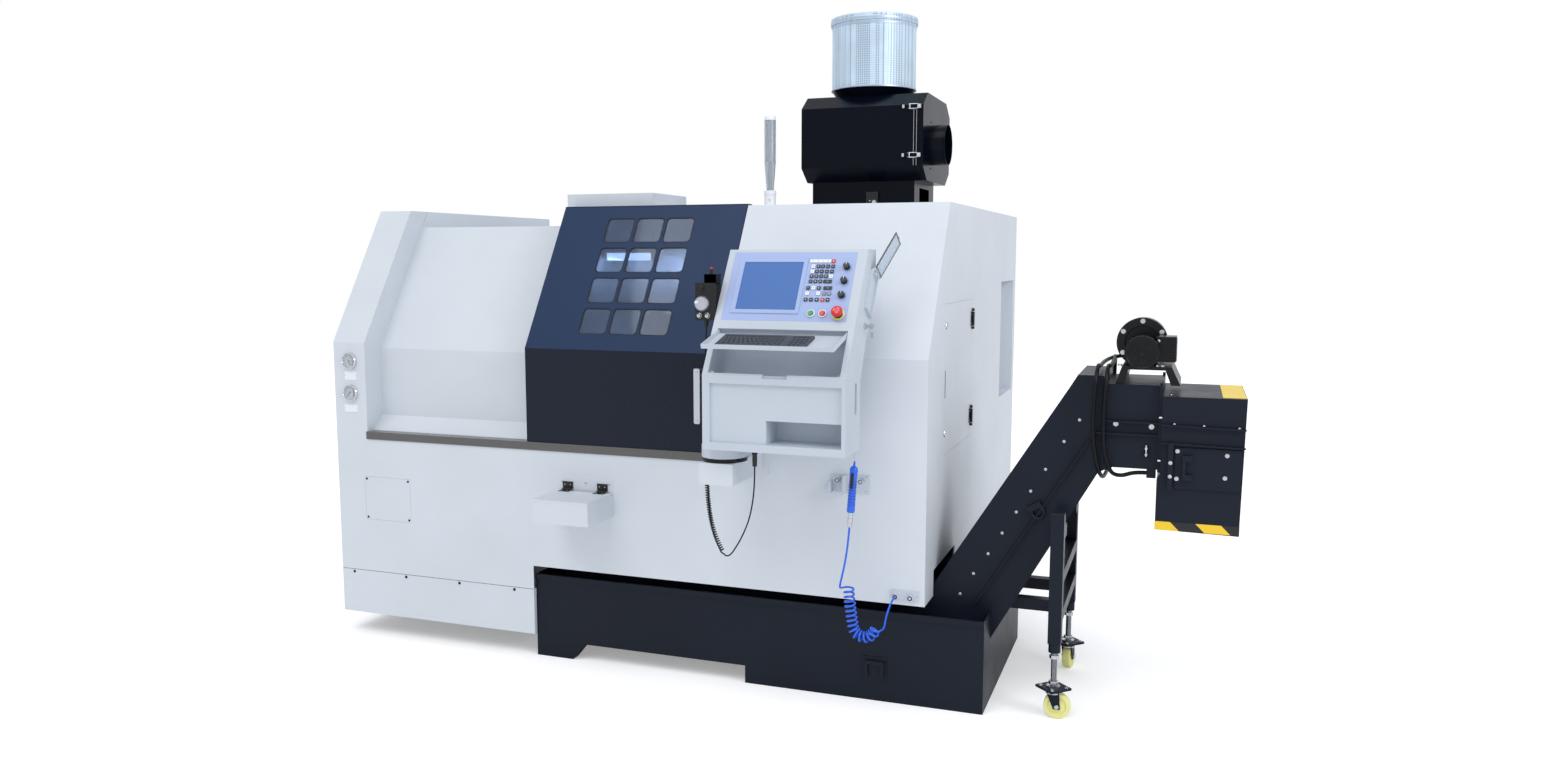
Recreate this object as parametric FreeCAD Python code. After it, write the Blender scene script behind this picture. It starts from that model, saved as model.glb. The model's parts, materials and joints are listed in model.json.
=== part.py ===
import FreeCAD, Part
import math
import os

# Slant-bed CNC turning lathe with chip conveyor, coolant tank and mist collector.
# The machine frame used while modelling: x = 0 at the left end face, y = 0 at the
# front face (positive into the machine), z = 0 at the floor. All sizes in mm.
# At the end everything is moved so that the origin is the middle of the footprint.

V = FreeCAD.Vector
AX = V(1, 0, 0)
AY = V(0, 1, 0)
AZ = V(0, 0, 1)

# ---------------------------------------------------------------- driving sizes
# casing
case_width = 2540.0          # left end face to right side cover
case_height = 1806.0         # floor to roof
module_depth = 1500.0        # front face to the seam of the rear cabinet
cabinet_depth = 560.0        # depth of the electrical cabinet behind the seam
bend_height = 1250.0         # height where the front starts to lean back
slant_run = 338.0            # how far the front has leaned back at the roof
sheet = 3.0                  # thickness of the cover sheets
seam = 0.8                   # seam between two cover sheets
left_width = 947.0           # width of the low module under the headstock
left_bottom = 91.0           # floor to the bottom edge of that module
kick_height = 186.0          # height of its removable kick plate
skirt_bottom = 374.0         # floor to the bottom edge of the skirt over the tank
skirt_return = 22.0          # depth of the folded lower edge of the skirt
strip_width = 159.0          # upright strip at the left end
recess_depth = 100.0         # how far the panel behind the sliding door lies back
recess_drop = 70.0           # roof of the recess below the main roof
recess_step = 900.0          # left end face to the step up to the main roof
recess_end = 950.0           # right end of the recess panel, behind the door
recess_ledge = 60.0          # rise of the sloping ledge under the recess panel
access_size = (228.0, 184.0)  # flush service plate, width and height
access_place = (136.0, 502.0)  # its lower left corner
access_lip = 1.0             # sheet left behind the service plate

# sliding door and its rail
door_left = 932.0
door_width = 810.0
door_bottom = 878.0
door_rise = 6.0              # how far the door's top edge stands over the roof
door_depth = 40.0            # depth of the door's folded edges
door_gap = 3.0               # gap between the closed door and the right cover
rail_height = 31.7
rail_proud = 4.0             # rail in front of the door face
run_gap = 0.3                # clearance of sliding and turning covers
window_cols = 3
window_rows = 4
window_size = (118.0, 112.0)  # one window opening, width and height along the slant
window_pitch = (131.0, 138.3)
window_first = (1149.0, 70.0)  # lower left opening: from the left end, and up the slant
window_corner = 16.0
glass_margin = 22.0          # glass beyond the window openings
glass_thickness = 6.0
handle_x = 1690.0            # centre of the door handle from the left end
handle_low = 993.0
handle_length = 205.0
handle_width = 24.0
handle_thickness = 14.0
handle_reach = 38.0          # clear gap behind the handle bar

# roof box over the door drive
roof_box_left = 905.0
roof_box_width = 398.0
roof_box_front = 402.0
roof_box_depth = 330.0
roof_box_height = 60.0

# bed, spindle and turret
spindle_y = 480.0            # spindle axis behind the front face
spindle_z = 1060.0           # spindle axis above the floor
slide_offset = 260.0         # spindle axis to the guideway plane
slide_low = 190.0            # guideway plane, from the foot of the spindle's normal
slide_high = 263.0
bed_front = 600.0            # front of the bed's base
bed_rear = 1180.0
bed_left = 160.0
bed_length = 2120.0
bed_wall = 28.0
foot_height = 60.0
foot_radius = 55.0
foot_pad = 24.0
foot_stud = 18.0
lug_height = 26.0            # lug of the casting over each foot
way_width = 62.0             # one box guideway
way_height = 18.0
head_left = 300.0            # headstock, from the left end
head_length = 548.0
spindle_length = 700.0
spindle_left = 170.0         # rear end of the spindle
bore_radius = 31.0           # through bore for bar stock
journal_radius = 82.0
rotor_radius = 96.0          # built-in motor's rotor on the spindle's rear end
bearing_clearance = 0.05
chuck_radius = 105.0
chuck_length = 92.0
jaw_count = 3
jaw_size = (46.0, 34.0, 62.0)  # jaw length along the axis, width, radial height
jaw_bore = 34.0              # radius inside the closed jaws
jaw_clearance = 0.3
liner_left = 862.0           # left wall of the work chamber
liner_right = 1790.0
liner_top = 1772.0
liner_rear = 1110.0
chip_mouth = (200.0, 490.0)  # front and rear edge of the chip opening
chip_mouth_top = 436.0
saddle_left = 1262.0         # carriage at rest
saddle_length = 300.0
saddle_height = 74.0
cross_height = 46.0
turret_radius = 150.0
turret_length = 96.0
turret_stations = 8
turret_stand = 6.0           # turret disc to the saddle's end
cross_place = 240.0          # turret axis from the foot of the spindle's normal
cross_half = 105.0           # half the length of the cross slide
turret_rise = 232.0          # turret axis above the guideway plane
turret_housing = 75.0        # half the width of the turret's housing
tail_left = 1600.0
tail_length = 170.0

# right side cover
side_door_front = 275.0
side_door_width = 555.0
side_door_low = 868.0
side_door_height = 566.0
side_gap = 1.0               # round the edges of the side door and behind it
side_stop = 16.0             # stop strip behind the edges of the side door
side_hinge_radius = 6.0
side_barrel = 60.0           # hinge knuckle on the door
side_knuckle = 12.0          # each knuckle on the cover, over and under the door's
side_axis_inset = 4.0        # hinge axis from the door's rear edge
side_leaf = (22.0, 2.0)      # hinge leaf's width and thickness
side_hinge_heights = (953.0, 1354.0)
conveyor_exit = (146.0, 544.0)  # front and rear edge of the conveyor's way out
conveyor_exit_top = 470.0
pocket_front = 100.0         # service pocket in the rear module, behind its seam
pocket_width = 400.0
pocket_low = 940.0
pocket_height = 550.0
pocket_depth = 100.0

# coolant tank
tank_right = 2749.0
tank_front = 18.0
tank_depth = 560.0
tank_top = 338.0
tank_wall = 4.0
tank_shallow = 67.0          # floor to the bottom of the shallow left part
tank_step = 1851.0           # left end to where the tank gets deep
tank_foot = (163.0, 55.0)    # foot under the shallow end, width and slant
pump_bay_left = 2330.0
pump_bay_depth = 322.0
pump_flange = 156.0
pump_clear = 20.0            # pump's flange to the inside of the right side cover
tank_grip_x = 2357.0
tank_grip_z = 121.0

# chip conveyor
conv_front = 160.0
conv_width = 370.0
conv_left = 1000.0
conv_top = 330.0
conv_wall = 4.0
conv_foot = 2657.0           # where the underside starts to climb
conv_rise = [(3105.0, 868.0), (3150.0, 888.0), (3306.0, 888.0), (3306.0, 1175.0),
             (3120.0, 1175.0), (3120.0, 1202.0), (3027.0, 1202.0), (3002.0, 1160.0)]
conv_bend = 2484.0           # where the upper side starts to climb
inlet_left = 1060.0
inlet_right = 2240.0
belt_gap = 9.0
belt_thickness = 6.0
hood_front = 125.0
hood_width = 445.0
hood_left = 3306.0
hood_right = 3568.0
hood_top = 1143.0
hood_shoulder = 880.0        # where the chute's rear wall steps back under the head
chute_bottom = 690.0
hood_rib_heights = (1046.0, 985.0)
hood_plate = (3352.0, 836.0, 208.0, 138.0)  # plate on the hood's side: corner, width, height
hood_bar = (3330.0, 830.0, 16.0, 160.0)     # lifting bar: lower corner, width, length
hood_lever = (3376.0, 866.0, 32.0, 84.0)    # latch lever: the same
cable_entry = (3262.0, 175.0, 873.0)  # mouth of the cable's entry under the head
entry_size = 30.0
motor_x = 3233.0
motor_z = 1284.0
motor_radius = 56.0
motor_front = 150.0
motor_length = 180.0
fan_cowl = 50.0
gear_radius = 82.0
gear_length = 130.0
saddle_reach = (83.0, 127.0)  # saddle's feet to the left and right of the motor's axis
saddle_rise = 62.0
stand_x = 2983.0             # middle of the stand's legs
stand_half = 258.5           # half the distance between the legs
stand_tube = 45.0
stand_bottom = 270.0
stand_top = 728.0
stand_bar_heights = (346.0, 482.0)  # lower edges of its two cross bars
stand_bar = 42.0
wheel_radius = 46.0
wheel_width = 30.0
axle_radius = 5.0
caster_trail = 14.0          # wheel axle behind the swivel axis
caster_turn = 80.0           # how far the rear castor stands turned, in degrees
jack_radius = 10.0
jack_foot = 112.0            # floor to the underside of the jack's plate

# mist collector on the roof
mist_left = 1858.0
mist_length = 476.0
mist_front = 650.0
mist_depth = 525.0
mist_stand = 106.0           # height of its sheet stand on the roof
mist_height = 346.0
mist_chamfer = (80.0, 54.0)  # chamfer depth and height
mist_cover = 30.0
collar_radius = 80.0
collar_wall = 3.0
collar_length = 72.0
collar_y = 800.0
collar_rise = 144.0          # middle of the inlet collar above the collector's underside
drum_radius = 174.0
drum_rim = 6.0
drum_wall = 8.0
drum_height = 290.0
drum_x = 2100.0
drum_y = 880.0
drum_base = 34.0

# signal tower
tower_x = 1776.0
tower_y = 500.0
tower_height = 358.0
tower_radius = 23.0
tower_base = 64.0            # height of the round foot
tower_neck = 15.0            # radius where the taper starts
tower_taper = 112.0

# pendant
pend_left = 1854.0
pend_width = 500.0
pend_bottom = 960.0
pend_front = -380.0
pend_bend = 1215.0           # height where its front starts to lean back
pend_lean_run = 260.0
pend_top = 1630.0
pend_back = -205.0
pend_top_depth = 102.0
pend_sheet = 2.5
pivot_x = 1880.0
pivot_y = -245.0
pivot_radius = 80.0
pivot_rise = 56.0
bracket_width = 126.0
bracket_height = 75.0
bracket_front = -330.0
overlay_low_left = (23.0, 208.0)  # on the slanted face, from its lower left corner
overlay_size = (444.0, 270.0)
overlay_thickness = 2.0
screen_low_left = (68.0, 250.0)
screen_size = (215.0, 188.0)
screen_sunk = 1.2
knob_spots = [(438.0, 418.0), (437.0, 363.0), (437.0, 308.0)]
knob_radius = 11.0
knob_height = 16.0
start_spot = (341.0, 238.0)
stop_spot = (382.0, 238.0)
emergency_spot = (437.0, 236.0)
button_radius = 10.0
button_height = 6.0
button_travel = 3.0
button_depth = 10.0          # stem behind the overlay's face
bore_gap = 0.4               # clearance round a button's stem
mushroom_radius = 20.0
mushroom_height = 30.0
mushroom_stand = 16.0        # underside of the head above the overlay
mushroom_stem = 10.0
mushroom_travel = 5.0
bay_low = 7.0                # bay behind the keyboard tray, up the slanted face
bay_high = 176.0
bay_side = 20.0
bay_depth = 96.0
tray_width = 456.0
tray_hinge_drop = 10.0       # tray's hinge axis below the bay's upper edge
tray_hinge_sunk = 6.0        # and behind the leaning face
tray_end_gap = 2.0           # folded tray's free end to the bay's lower edge
tray_stop = 14.0             # stop pad in each lower corner of the bay
tray_thickness = 15.0
tray_droop = 14.0            # how far the open tray slopes down, in degrees
keyboard_size = (314.0, 118.0, 9.0)
notch_span = (215.0, 300.0)   # finger notch in the bay's lower edge
notch_depth = 10.0
inset_margin = 26.0
inset_right = 13.0
inset_height = 200.0
inset_depth = 10.0
niche_size = (262.0, 80.0, 120.0)
slot_size = (22.0, 107.0)    # grip slot in the pendant's right side
slot_place = (-258.5, 1084.0)
slot_depth = 35.0
port_size = (74.0, 150.0, 12.0)
port_center = (-98.0, 1480.0)
flap_thickness = 3.0
flap_barrel = 3.0            # radius of the flap's hinge barrel
flap_rise = 4.0              # its axis over the port's frame
flap_ear = 7.0               # width of the hinge's ears
flap_open = 160.0            # how far the flap stands open at rest, in degrees
lock_spot = (-160.0, 1373.0)
wheel_unit_width = 74.0      # hand-wheel unit on the pendant's left side
wheel_unit_low = 1388.0
wheel_unit_height = 128.0
wheel_unit_front = -262.0
wheel_unit_depth = 52.0
gland_length = 22.0
dial_radius = 27.0
dial_height = 12.0
dial_z = 1446.0

# fittings on the front face
gauge_radius = 36.0
gauge_places = [(82.0, 1173.0), (82.0, 1038.0)]
box_left = 1075.0
box_width = 236.0
box_bottom = 606.0
box_height = 90.0
box_depth = 203.0
box_wall = 2.0
lid_thickness = 8.0
back_plate_top = 744.0
holder_x = 2265.0
holder_z = 800.0
port_plate_x = 2470.0
port_plate_z = 410.0
plate_thickness = 5.0
socket_spots = (-33.0, 21.0)  # the two air sockets, from the plate's middle
socket_drop = -4.0
socket_radius = 10.0
socket_length = 16.0
gun_x = 2340.0
gun_y = -216.0
gun_top = 905.0
gun_nozzle = 18.0            # nozzle above the body, up to the hook
gun_length = 160.0
gun_radius = 14.0
gun_tilt = 4.0               # how far the hose pulls the hanging gun, in degrees
coupling_radius = 9.0
coupling_length = 50.0
hook_size = 4.0
plug_place = (2008.0, -288.0)  # plug of the hand-wheel's cord under the pendant
plug_radius = 8.0
plug_length = 64.0

# hoses and cords
cord_nodes = ("handwheel_cord", "handwheel_cord_coil", "air_hose", "air_hose_coil",
              "conveyor_cable")
hose_diameter = 7.0
hose_wind = 17.5             # coil's radius to the middle of the hose
hose_turns = 15
coil_sides = 4               # sides of a tube's section, for the coil,
cord_sides = 6               # the thin cords
cable_sides = 8              # and the thick ones
coil_lead = 26.0             # straight hose before and after the coil
cord_diameter = 5.0
curl_diameter = 18.0         # curly stretch, outside
cable_diameter = 14.0

# ------------------------------------------------------------------ small tools
lean = math.atan2(slant_run, case_height - bend_height)
pend_lean = math.atan2(pend_lean_run, pend_top - pend_bend)
tray_length = bay_high - tray_hinge_drop - bay_low - tray_end_gap
door_right = door_left + door_width
door_top = case_height + door_rise
rail_top = door_bottom - run_gap
rail_low = rail_top - rail_height
kick_top = left_bottom + kick_height
conv_bottom = tank_shallow + tank_wall + run_gap
conv_side = [(conv_foot, conv_bottom)] + conv_rise + [(conv_bend, conv_top)]
machine_rear = module_depth + cabinet_depth
mist_bottom = case_height + mist_stand
collar_z = mist_bottom + collar_rise


def box(x0, x1, y0, y1, z0, z1):
    """A block between two corners."""
    return Part.makeBox(x1 - x0, y1 - y0, z1 - z0, V(x0, y0, z0))


def cyl(radius, length, start, axis):
    """A cylinder from a start point along an axis."""
    return Part.makeCylinder(radius, length, V(*start), axis)


def face_of(points):
    return Part.Face(Part.makePolygon(points + [points[0]]))


def prism_x(points, x0, x1):
    """An outline in (y, z), swept from x0 to x1."""
    return face_of([V(x0, y, z) for y, z in points]).extrude(V(x1 - x0, 0, 0))


def prism_y(points, y0, y1):
    """An outline in (x, z), swept from y0 to y1."""
    return face_of([V(x, y0, z) for x, z in points]).extrude(V(0, y1 - y0, 0))


def prism_z(points, z0, z1):
    """An outline in (x, y), swept from z0 to z1."""
    return face_of([V(x, y, z0) for x, y in points]).extrude(V(0, 0, z1 - z0))


def turned(profile, place, axis):
    """A profile of (radius, height) pairs turned about an axis through a place."""
    solid = face_of([V(r, 0, h) for r, h in profile]).revolve(V(0, 0, 0), AZ, 360)
    solid.Placement = FreeCAD.Placement(V(*place), FreeCAD.Rotation(AZ, axis))
    return solid


def fuse(first, *rest):
    """One body made of touching shapes."""
    solid = first.multiFuse(list(rest)) if rest else first
    return solid.removeSplitter()


def group(*solids):
    return Part.makeCompound(list(solids))


def rounded_plate(width, height, corner, thickness):
    """A plate in (x, z) with round corners, its lower left corner at the origin."""
    k = corner * (1 - math.sqrt(0.5))
    w, h, c = width, height, corner
    p = [V(c, 0, 0), V(w - c, 0, 0), V(w - k, 0, k), V(w, 0, c), V(w, 0, h - c),
         V(w - k, 0, h - k), V(w - c, 0, h), V(c, 0, h), V(k, 0, h - k), V(0, 0, h - c),
         V(0, 0, c), V(k, 0, k)]
    edges = [Part.LineSegment(p[0], p[1]), Part.Arc(p[1], p[2], p[3]),
             Part.LineSegment(p[3], p[4]), Part.Arc(p[4], p[5], p[6]),
             Part.LineSegment(p[6], p[7]), Part.Arc(p[7], p[8], p[9]),
             Part.LineSegment(p[9], p[10]), Part.Arc(p[10], p[11], p[0])]
    wire = Part.Wire([e.toShape() for e in edges])
    return Part.Face(wire).extrude(V(0, thickness, 0))


def face_y(z, depth=0.0):
    """The y of a surface that lies a depth behind the front face, at height z."""
    return max(depth, (z - bend_height) * math.tan(lean) + depth / math.cos(lean))


def skin_outline(z0, z1, d0, d1):
    """Outline in (y, z) of a layer of the front between two depths."""
    points = []
    for depth, low, high in ((d0, z0, z1), (d1, z1, z0)):
        bend = bend_height - depth * math.tan(lean / 2)
        points.append((face_y(low, depth), low))
        if z0 < bend < z1:
            points.append((depth, bend))
        points.append((face_y(high, depth), high))
    return points


def skin(x0, x1, z0, z1, d0, d1):
    """A layer of the front, upright below the bend and leaning back above it."""
    return prism_x(skin_outline(z0, z1, d0, d1), x0, x1)


def on_slant(shape):
    """Places a shape drawn in (x, depth, height) on the leaning front."""
    shape.Placement = FreeCAD.Placement(V(0, 0, bend_height),
                                        FreeCAD.Rotation(AX, -math.degrees(lean)))
    return shape


def on_pendant(shape):
    """Places a shape drawn in (x, depth, height) on the pendant's leaning face."""
    place = V(pend_left, pend_front, pend_bend)
    turn = FreeCAD.Rotation(AX, -math.degrees(pend_lean))
    shape.Placement = FreeCAD.Placement(place, turn)
    return shape


# -------------------------------------------------------------------- the casing
def front_cover():
    """Lower front, left strip and right front in one folded sheet, with its plates."""
    low = prism_y([(0, kick_top + seam), (left_width, kick_top + seam),
                   (left_width, skirt_bottom), (case_width, skirt_bottom),
                   (case_width, rail_low), (0, rail_low)], 0, sheet)
    strip = skin(0, strip_width, rail_low, case_height, 0, sheet)
    right_x = door_right + door_gap
    right = skin(right_x, case_width, rail_low, case_height, 0, sheet)
    jamb = skin(strip_width - sheet, strip_width, rail_low, case_height, sheet, recess_depth)
    right_jamb = skin(right_x, right_x + sheet, rail_low, case_height - sheet, sheet, door_depth + 20)
    hem = box(left_width, case_width - sheet, sheet, skirt_return,
              skirt_bottom, skirt_bottom + sheet)
    cover = fuse(low, strip, right, jamb, right_jamb, hem)
    (aw, ah), (ax, az) = access_size, access_place
    cover = cover.cut(box(ax, ax + aw, -1, sheet - access_lip, az, az + ah))
    plate = box(ax + seam, ax + aw - seam, 0, sheet - access_lip, az + seam, az + ah - seam)
    kick = fuse(box(0, left_width, 0, sheet, left_bottom, kick_top),
                box(left_width - sheet, left_width, sheet, 60, left_bottom, kick_top))
    return group(cover, plate, kick)


def left_cover():
    """End wall, recess panel, lower roof and rear sheet of the headstock end."""
    low_roof = case_height - recess_drop
    ledge_top = rail_top + recess_ledge
    ledge_front = door_depth + 2 * run_gap
    rim = [(sheet, left_bottom), (sheet, bend_height - sheet * math.tan(lean / 2)),
           (face_y(case_height, sheet), case_height), (module_depth, case_height),
           (module_depth, left_bottom)]
    end = prism_x(rim, 0, sheet)
    end = end.cut(cyl(bore_radius * 2, sheet * 3, (-sheet, spindle_y, spindle_z), AX))
    panel = skin(strip_width, recess_end, ledge_top, low_roof, recess_depth, recess_depth + sheet)
    ledge = prism_x([(ledge_front, rail_top + 2), (recess_depth, ledge_top),
                     (recess_depth + sheet, ledge_top), (ledge_front + sheet, rail_top + 2),
                     (ledge_front + sheet, rail_low), (ledge_front, rail_low)],
                    strip_width, recess_end)
    roof_front = face_y(low_roof, recess_depth)
    roof = box(strip_width, recess_step, roof_front + 1, module_depth, low_roof - sheet, low_roof)
    wall = [(roof_front + 1, low_roof - sheet), (roof_front + 1, low_roof),
            (face_y(case_height, recess_depth), case_height - sheet),
            (module_depth, case_height - sheet), (module_depth, low_roof - sheet)]
    pillar = prism_x(wall, strip_width - sheet, strip_width)
    step = prism_x(wall, recess_step, recess_step + sheet)
    cap = box(sheet, strip_width, face_y(case_height, recess_depth), module_depth,
              case_height - sheet, case_height)
    cap_front = box(sheet, strip_width - sheet, face_y(case_height, sheet),
                    face_y(case_height, recess_depth), case_height - sheet, case_height)
    rear = box(sheet, left_width, module_depth - sheet, module_depth, left_bottom, low_roof)
    rear_top = box(sheet, strip_width, module_depth - sheet, module_depth, low_roof, case_height)
    return fuse(end, panel, ledge, roof, pillar, step, cap, cap_front, rear, rear_top)


def roof_cover():
    """Main roof sheet with the low box over the door drive."""
    front_at_door = face_y(case_height, door_depth + sheet)
    front_at_right = face_y(case_height, sheet)
    right_x = door_right + door_gap
    plan = [(recess_step + sheet, front_at_door), (right_x, front_at_door),
            (right_x, front_at_right), (case_width - sheet, front_at_right),
            (case_width - sheet, module_depth), (recess_step + sheet, module_depth)]
    roof = prism_z(plan, case_height - sheet, case_height)
    x0, y0, z0 = roof_box_left, roof_box_front, case_height
    x1, y1, z1 = x0 + roof_box_width, y0 + roof_box_depth, z0 + roof_box_height
    hood = box(x0, x1, y0, y1, z0, z1).cut(box(x0 + sheet, x1 - sheet, y0 + sheet, y1 - sheet,
                                               z0 - 1, z1 - sheet))
    return fuse(roof, hood)


def right_side_cover():
    """Right end wall with the side door's opening and the conveyor's way out."""
    rim = [(sheet, skirt_bottom), (sheet, bend_height - sheet * math.tan(lean / 2)),
           (face_y(case_height, sheet), case_height), (module_depth, case_height),
           (module_depth, skirt_bottom)]
    x0, x1 = case_width - sheet, case_width
    y0, y1 = side_door_front, side_door_front + side_door_width
    z0, z1 = side_door_low, side_door_low + side_door_height
    wall = prism_x(rim, x0, x1).cut(box(x0 - 1, x1 + 1, y0, y1, z0, z1))
    wall = wall.cut(box(x0 - 1, x1 + 1, *conveyor_exit, 0, conveyor_exit_top))
    stop = box(x0 - sheet, x0, y0 - side_stop, y1 + side_stop, z0 - side_stop, z1 + side_stop)
    stop = stop.cut(box(x0 - sheet - 1, x0 + 1, y0 + side_stop, y1 - side_stop,
                        z0 + side_stop, z1 - side_stop))
    leaf_width, leaf = side_leaf
    half = side_barrel / 2 + run_gap
    leaves = []
    for z in side_hinge_heights:
        leaves.append(box(x1, x1 + leaf, y1 + side_gap, y1 + leaf_width,
                          z - half - side_knuckle, z + half + side_knuckle))
        for low in (z - half - side_knuckle, z + half):
            leaves += [cyl(side_hinge_radius - run_gap, side_knuckle, side_axis(low), AZ),
                       box(x1 + run_gap, x1 + leaf, side_axis(low)[1], y1 + side_gap,
                           low, low + side_knuckle)]
    return fuse(wall, stop, *leaves)


def side_axis(z):
    """Point at height z on the side door's hinge axis."""
    rear = side_door_front + side_door_width - side_gap
    return (case_width + side_hinge_radius, rear - side_axis_inset, z)


def side_door():
    """Flush door in the right side, hung on two hinges at its rear edge."""
    x0, x1 = case_width - sheet, case_width
    y0, y1 = side_door_front + side_gap, side_door_front + side_door_width - side_gap
    z0, z1 = side_door_low + side_gap, side_door_low + side_door_height - side_gap
    plate = box(x0 + side_gap, x1, y0, y1, z0, z1)
    slot = box(x0 - 1, x1 + 1, y0 + 18, y0 + 25, z0 + 218, z0 + 316)
    locks = [cyl(13, 4, (x1, y0 + 24, z), AX) for z in side_hinge_heights]
    pins = []
    for z in side_hinge_heights:
        low = z - side_barrel / 2
        axis_y = side_axis(low)[1]
        pins += [cyl(side_hinge_radius, side_barrel, side_axis(low), AZ),
                 box(x1, x1 + side_leaf[1], axis_y - side_leaf[0], axis_y,
                     low, low + side_barrel)]
    return fuse(plate.cut(slot), *locks, *pins)


def electrical_cabinet():
    """Rear module: a cabinet open towards the machine, with a service pocket."""
    x0, x1 = left_width, case_width
    y0, y1 = module_depth, machine_rear
    shell = box(x0, x1, y0, y1, skirt_bottom, case_height)
    shell = shell.cut(box(x0 + sheet, x1 - sheet, y0 - 1, y1 - sheet,
                          skirt_bottom + sheet, case_height - sheet))
    py0, pz0 = y0 + pocket_front, pocket_low
    py1, pz1 = py0 + pocket_width, pz0 + pocket_height
    pocket = box(x1 - pocket_depth - sheet, x1, py0 - sheet, py1 + sheet, pz0 - sheet, pz1 + sheet)
    shell = fuse(shell, pocket)
    shell = shell.cut(box(x1 - pocket_depth, x1 + 1, py0, py1, pz0, pz1))
    return shell


def cabinet_door():
    """Hinged rear door of the cabinet with its gasket fold and turn handle."""
    x0, x1 = left_width + 40, case_width - 40
    y0 = machine_rear + run_gap
    z0, z1 = skirt_bottom + 60, case_height - 60
    door = box(x0, x1, y0, y0 + 22, z0, z1)
    door = door.cut(box(x0 + sheet, x1 - sheet, y0 - 1, y0 + 22 - sheet, z0 + sheet, z1 - sheet))
    grip = fuse(box(x0 + 30, x0 + 66, y0 + 22, y0 + 30, 1010, 1170),
                box(x0 + 38, x0 + 58, y0 + 30, y0 + 44, 1030, 1150))
    switch = fuse(cyl(42, 6, (x0 + 160, y0 + 22, 1420), AY),
                  box(x0 + 152, x0 + 168, y0 + 28, y0 + 46, 1386, 1454))
    hinges = [cyl(7, 70, (x1, y0 + 11, z), AZ) for z in (z0 + 120, (z0 + z1) / 2, z1 - 190)]
    return fuse(door, grip, switch, *hinges)


def door_rail():
    """Channel on which the sliding door's lower edge runs."""
    right = door_right + 2 * door_gap
    bar = box(strip_width - 4, right, -rail_proud, -0.0, rail_low, rail_top)
    floor = box(strip_width, right - 2 * door_gap, 0, door_depth + run_gap, rail_low, rail_top)
    return fuse(bar, floor)


# ------------------------------------------------------------------ sliding door
def front_door():
    """Sliding door panel with twelve rounded window openings."""
    x0, x1 = door_left, door_right
    z0, z1 = door_bottom, door_top
    panel = skin(x0, x1, z0, z1, 0, sheet)
    left = skin(x0, x0 + sheet, z0, z1, sheet, door_depth)
    right = skin(x1 - sheet, x1, z0, z1, sheet, door_depth)
    foot = box(x0, x1, 0, door_depth, z0, z0 + sheet)
    head = box(x0, x1, face_y(z1 - sheet, 0), face_y(z1, door_depth), z1 - sheet, z1)
    door = fuse(panel, left, right, foot, head)
    holes = []
    for column in range(window_cols):
        for row in range(window_rows):
            hole = rounded_plate(*window_size, window_corner, sheet * 3)
            hole.translate(V(window_first[0] + column * window_pitch[0], -sheet,
                             window_first[1] + row * window_pitch[1]))
            hole.rotate(V(0, 0, 0), AX, -math.degrees(lean))
            hole.translate(V(0, 0, bend_height))
            holes.append(hole)
    return door.cut(group(*holes))


def door_window():
    """One pane behind all window openings."""
    width = (window_cols - 1) * window_pitch[0] + window_size[0]
    height = (window_rows - 1) * window_pitch[1] + window_size[1]
    pane = box(window_first[0] - glass_margin, window_first[0] + width + glass_margin,
               sheet, sheet + glass_thickness,
               window_first[1] - glass_margin, window_first[1] + height + glass_margin)
    return on_slant(pane)


def door_handle():
    """Upright bar handle on two posts."""
    x0 = handle_x - handle_width / 2
    z1 = handle_low + handle_length
    bar = rounded_plate(handle_width, handle_length, 6, handle_thickness)
    bar.translate(V(x0, -handle_reach - handle_thickness, handle_low))
    posts = [box(x0 + 5, x0 + handle_width - 5, -handle_reach, 0, z, z + 14)
             for z in (handle_low + 6, z1 - 20)]
    return fuse(bar, *posts)


# -------------------------------------------------------------- bed and spindle
def slide_point(along, above=0.0):
    """A point (y, z) on the 45 degree guideway plane; 'above' is towards the spindle."""
    s = math.sqrt(0.5)
    foot_y = spindle_y + slide_offset * s
    foot_z = spindle_z - slide_offset * s
    return foot_y + (along - above) * s, foot_z + (along + above) * s


def slide_block(x0, x1, a0, a1, h0, h1):
    """A block on the guideway plane between two places along it and two heights."""
    return prism_x([slide_point(a0, h0), slide_point(a1, h0),
                    slide_point(a1, h1), slide_point(a0, h1)], x0, x1)


def machine_bed():
    """Cast slant bed with two box guideways, cored from below, on levelling feet."""
    x0, x1 = bed_left, bed_left + bed_length
    low, high = slide_point(-slide_low), slide_point(slide_high)
    rim = [(bed_front, foot_height), (bed_front, low[1] - (bed_front - low[0])), low, high,
           (bed_rear, high[1]), (bed_rear, foot_height)]
    bed = prism_x(rim, x0, x1)
    bays = 4
    pitch = (bed_length - bed_wall) / bays
    top = slide_point(-slide_low)[1] - 60
    for bay in range(bays):
        bx = x0 + bed_wall + bay * pitch
        inner = [(bed_front + bed_wall, foot_height - 1), (bed_front + bed_wall, top),
                 (high[0] - 20, high[1] - 90), (bed_rear - bed_wall, high[1] - 60),
                 (bed_rear - bed_wall, foot_height - 1)]
        bed = bed.cut(prism_x(inner, bx, bx + pitch - bed_wall))
    ways = [slide_block(x0, x1, a, a + way_width, -1, way_height)
            for a in (-slide_low + 12, slide_high - way_width - 12)]
    feet, lugs = [], []
    r = foot_radius
    for fx in (x0 + r, (x0 + x1) / 2, x1 - r):
        for fy in (bed_front + r, bed_rear - r):
            feet.append(turned([(0, 0), (r, 0), (r, foot_pad), (foot_stud, foot_pad),
                                (foot_stud, foot_height), (0, foot_height)], (fx, fy, 0), AZ))
            lugs.append(box(fx - r, fx + r, fy - r, fy + r, foot_height, foot_height + lug_height))
    return group(fuse(bed, *ways, *lugs), *feet)


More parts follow.
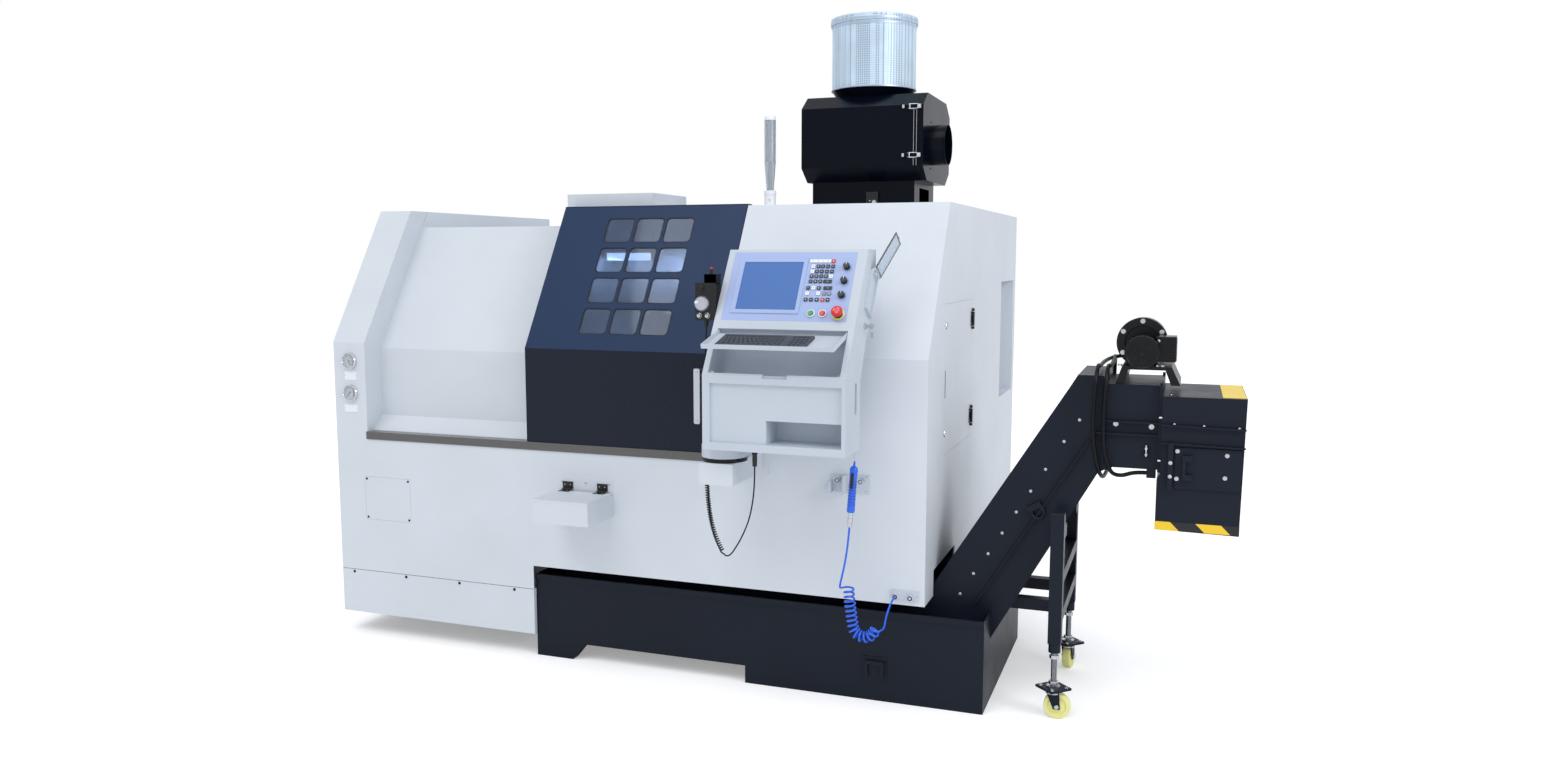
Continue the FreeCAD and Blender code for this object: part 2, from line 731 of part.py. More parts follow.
def headstock():
    """Cast headstock with the spindle's bore."""
    x0, x1 = head_left, head_left + head_length
    a, b = slide_point(-slide_low, way_height), slide_point(slide_high - 10, way_height)
    r = 165
    rim = [a, b, (b[0], b[1] + 60), (spindle_y + r, spindle_z + r + 20),
           (spindle_y - 120, spindle_z + r + 20), (spindle_y - r, spindle_z + 120),
           (spindle_y - r, spindle_z - 130)]
    body = prism_x(rim, x0, x1)
    bore = cyl(journal_radius + bearing_clearance, head_length + 20,
               (x0 - 10, spindle_y, spindle_z), AX)
    return body.cut(bore)


def spindle():
    """Hollow spindle, thick at its rear end, with the chuck body on its nose."""
    r = bore_radius
    nose = spindle_length
    journal0 = head_left - spindle_left
    shaft = turned([(r, 0), (rotor_radius, 0), (rotor_radius, journal0 - 2),
                    (journal_radius, journal0 - 2), (journal_radius, nose), (r, nose)],
                   (spindle_left, spindle_y, spindle_z), AX)
    return group(shaft, chuck())


def jaw_angle(index):
    return 90 + index * 360.0 / jaw_count


def chuck():
    """Power chuck body with a T-slot for each jaw."""
    x0 = spindle_left + spindle_length
    body = turned([(bore_radius, 0), (chuck_radius, 0), (chuck_radius, chuck_length),
                   (bore_radius, chuck_length)], (x0, spindle_y, spindle_z), AX)
    for index in range(jaw_count):
        length, width, height = jaw_size
        slot = box(x0 + chuck_length - 24, x0 + chuck_length + 1, -width / 2 - jaw_clearance,
                   width / 2 + jaw_clearance, jaw_bore - 12, chuck_radius + 5)
        body = body.cut(jaw_turned(slot, index))
    return body


def jaw_turned(shape, index):
    """Turns a shape drawn above the x axis to a jaw's place on the spindle axis."""
    shape = shape.copy()
    shape.rotate(V(0, 0, 0), AX, jaw_angle(index) - 90)
    shape.translate(V(0, spindle_y, spindle_z))
    return shape


def chuck_jaw(index):
    """A stepped jaw with its base in the chuck's slot."""
    x0 = spindle_left + spindle_length + chuck_length
    length, width, height = jaw_size
    base = box(x0 - 24 + jaw_clearance, x0, -width / 2, width / 2,
               jaw_bore, jaw_bore + height)
    top = box(x0, x0 + length, -width / 2, width / 2, jaw_bore, jaw_bore + height * 0.6)
    step = box(x0, x0 + length * 0.5, -width / 2, width / 2,
               jaw_bore + height * 0.5, jaw_bore + height - 4)
    return jaw_turned(fuse(base, top, step), index)


def carriage():
    """Saddle that runs along the bed's guideways."""
    x0, x1 = saddle_left, saddle_left + saddle_length
    h0 = way_height + run_gap
    body = slide_block(x0, x1, -slide_low + 2, slide_high - 2, h0, h0 + saddle_height)
    runners = [slide_block(x0 + 50, x0 + 86, -slide_low + 30, slide_high - 30, h0 + saddle_height,
                           h0 + saddle_height + 14),
               slide_block(x1 - 86, x1 - 50, -slide_low + 30, slide_high - 30, h0 + saddle_height,
                           h0 + saddle_height + 14)]
    return fuse(body, *runners)


def cross_slide():
    """Cross slide with the turret's housing, moving across the slanted bed."""
    x0, x1 = saddle_left + 30, saddle_left + saddle_length - 30
    h0 = way_height + run_gap + saddle_height + 14 + run_gap
    h1 = h0 + cross_height
    plate = slide_block(x0, x1, cross_place - cross_half, cross_place + cross_half, h0, h1)
    housing = slide_block(turret_x() + turret_length + run_gap, x1 - 6,
                          cross_place - turret_housing, cross_place + turret_housing,
                          h1, 2 * turret_rise - h1)
    return fuse(plate, housing)


def turret_x():
    return saddle_left - turret_stand - turret_length


def turret_center():
    """Middle of the turret disc in (y, z)."""
    return slide_point(cross_place, turret_rise)


def turret_disc():
    """Eight-sided tool disc with its stations and tools."""
    y, z = turret_center()
    x0 = turret_x()
    flat = turret_radius / math.cos(math.pi / turret_stations)
    rim = [(y + flat * math.cos(math.radians((k + 0.5) * 360 / turret_stations)),
            z + flat * math.sin(math.radians((k + 0.5) * 360 / turret_stations)))
           for k in range(turret_stations)]
    disc = prism_x(rim, x0, x0 + turret_length)
    tools = []
    for k in range(0, turret_stations, 2):
        tool = box(x0 + 8, x0 + 60, -22, 22, turret_radius - 2, turret_radius + 24)
        tip = box(x0 + 14, x0 + 34, -10, 10, turret_radius + 20, turret_radius + 40)
        both = fuse(tool, tip)
        both.rotate(V(0, 0, 0), AX, k * 360.0 / turret_stations)
        both.translate(V(0, y, z))
        tools.append(both)
    return fuse(disc, *tools)


def tailstock():
    """Tailstock body on the guideways with its centre."""
    x0, x1 = tail_left, tail_left + tail_length
    h0 = way_height + run_gap
    foot = slide_block(x0, x1, -slide_low + 2, slide_high - 2, h0, h0 + 40)
    web = slide_block(x0 + 20, x1 - 10, -90, 90, h0 + 40, slide_offset - 20)
    barrel = cyl(72, tail_length - 10, (x0 + 10, spindle_y, spindle_z), AX)
    centre = turned([(0, 0), (34, 40), (34, 70), (0, 70)], (x0 - 58, spindle_y, spindle_z), AX)
    return fuse(foot, web, barrel, centre)


# ------------------------------------------------------------------- work chamber
def recess_room():
    """Space of the recess panel, its ledge and the low roof, with the seating clearance."""
    ledge_back = door_depth + sheet + 3 * run_gap
    back = recess_depth + sheet + run_gap
    low_roof = case_height - recess_drop
    front = prism_x([(-1, rail_low - 1), (ledge_back, rail_low - 1), (ledge_back, rail_top + 2),
                     (back, rail_top + recess_ledge),
                     (back, bend_height - back * math.tan(lean / 2)),
                     (face_y(case_height, back), case_height), (-1, case_height)],
                    0, recess_end + run_gap)
    over = box(0, recess_step + sheet + run_gap, 0, module_depth,
               low_roof - sheet - run_gap, case_height)
    return fuse(front, over)


def chamber_liner():
    """Folded sheets that close the work chamber and lead chips to the conveyor."""
    x0, x1 = liner_left, liner_right
    top_front = face_y(liner_top, door_depth + 24)
    back_low = slide_point(slide_high + 8)
    front, rear = chip_mouth
    top = box(x0, x1, top_front, liner_rear, liner_top - sheet, liner_top)
    back = box(x0, x1, liner_rear - sheet, liner_rear, back_low[1] + 120, liner_top)
    fold = prism_x([(liner_rear - sheet, back_low[1] + 120), (liner_rear, back_low[1] + 120),
                    (back_low[0] + 22, back_low[1]), (back_low[0] + 18, back_low[1])], x0, x1)
    lip = door_depth + 8
    apron = prism_x([(lip, rail_low), (lip, 740), (front, chip_mouth_top),
                     (front + sheet, chip_mouth_top), (lip + sheet, 740 + 2),
                     (lip + sheet, rail_low)], x0, x1)
    low = slide_point(-slide_low - 6)
    rear_apron = prism_x([(rear, chip_mouth_top), (low[0] - 4, low[1] - 8), (low[0], low[1] - 8),
                          (rear + sheet, chip_mouth_top)], x0, x1)
    rim = [(lip, rail_low), (lip, 740), (front, chip_mouth_top), (rear, chip_mouth_top),
           (low[0], low[1] - 8), low, back_low, (liner_rear, back_low[1] + 120),
           (liner_rear, liner_top), (top_front, liner_top),
           (face_y(bend_height, door_depth + 24), bend_height)]
    hole = cyl(chuck_radius + 8, 20, (x0 - 10, spindle_y, spindle_z), AX)
    seated = recess_room()
    passage = slide_block(x0 - 10, x1 + 10, -slide_low - run_gap, slide_high + run_gap,
                          -run_gap, way_height + run_gap)
    left = prism_x(rim, x0, x0 + sheet).cut(hole).cut(passage)
    right = prism_x(rim, x1 - sheet, x1).cut(passage)
    shell = fuse(top, back, fold, apron, rear_apron, left, right).cut(seated)
    lamp = box(x0 + 220, x0 + 620, liner_rear - sheet - 34, liner_rear - sheet,
               liner_top - 90, liner_top - 40)
    return group(shell, lamp)


# ------------------------------------------------------------------- coolant tank
def coolant_tank():
    """Welded tank with a shallow left part, a deep right part and a pump bay."""
    y0, y1 = tank_front, tank_front + tank_depth
    by1 = y1 + pump_bay_depth
    deep = box(tank_step, tank_right, y0, y1, 0, tank_top)
    shallow = box(left_width, tank_step, y0, y1, tank_shallow, tank_top)
    bay = box(pump_bay_left, tank_right, y1, by1, 0, tank_top)
    foot_w, foot_slant = tank_foot
    foot = prism_y([(left_width, 0), (left_width + foot_w, 0),
                    (left_width + foot_w + foot_slant, tank_shallow),
                    (left_width, tank_shallow)], y0, y1)
    body = fuse(deep, shallow, bay, foot)
    w = tank_wall
    body = body.cut(box(tank_step + w, tank_right - w, y0 + w, y1 - w, w, tank_top + 1))
    body = body.cut(box(left_width + w, tank_step + 2 * w, y0 + w, y1 - w,
                        tank_shallow + w, tank_top + 1))
    body = body.cut(box(pump_bay_left + w, tank_right - w, y1 - 2 * w, by1 - w, w, tank_top - w))
    body = body.cut(box(left_width - 1, left_width + foot_w + foot_slant, y0 + 40, y1 - 40,
                        -1, tank_shallow - w))
    slot = [(tank_right - w - 1, above_climb(tank_right - w - 1)),
            (tank_right + 1, above_climb(tank_right + 1)),
            (tank_right + 1, tank_top + 1), (tank_right - w - 1, tank_top + 1)]
    body = body.cut(prism_y(slot, conv_front - run_gap, conv_front + conv_width + run_gap))
    rim = box(left_width, tank_right, y0 - 6, y0, tank_top - 22, tank_top)
    half = pump_flange / 2
    px, py = case_width - sheet - pump_clear - half, y1 + pump_bay_depth / 2
    pump = fuse(box(px - half, px + half, py - half, py + half, tank_top, tank_top + 10),
                cyl(62, 170, (px, py, tank_top + 10), AZ),
                cyl(67, 30, (px, py, tank_top + 178), AZ),
                box(px - 40, px + 40, py - 96, py - 50, tank_top + 70, tank_top + 130))
    grip = tank_grip()
    return group(fuse(body, rim), pump, grip)


def tank_grip():
    """Folded lifting handle on the front of the tank."""
    x, z, y = tank_grip_x, tank_grip_z, tank_front
    plate = box(x - 46, x + 46, y - 3, y, z - 48, z + 44)
    bow = fuse(box(x - 36, x - 24, y - 15, y - 3, z - 30, z + 30),
               box(x + 24, x + 36, y - 15, y - 3, z - 30, z + 30),
               box(x - 36, x + 36, y - 15, y - 3, z + 18, z + 30))
    return fuse(plate, bow)


# ---------------------------------------------------------------- chip conveyor
def offset_outline(points, distance):
    """The outline in (x, z) moved inward by a distance, as points."""
    wire = Part.makePolygon([V(x, 0, z) for x, z in points + [points[0]]])
    moved = wire.makeOffset2D(-distance, 2, False, False)
    return [(v.Point.x, v.Point.z) for v in moved.OrderedVertexes]


def conveyor_outline():
    return [(conv_left, conv_bottom)] + conv_side + [(conv_left, conv_top)]


def conveyor_trough():
    """Closed sheet trough: level under the bed, then a steep climb to the head."""
    y0, y1 = conv_front, conv_front + conv_width
    rim = conveyor_outline()
    inner = offset_outline(rim, conv_wall)
    trough = prism_y(rim, y0, y1).cut(prism_y(inner, y0 + conv_wall, y1 - conv_wall))
    trough = trough.cut(box(inlet_left, inlet_right, y0 + 30, y1 - 30,
                            conv_top - 2 * conv_wall, conv_top + 1))
    head_x = conv_side[3][0]
    z0, z1 = conv_side[3][1], conv_side[4][1]
    trough = trough.cut(box(head_x - 2 * conv_wall, head_x + 1, y0 + 20, y1 - 20, z0 + 20, z1 - 20))
    flanges = []
    for side in (y0 - 18, y1):
        rise = [(2690, 352), (3092, 1004), (3306, 1004), (3306, 1009), (3089, 1009), (2686, 355)]
        mid = [(3120, 1046), (3306, 1046), (3306, 1051), (3120, 1051)]
        post = [(3115, 900), (3120, 900), (3120, 1202), (3115, 1202)]
        end = [(3296, hood_shoulder + 2), (3306, hood_shoulder + 2), (3306, 1185), (3296, 1185)]
        flanges += [prism_y(p, side, side + 18) for p in (rise, mid, post, end)]
    ex, ey, ez = cable_entry
    entry = box(ex, ex + entry_size, ey - entry_size / 2, ey + entry_size / 2,
                ez - entry_size / 2, conv_side[2][1] + 1)
    return fuse(trough, entry, *flanges)


def conveyor_belt():
    """Endless hinged belt whose side wings run along the trough's walls."""
    y0 = conv_front + conv_wall + run_gap
    y1 = conv_front + conv_width - conv_wall - run_gap
    outer = offset_outline(conveyor_outline(), conv_wall + belt_gap)
    inner = offset_outline(conveyor_outline(), conv_wall + belt_gap + belt_thickness)
    return prism_y(outer, y0, y1).cut(prism_y(inner, y0 - 1, y1 + 1))


def discharge_hood():
    """Hood over the conveyor's head and the chute below it, open at the bottom."""
    y0, y1 = hood_front, hood_front + hood_width
    w = conv_wall
    rim = [(hood_left - 10, chute_bottom), (hood_right - 8, chute_bottom - 4),
           (hood_right, hood_top), (hood_left, hood_top), (hood_left, hood_shoulder),
           (hood_left - 10, hood_shoulder - 20)]
    inner = [(hood_left - 10 + w, chute_bottom - 9), (hood_right - 8 - w, chute_bottom - 9),
             (hood_right - w, hood_top - w), (hood_left + w, hood_top - w),
             (hood_left + w, hood_shoulder), (hood_left - 10 + w, hood_shoulder - 20)]
    hood = prism_y(rim, y0, y1).cut(prism_y(inner, y0 + w, y1 - w))
    hood = hood.cut(box(hood_left - 1, hood_left + w + 1, conv_front + 20,
                        conv_front + conv_width - 20, conv_side[3][1] + 20, hood_top - 20))
    ribs = [prism_y([(hood_left, z), (hood_right, z - 6), (hood_right, z - 1), (hood_left, z + 5)],
                    y0 - 16, y0) for z in hood_rib_heights]
    px, pz, width, height = hood_plate
    plate = box(px, px + width, y0 - 6, y0, pz, pz + height)
    bx, bz, width, length = hood_bar
    feet = [box(bx, bx + width, y0 - 8, y0, z, z + width)
            for z in (bz + 20, bz + length - 20 - width)]
    bar = fuse(box(bx, bx + width, y0 - 24, y0 - 8, bz, bz + length), *feet)
    lx, lz, width, length = hood_lever
    arms = [box(lx + 10, lx + width, y0 - 22, y0 - 14, z, z + 20) for z in (lz, lz + length - 20)]
    lever = fuse(box(lx, lx + 10, y0 - 22, y0 - 6, lz, lz + length), *arms)
    return fuse(hood, *ribs, plate, bar, lever)


def gear_motor():
    """Motor and worm gear on a saddle over the conveyor's head."""
    y0 = motor_front
    top = conv_side[4][1]
    x0, x1 = motor_x - saddle_reach[0], motor_x + saddle_reach[1]
    rise = saddle_rise
    saddle = prism_y([(x0, top), (x1, top), (x1 - 30, top + rise), (x0 + 20, top + rise)],
                     y0 + 20, y0 + 320)
    saddle = saddle.cut(prism_y([(x0 + 30, top - 1), (x1 - 30, top - 1),
                                 (x1 - 50, top + rise - 12), (x0 + 40, top + rise - 12)],
                                y0 + 10, y0 + 330))
    motor = turned([(0, 0), (motor_radius, 0), (motor_radius, fan_cowl), (motor_radius - 4, fan_cowl),
                    (motor_radius - 4, motor_length), (0, motor_length)],
                   (motor_x, y0, motor_z), AY)
    gear = cyl(gear_radius, gear_length, (motor_x - 6, y0 + motor_length, motor_z + 24), AY)
    terminals = box(motor_x + 46, motor_x + 108, y0 + 60, y0 + 150, motor_z - 34, motor_z + 46)
    return fuse(saddle, motor, gear, terminals)


def conveyor_stand():
    """Square-tube leg frame with two threaded jacks on castors."""
    mid = conv_front + conv_width / 2
    t = stand_tube / 2
    x0, x1 = stand_x - t, stand_x + t
    parts = []
    for side in (-1, 1):
        y = mid + side * stand_half
        leg = box(x0, x1, y - t, y + t, stand_bottom, stand_top)
        inner = mid + side * conv_width / 2
        stub = box(x0, x1, min(y, inner), max(y, inner), stand_top - 90, stand_top - 45)
        collar = cyl(21, 34, (stand_x, y, stand_bottom - 34), AZ)
        rod = cyl(jack_radius, stand_bottom - 34 - jack_foot, (stand_x, y, jack_foot), AZ)
        plate = prism_z([(stand_x - 62, y), (stand_x, y - 62), (stand_x + 62, y), (stand_x, y + 62)],
                        jack_foot - 8, jack_foot)
        parts += [leg, stub, collar, rod, plate, caster_fork(side < 0)]
    y0, y1 = mid - stand_half, mid + stand_half
    bars = [box(x0, x1, y0, y1, z, z + stand_bar) for z in stand_bar_heights]
    low, high = stand_bar_heights[0], stand_bar_heights[0] + stand_bar
    seat = [(under_climb(low), low), (x0, low), (x0, high), (under_climb(high), high)]
    braces = [prism_y(seat, y, y + 40) for y in (conv_front + 30, conv_front + conv_width - 70)]
    return fuse(*parts, *bars, *braces)


def under_climb(z):
    """The x of the climbing trough's underside at a height."""
    (xa, za), (xb, zb) = conv_side[0], conv_side[1]
    return xa + (xb - xa) * (z - za) / (zb - za)


def above_climb(x):
    """The height that clears the climbing trough's underside at an x."""
    (xa, za), (xb, zb) = conv_side[0], conv_side[1]
    rise = (zb - za) / (xb - xa)
    return za + (x - xa) * rise - run_gap * math.hypot(1, rise)


def caster_place(front):
    mid = conv_front + conv_width / 2
    return (stand_x, mid + (-stand_half if front else stand_half), jack_foot - 8)


def caster_fork(front):
    """Swivel fork of one castor, its wheel offset behind the swivel axis."""
    x, y, top = caster_place(front)
    half = wheel_width / 2 + 1.0
    trail = caster_trail
    crown = box(-24, 24, -half - 4, half + 4, top - 8, top)
    legs = [prism_y([(-22, top - 8), (22, top - 8), (trail + 12, wheel_radius - 10),
                     (trail - 12, wheel_radius - 10)], low, low + 4)
            for low in (-half - 4, half)]
    pin = cyl(axle_radius, 2 * half + 8, (trail, -half - 4, wheel_radius), AY)
    fork = fuse(crown, *legs, pin)
    if not front:
        fork.rotate(V(0, 0, 0), AZ, caster_turn)
    fork.translate(V(x, y, 0))
    return fork


def caster_wheel(front):
    """Castor wheel with a hub bore that runs on the fork's pin."""
    x, y, top = caster_place(front)
    half = wheel_width / 2
    wheel = turned([(axle_radius + bearing_clearance, -half), (wheel_radius, -half),
                    (wheel_radius, half), (axle_radius + bearing_clearance, half)],
                   (caster_trail, 0, wheel_radius), AY)
    if not front:
        wheel.rotate(V(0, 0, 0), AZ, caster_turn)
    wheel.translate(V(x, y, 0))
    return wheel


# ---------------------------------------------------------------- mist collector
def mist_outline(inset=0.0):
    """Octagonal section in (y, z)."""
    y0, y1 = mist_front + inset, mist_front + mist_depth - inset
    z0, z1 = mist_bottom + inset, mist_bottom + mist_height - inset
    cy, cz = mist_chamfer
    cy, cz = cy - inset * 0.5, cz - inset * 0.5
    return [(y0, z0 + cz), (y0, z1 - cz), (y0 + cy, z1), (y1 - cy, z1), (y1, z1 - cz),
            (y1, z0 + cz), (y1 - cy, z0), (y0 + cy, z0)]


def collector_stand():
    """Folded sheet stand between the roof and the collector."""
    x0, x1 = mist_left + 24, mist_left + mist_length - 20
    y0, y1 = mist_front + mist_chamfer[0], mist_front + mist_depth - mist_chamfer[0]
    frame = box(x0, x1, y0, y1, case_height, mist_bottom)
    frame = frame.cut(box(x0 + sheet, x1 - sheet, y0 + sheet, y1 - sheet,
                          case_height + sheet, mist_bottom - sheet))
    frame = frame.cut(box(x0 + 60, x1 - 60, y0 + 60, y1 - 60, case_height - 1, mist_bottom + 1))
    windows = [box(x0 - 1, x1 + 1, y0 + 90, y1 - 90, case_height + 24, mist_bottom - 24)]
    return frame.cut(group(*windows))


def collector_housing():
    """Collector body, open towards its end cover, with the filter's seat on top."""
    x0, x1 = mist_left, mist_left + mist_length
    body = prism_x(mist_outline(), x0, x1).cut(prism_x(mist_outline(sheet), x0 + sheet, x1 + 1))
    top = mist_bottom + mist_height
    outlet = cyl(drum_radius - 50, 40, (drum_x, drum_y, top - 20), AZ)
    seat = turned([(drum_radius - 50, 0), (drum_radius - 26, 0), (drum_radius, drum_base),
                   (drum_radius - 50, drum_base)], (drum_x, drum_y, top), AZ)
    return fuse(body.cut(outlet), seat)


def collector_cover():
    """Removable end cover with the round inlet collar and two toggle latches."""
    x0 = mist_left + mist_length + run_gap
    x1 = x0 + mist_cover
    pan = prism_x(mist_outline(), x0, x1).cut(prism_x(mist_outline(sheet), x0 - 1, x1 - sheet))
    hole = cyl(collar_radius - collar_wall, 40, (x1 - 20, collar_y, collar_z), AX)
    collar = turned([(collar_radius - collar_wall, 0), (collar_radius, 0),
                     (collar_radius, collar_length), (collar_radius - collar_wall, collar_length)],
                    (x1 - sheet, collar_y, collar_z), AX)
    latches = []
    for z in (mist_bottom + 95, mist_bottom + mist_height - 62):
        latches.append(fuse(box(x0 + 2, x0 + 22, mist_front - 8, mist_front, z - 12, z + 12),
                            box(x0 - 44, x0 + 6, mist_front - 12, mist_front - 5, z - 7, z + 7)))
    return fuse(pan.cut(hole), collar, *latches)


def collector_filter():
    """Filter drum: perforated shell between two rims, with a top lid."""
    z0 = mist_bottom + mist_height + drum_base
    rim = drum_radius + drum_rim
    return turned([(drum_radius - drum_wall, 0), (drum_radius, 0), (drum_radius, drum_height - 26),
                   (rim, drum_height - 26), (rim, drum_height), (0, drum_height),
                   (0, drum_height - sheet), (drum_radius - drum_wall, drum_height - sheet)],
                  (drum_x, drum_y, z0), AZ)


def signal_tower():
    """Slim light column on a tapered foot."""
    r = tower_radius
    return turned([(0, 0), (r + 2, 0), (r + 2, tower_base), (tower_neck, tower_base),
                   (r, tower_base + tower_taper), (r, tower_height), (0, tower_height)],
                  (tower_x, tower_y, case_height), AZ)


# ----------------------------------------------------------------------- pendant
def pendant_outline():
    y_top = pend_front + pend_lean_run
    return [(pend_front, pend_bottom), (pend_front, pend_bend), (y_top, pend_top),
            (y_top + pend_top_depth, pend_top), (y_top + pend_top_depth, pend_top - 75),
            (pend_back, pend_bend - 25), (pend_back, pend_bottom)]


def pendant_housing():
    """Hollow sheet casing with keyboard bay, inset, niche, grip slot and port box."""
    x0, x1 = pend_left, pend_left + pend_width
    w = pend_sheet
    body = prism_x(pendant_outline(), x0, x1)
    inside = prism_x(offset_outline(pendant_outline(), w), x0 + w, x1 - w)
    body = body.cut(inside.cut(pendant_recesses(w))).cut(pendant_recesses(0))
    rest = tray_thickness + run_gap
    stops = [on_pendant(box(x, x + tray_stop, rest, rest + tray_stop, bay_low, bay_low + tray_stop))
             for x in (bay_side, pend_width - bay_side - tray_stop)]
    swivel = cyl(pivot_radius, pivot_rise - run_gap,
                 (pivot_x, pivot_y, pend_bottom - pivot_rise + run_gap), AZ)
    hook = box(gun_x - hook_size, gun_x + hook_size, gun_y - hook_size, gun_y + hook_size,
               gun_top + gun_nozzle, pend_bottom)
    return fuse(body, swivel, port_box(), hook, *stops)


def pendant_recesses(wall):
    """All that is sunk into the casing, each grown by a wall on its hidden sides."""
    x0, x1 = pend_left, pend_left + pend_width
    ox, oz = overlay_low_left
    w = wall
    pocket = box(ox - w, ox + overlay_size[0] + w, -1, overlay_thickness + w,
                 oz - w, oz + overlay_size[1] + w)
    bay = box(bay_side - w, pend_width - bay_side + w, -20, bay_depth + w, bay_low - w, bay_high + w)
    notch = box(notch_span[0] - w, notch_span[1] + w, -20, notch_depth + w, bay_low - 14 - w, bay_low + 1)
    z0 = pend_bottom + inset_margin
    right = x1 - inset_right
    inset = box(x0 + inset_margin - w, right + w, pend_front - 1, pend_front + inset_depth + w,
                z0 - w, z0 + inset_height + w)
    nw, nh, nd = niche_size
    niche = box(right - nw - w, right + w, pend_front - 1, pend_front + nd + w, z0 - w, z0 + nh + w)
    sw, sh = slot_size
    slot = rounded_plate(sw + 2 * w, sh + 2 * w, sw / 2 - 0.5 + w, slot_depth + 5 + w)
    slot.rotate(V(0, 0, 0), AZ, 90)
    slot.translate(V(x1 + 5, slot_place[0] - sw / 2 - w, slot_place[1] - w))
    return group(on_pendant(pocket), on_pendant(bay), on_pendant(notch), inset, niche, slot,
                 *control_bores(w))


def port_box():
    """Frame of the data port on the pendant's right side."""
    w, h, t = port_size
    y, z = port_center
    frame = box(0, t, -w / 2, w / 2, -h / 2, h / 2).cut(box(4, t + 1, -w / 2 + 4, w / 2 - 4,
                                                         -h / 2 + 4, h / 2 - 4))
    pin_x, pin_z, half = flap_pin()
    ears = [box(t - 8, pin_x + flap_barrel, y0, y0 + flap_ear, h / 2, pin_z + flap_barrel)
            for y0 in (half + run_gap, -half - run_gap - flap_ear)]
    frame = fuse(frame, *ears)
    frame.rotate(V(0, 0, 0), AX, -math.degrees(pend_lean))
    frame.translate(V(pend_left + pend_width, y, z))
    return frame


def flap_pin():
    """The flap's hinge in the port frame: its x, its height and half its length."""
    w, h, t = port_size
    return t + run_gap + flap_barrel, h / 2 + flap_rise, w / 2 - 12


def port_flap():
    """Clear flap over the port box, standing open."""
    w, h, t = port_size
    y, z = port_center
    pin_x, pin_z, half = flap_pin()
    x0, x1 = t + run_gap, t + run_gap + flap_thickness
    edge = pin_z - flap_rise - 1.5
    lid = fuse(box(x0, x1, -w / 2, w / 2, -h / 2, edge), box(x0, x1, -half, half, edge, pin_z),
               cyl(flap_barrel, 2 * half, (pin_x, -half, pin_z), AY))
    lid.rotate(V(pin_x, 0, pin_z), AY, -flap_open)
    lid.rotate(V(0, 0, 0), AX, -math.degrees(pend_lean))
    lid.translate(V(pend_left + pend_width, y, z))
    return lid


def pendant_panel():
    """Overlay plate with the raised bezel round the screen."""
    ox, oz = overlay_low_left
    w, h = overlay_size
    plate = box(ox + run_gap, ox + w - run_gap, 0, overlay_thickness, oz + run_gap, oz + h - run_gap)
    (sx, sz), (sw, sh) = screen_low_left, screen_size
    bezel = box(sx - 14, sx + sw + 14, -3, 0, sz - 14, sz + sh + 14)
    opening = box(sx, sx + sw, -4, screen_sunk, sz, sz + sh)
    plate = fuse(plate, bezel).cut(opening)
    return on_pendant(plate).cut(group(*control_bores(0)))


def knob_placed(shape, spot):
    """Stands a shape drawn up the z axis on the overlay at a spot."""
    u, w = spot
    shape.rotate(V(0, 0, 0), AX, 90)
    shape.translate(V(u, 0, w))
    shape.rotate(V(0, 0, 0), AX, -math.degrees(pend_lean))
    shape.translate(V(pend_left, pend_front, pend_bend))
    return shape


def selector_knob(spot):
    """Round selector knob with a raised grip bar."""
    r, h = knob_radius, knob_height
    base = cyl(r, h - 4, (0, 0, run_gap), AZ)
    bar = box(-2.5, 2.5, -r + 1, r - 1, h - 5, h)
    return knob_placed(fuse(base, bar), spot)


def push_button(spot):
    """Round push button; its stem sits in a bore of the overlay and the panel."""
    return knob_placed(cyl(button_radius, button_height + button_depth, (0, 0, -button_depth), AZ),
                       spot)


def emergency_button():
    """Mushroom button on a stem that slides in its bore."""
    r, h = mushroom_radius, mushroom_height
    head = cyl(r, h - mushroom_stand, (0, 0, mushroom_stand), AZ)
    stem = cyl(mushroom_stem, mushroom_stand + button_depth, (0, 0, -button_depth), AZ)
    return knob_placed(fuse(head, stem), emergency_spot)


def control_bores(wall):
    """Bores for the push buttons' stems, each grown by a wall."""
    bores = []
    for spot, radius, travel in ((start_spot, button_radius, button_travel),
                                 (stop_spot, button_radius, button_travel),
                                 (emergency_spot, mushroom_stem, mushroom_travel)):
        depth = button_depth + travel + 1
        bores.append(knob_placed(cyl(radius + bore_gap + wall, depth + wall + 4,
                                     (0, 0, -depth - wall), AZ), spot))
    return bores


def tray_hinge():
    """Place of the tray's hinge axis in (y, z)."""
    s, c = math.sin(pend_lean), math.cos(pend_lean)
    up, sunk = bay_high - tray_hinge_drop, tray_hinge_sunk
    return pend_front + up * s + sunk * c, pend_bend + up * c - sunk * s


def keyboard_tray():
    """Fold-down tray, shown open and sloping slightly down to the front."""
    y, z = tray_hinge()
    x0 = pend_left + (pend_width - tray_width) / 2
    plate = box(x0, x0 + tray_width, -tray_length, 0, -tray_thickness, -tray_thickness + 3)
    rim = box(x0, x0 + tray_width, -tray_length, -tray_length + 3, -tray_thickness, 0)
    cheeks = [box(x, x + 3, -tray_length, 6, -tray_thickness, 0) for x in (x0, x0 + tray_width - 3)]
    pins = [cyl(4, 3 + (pend_width - 2 * bay_side - tray_width) / 2 - run_gap, (x, 0, -6), AX)
            for x in (x0 - (pend_width - 2 * bay_side - tray_width) / 2 + run_gap,
                      x0 + tray_width - 3)]
    tray = fuse(plate, rim, *cheeks, *pins)
    tray.rotate(V(0, 0, -6), AX, tray_droop)
    tray.translate(V(0, y, z + 6))
    return tray


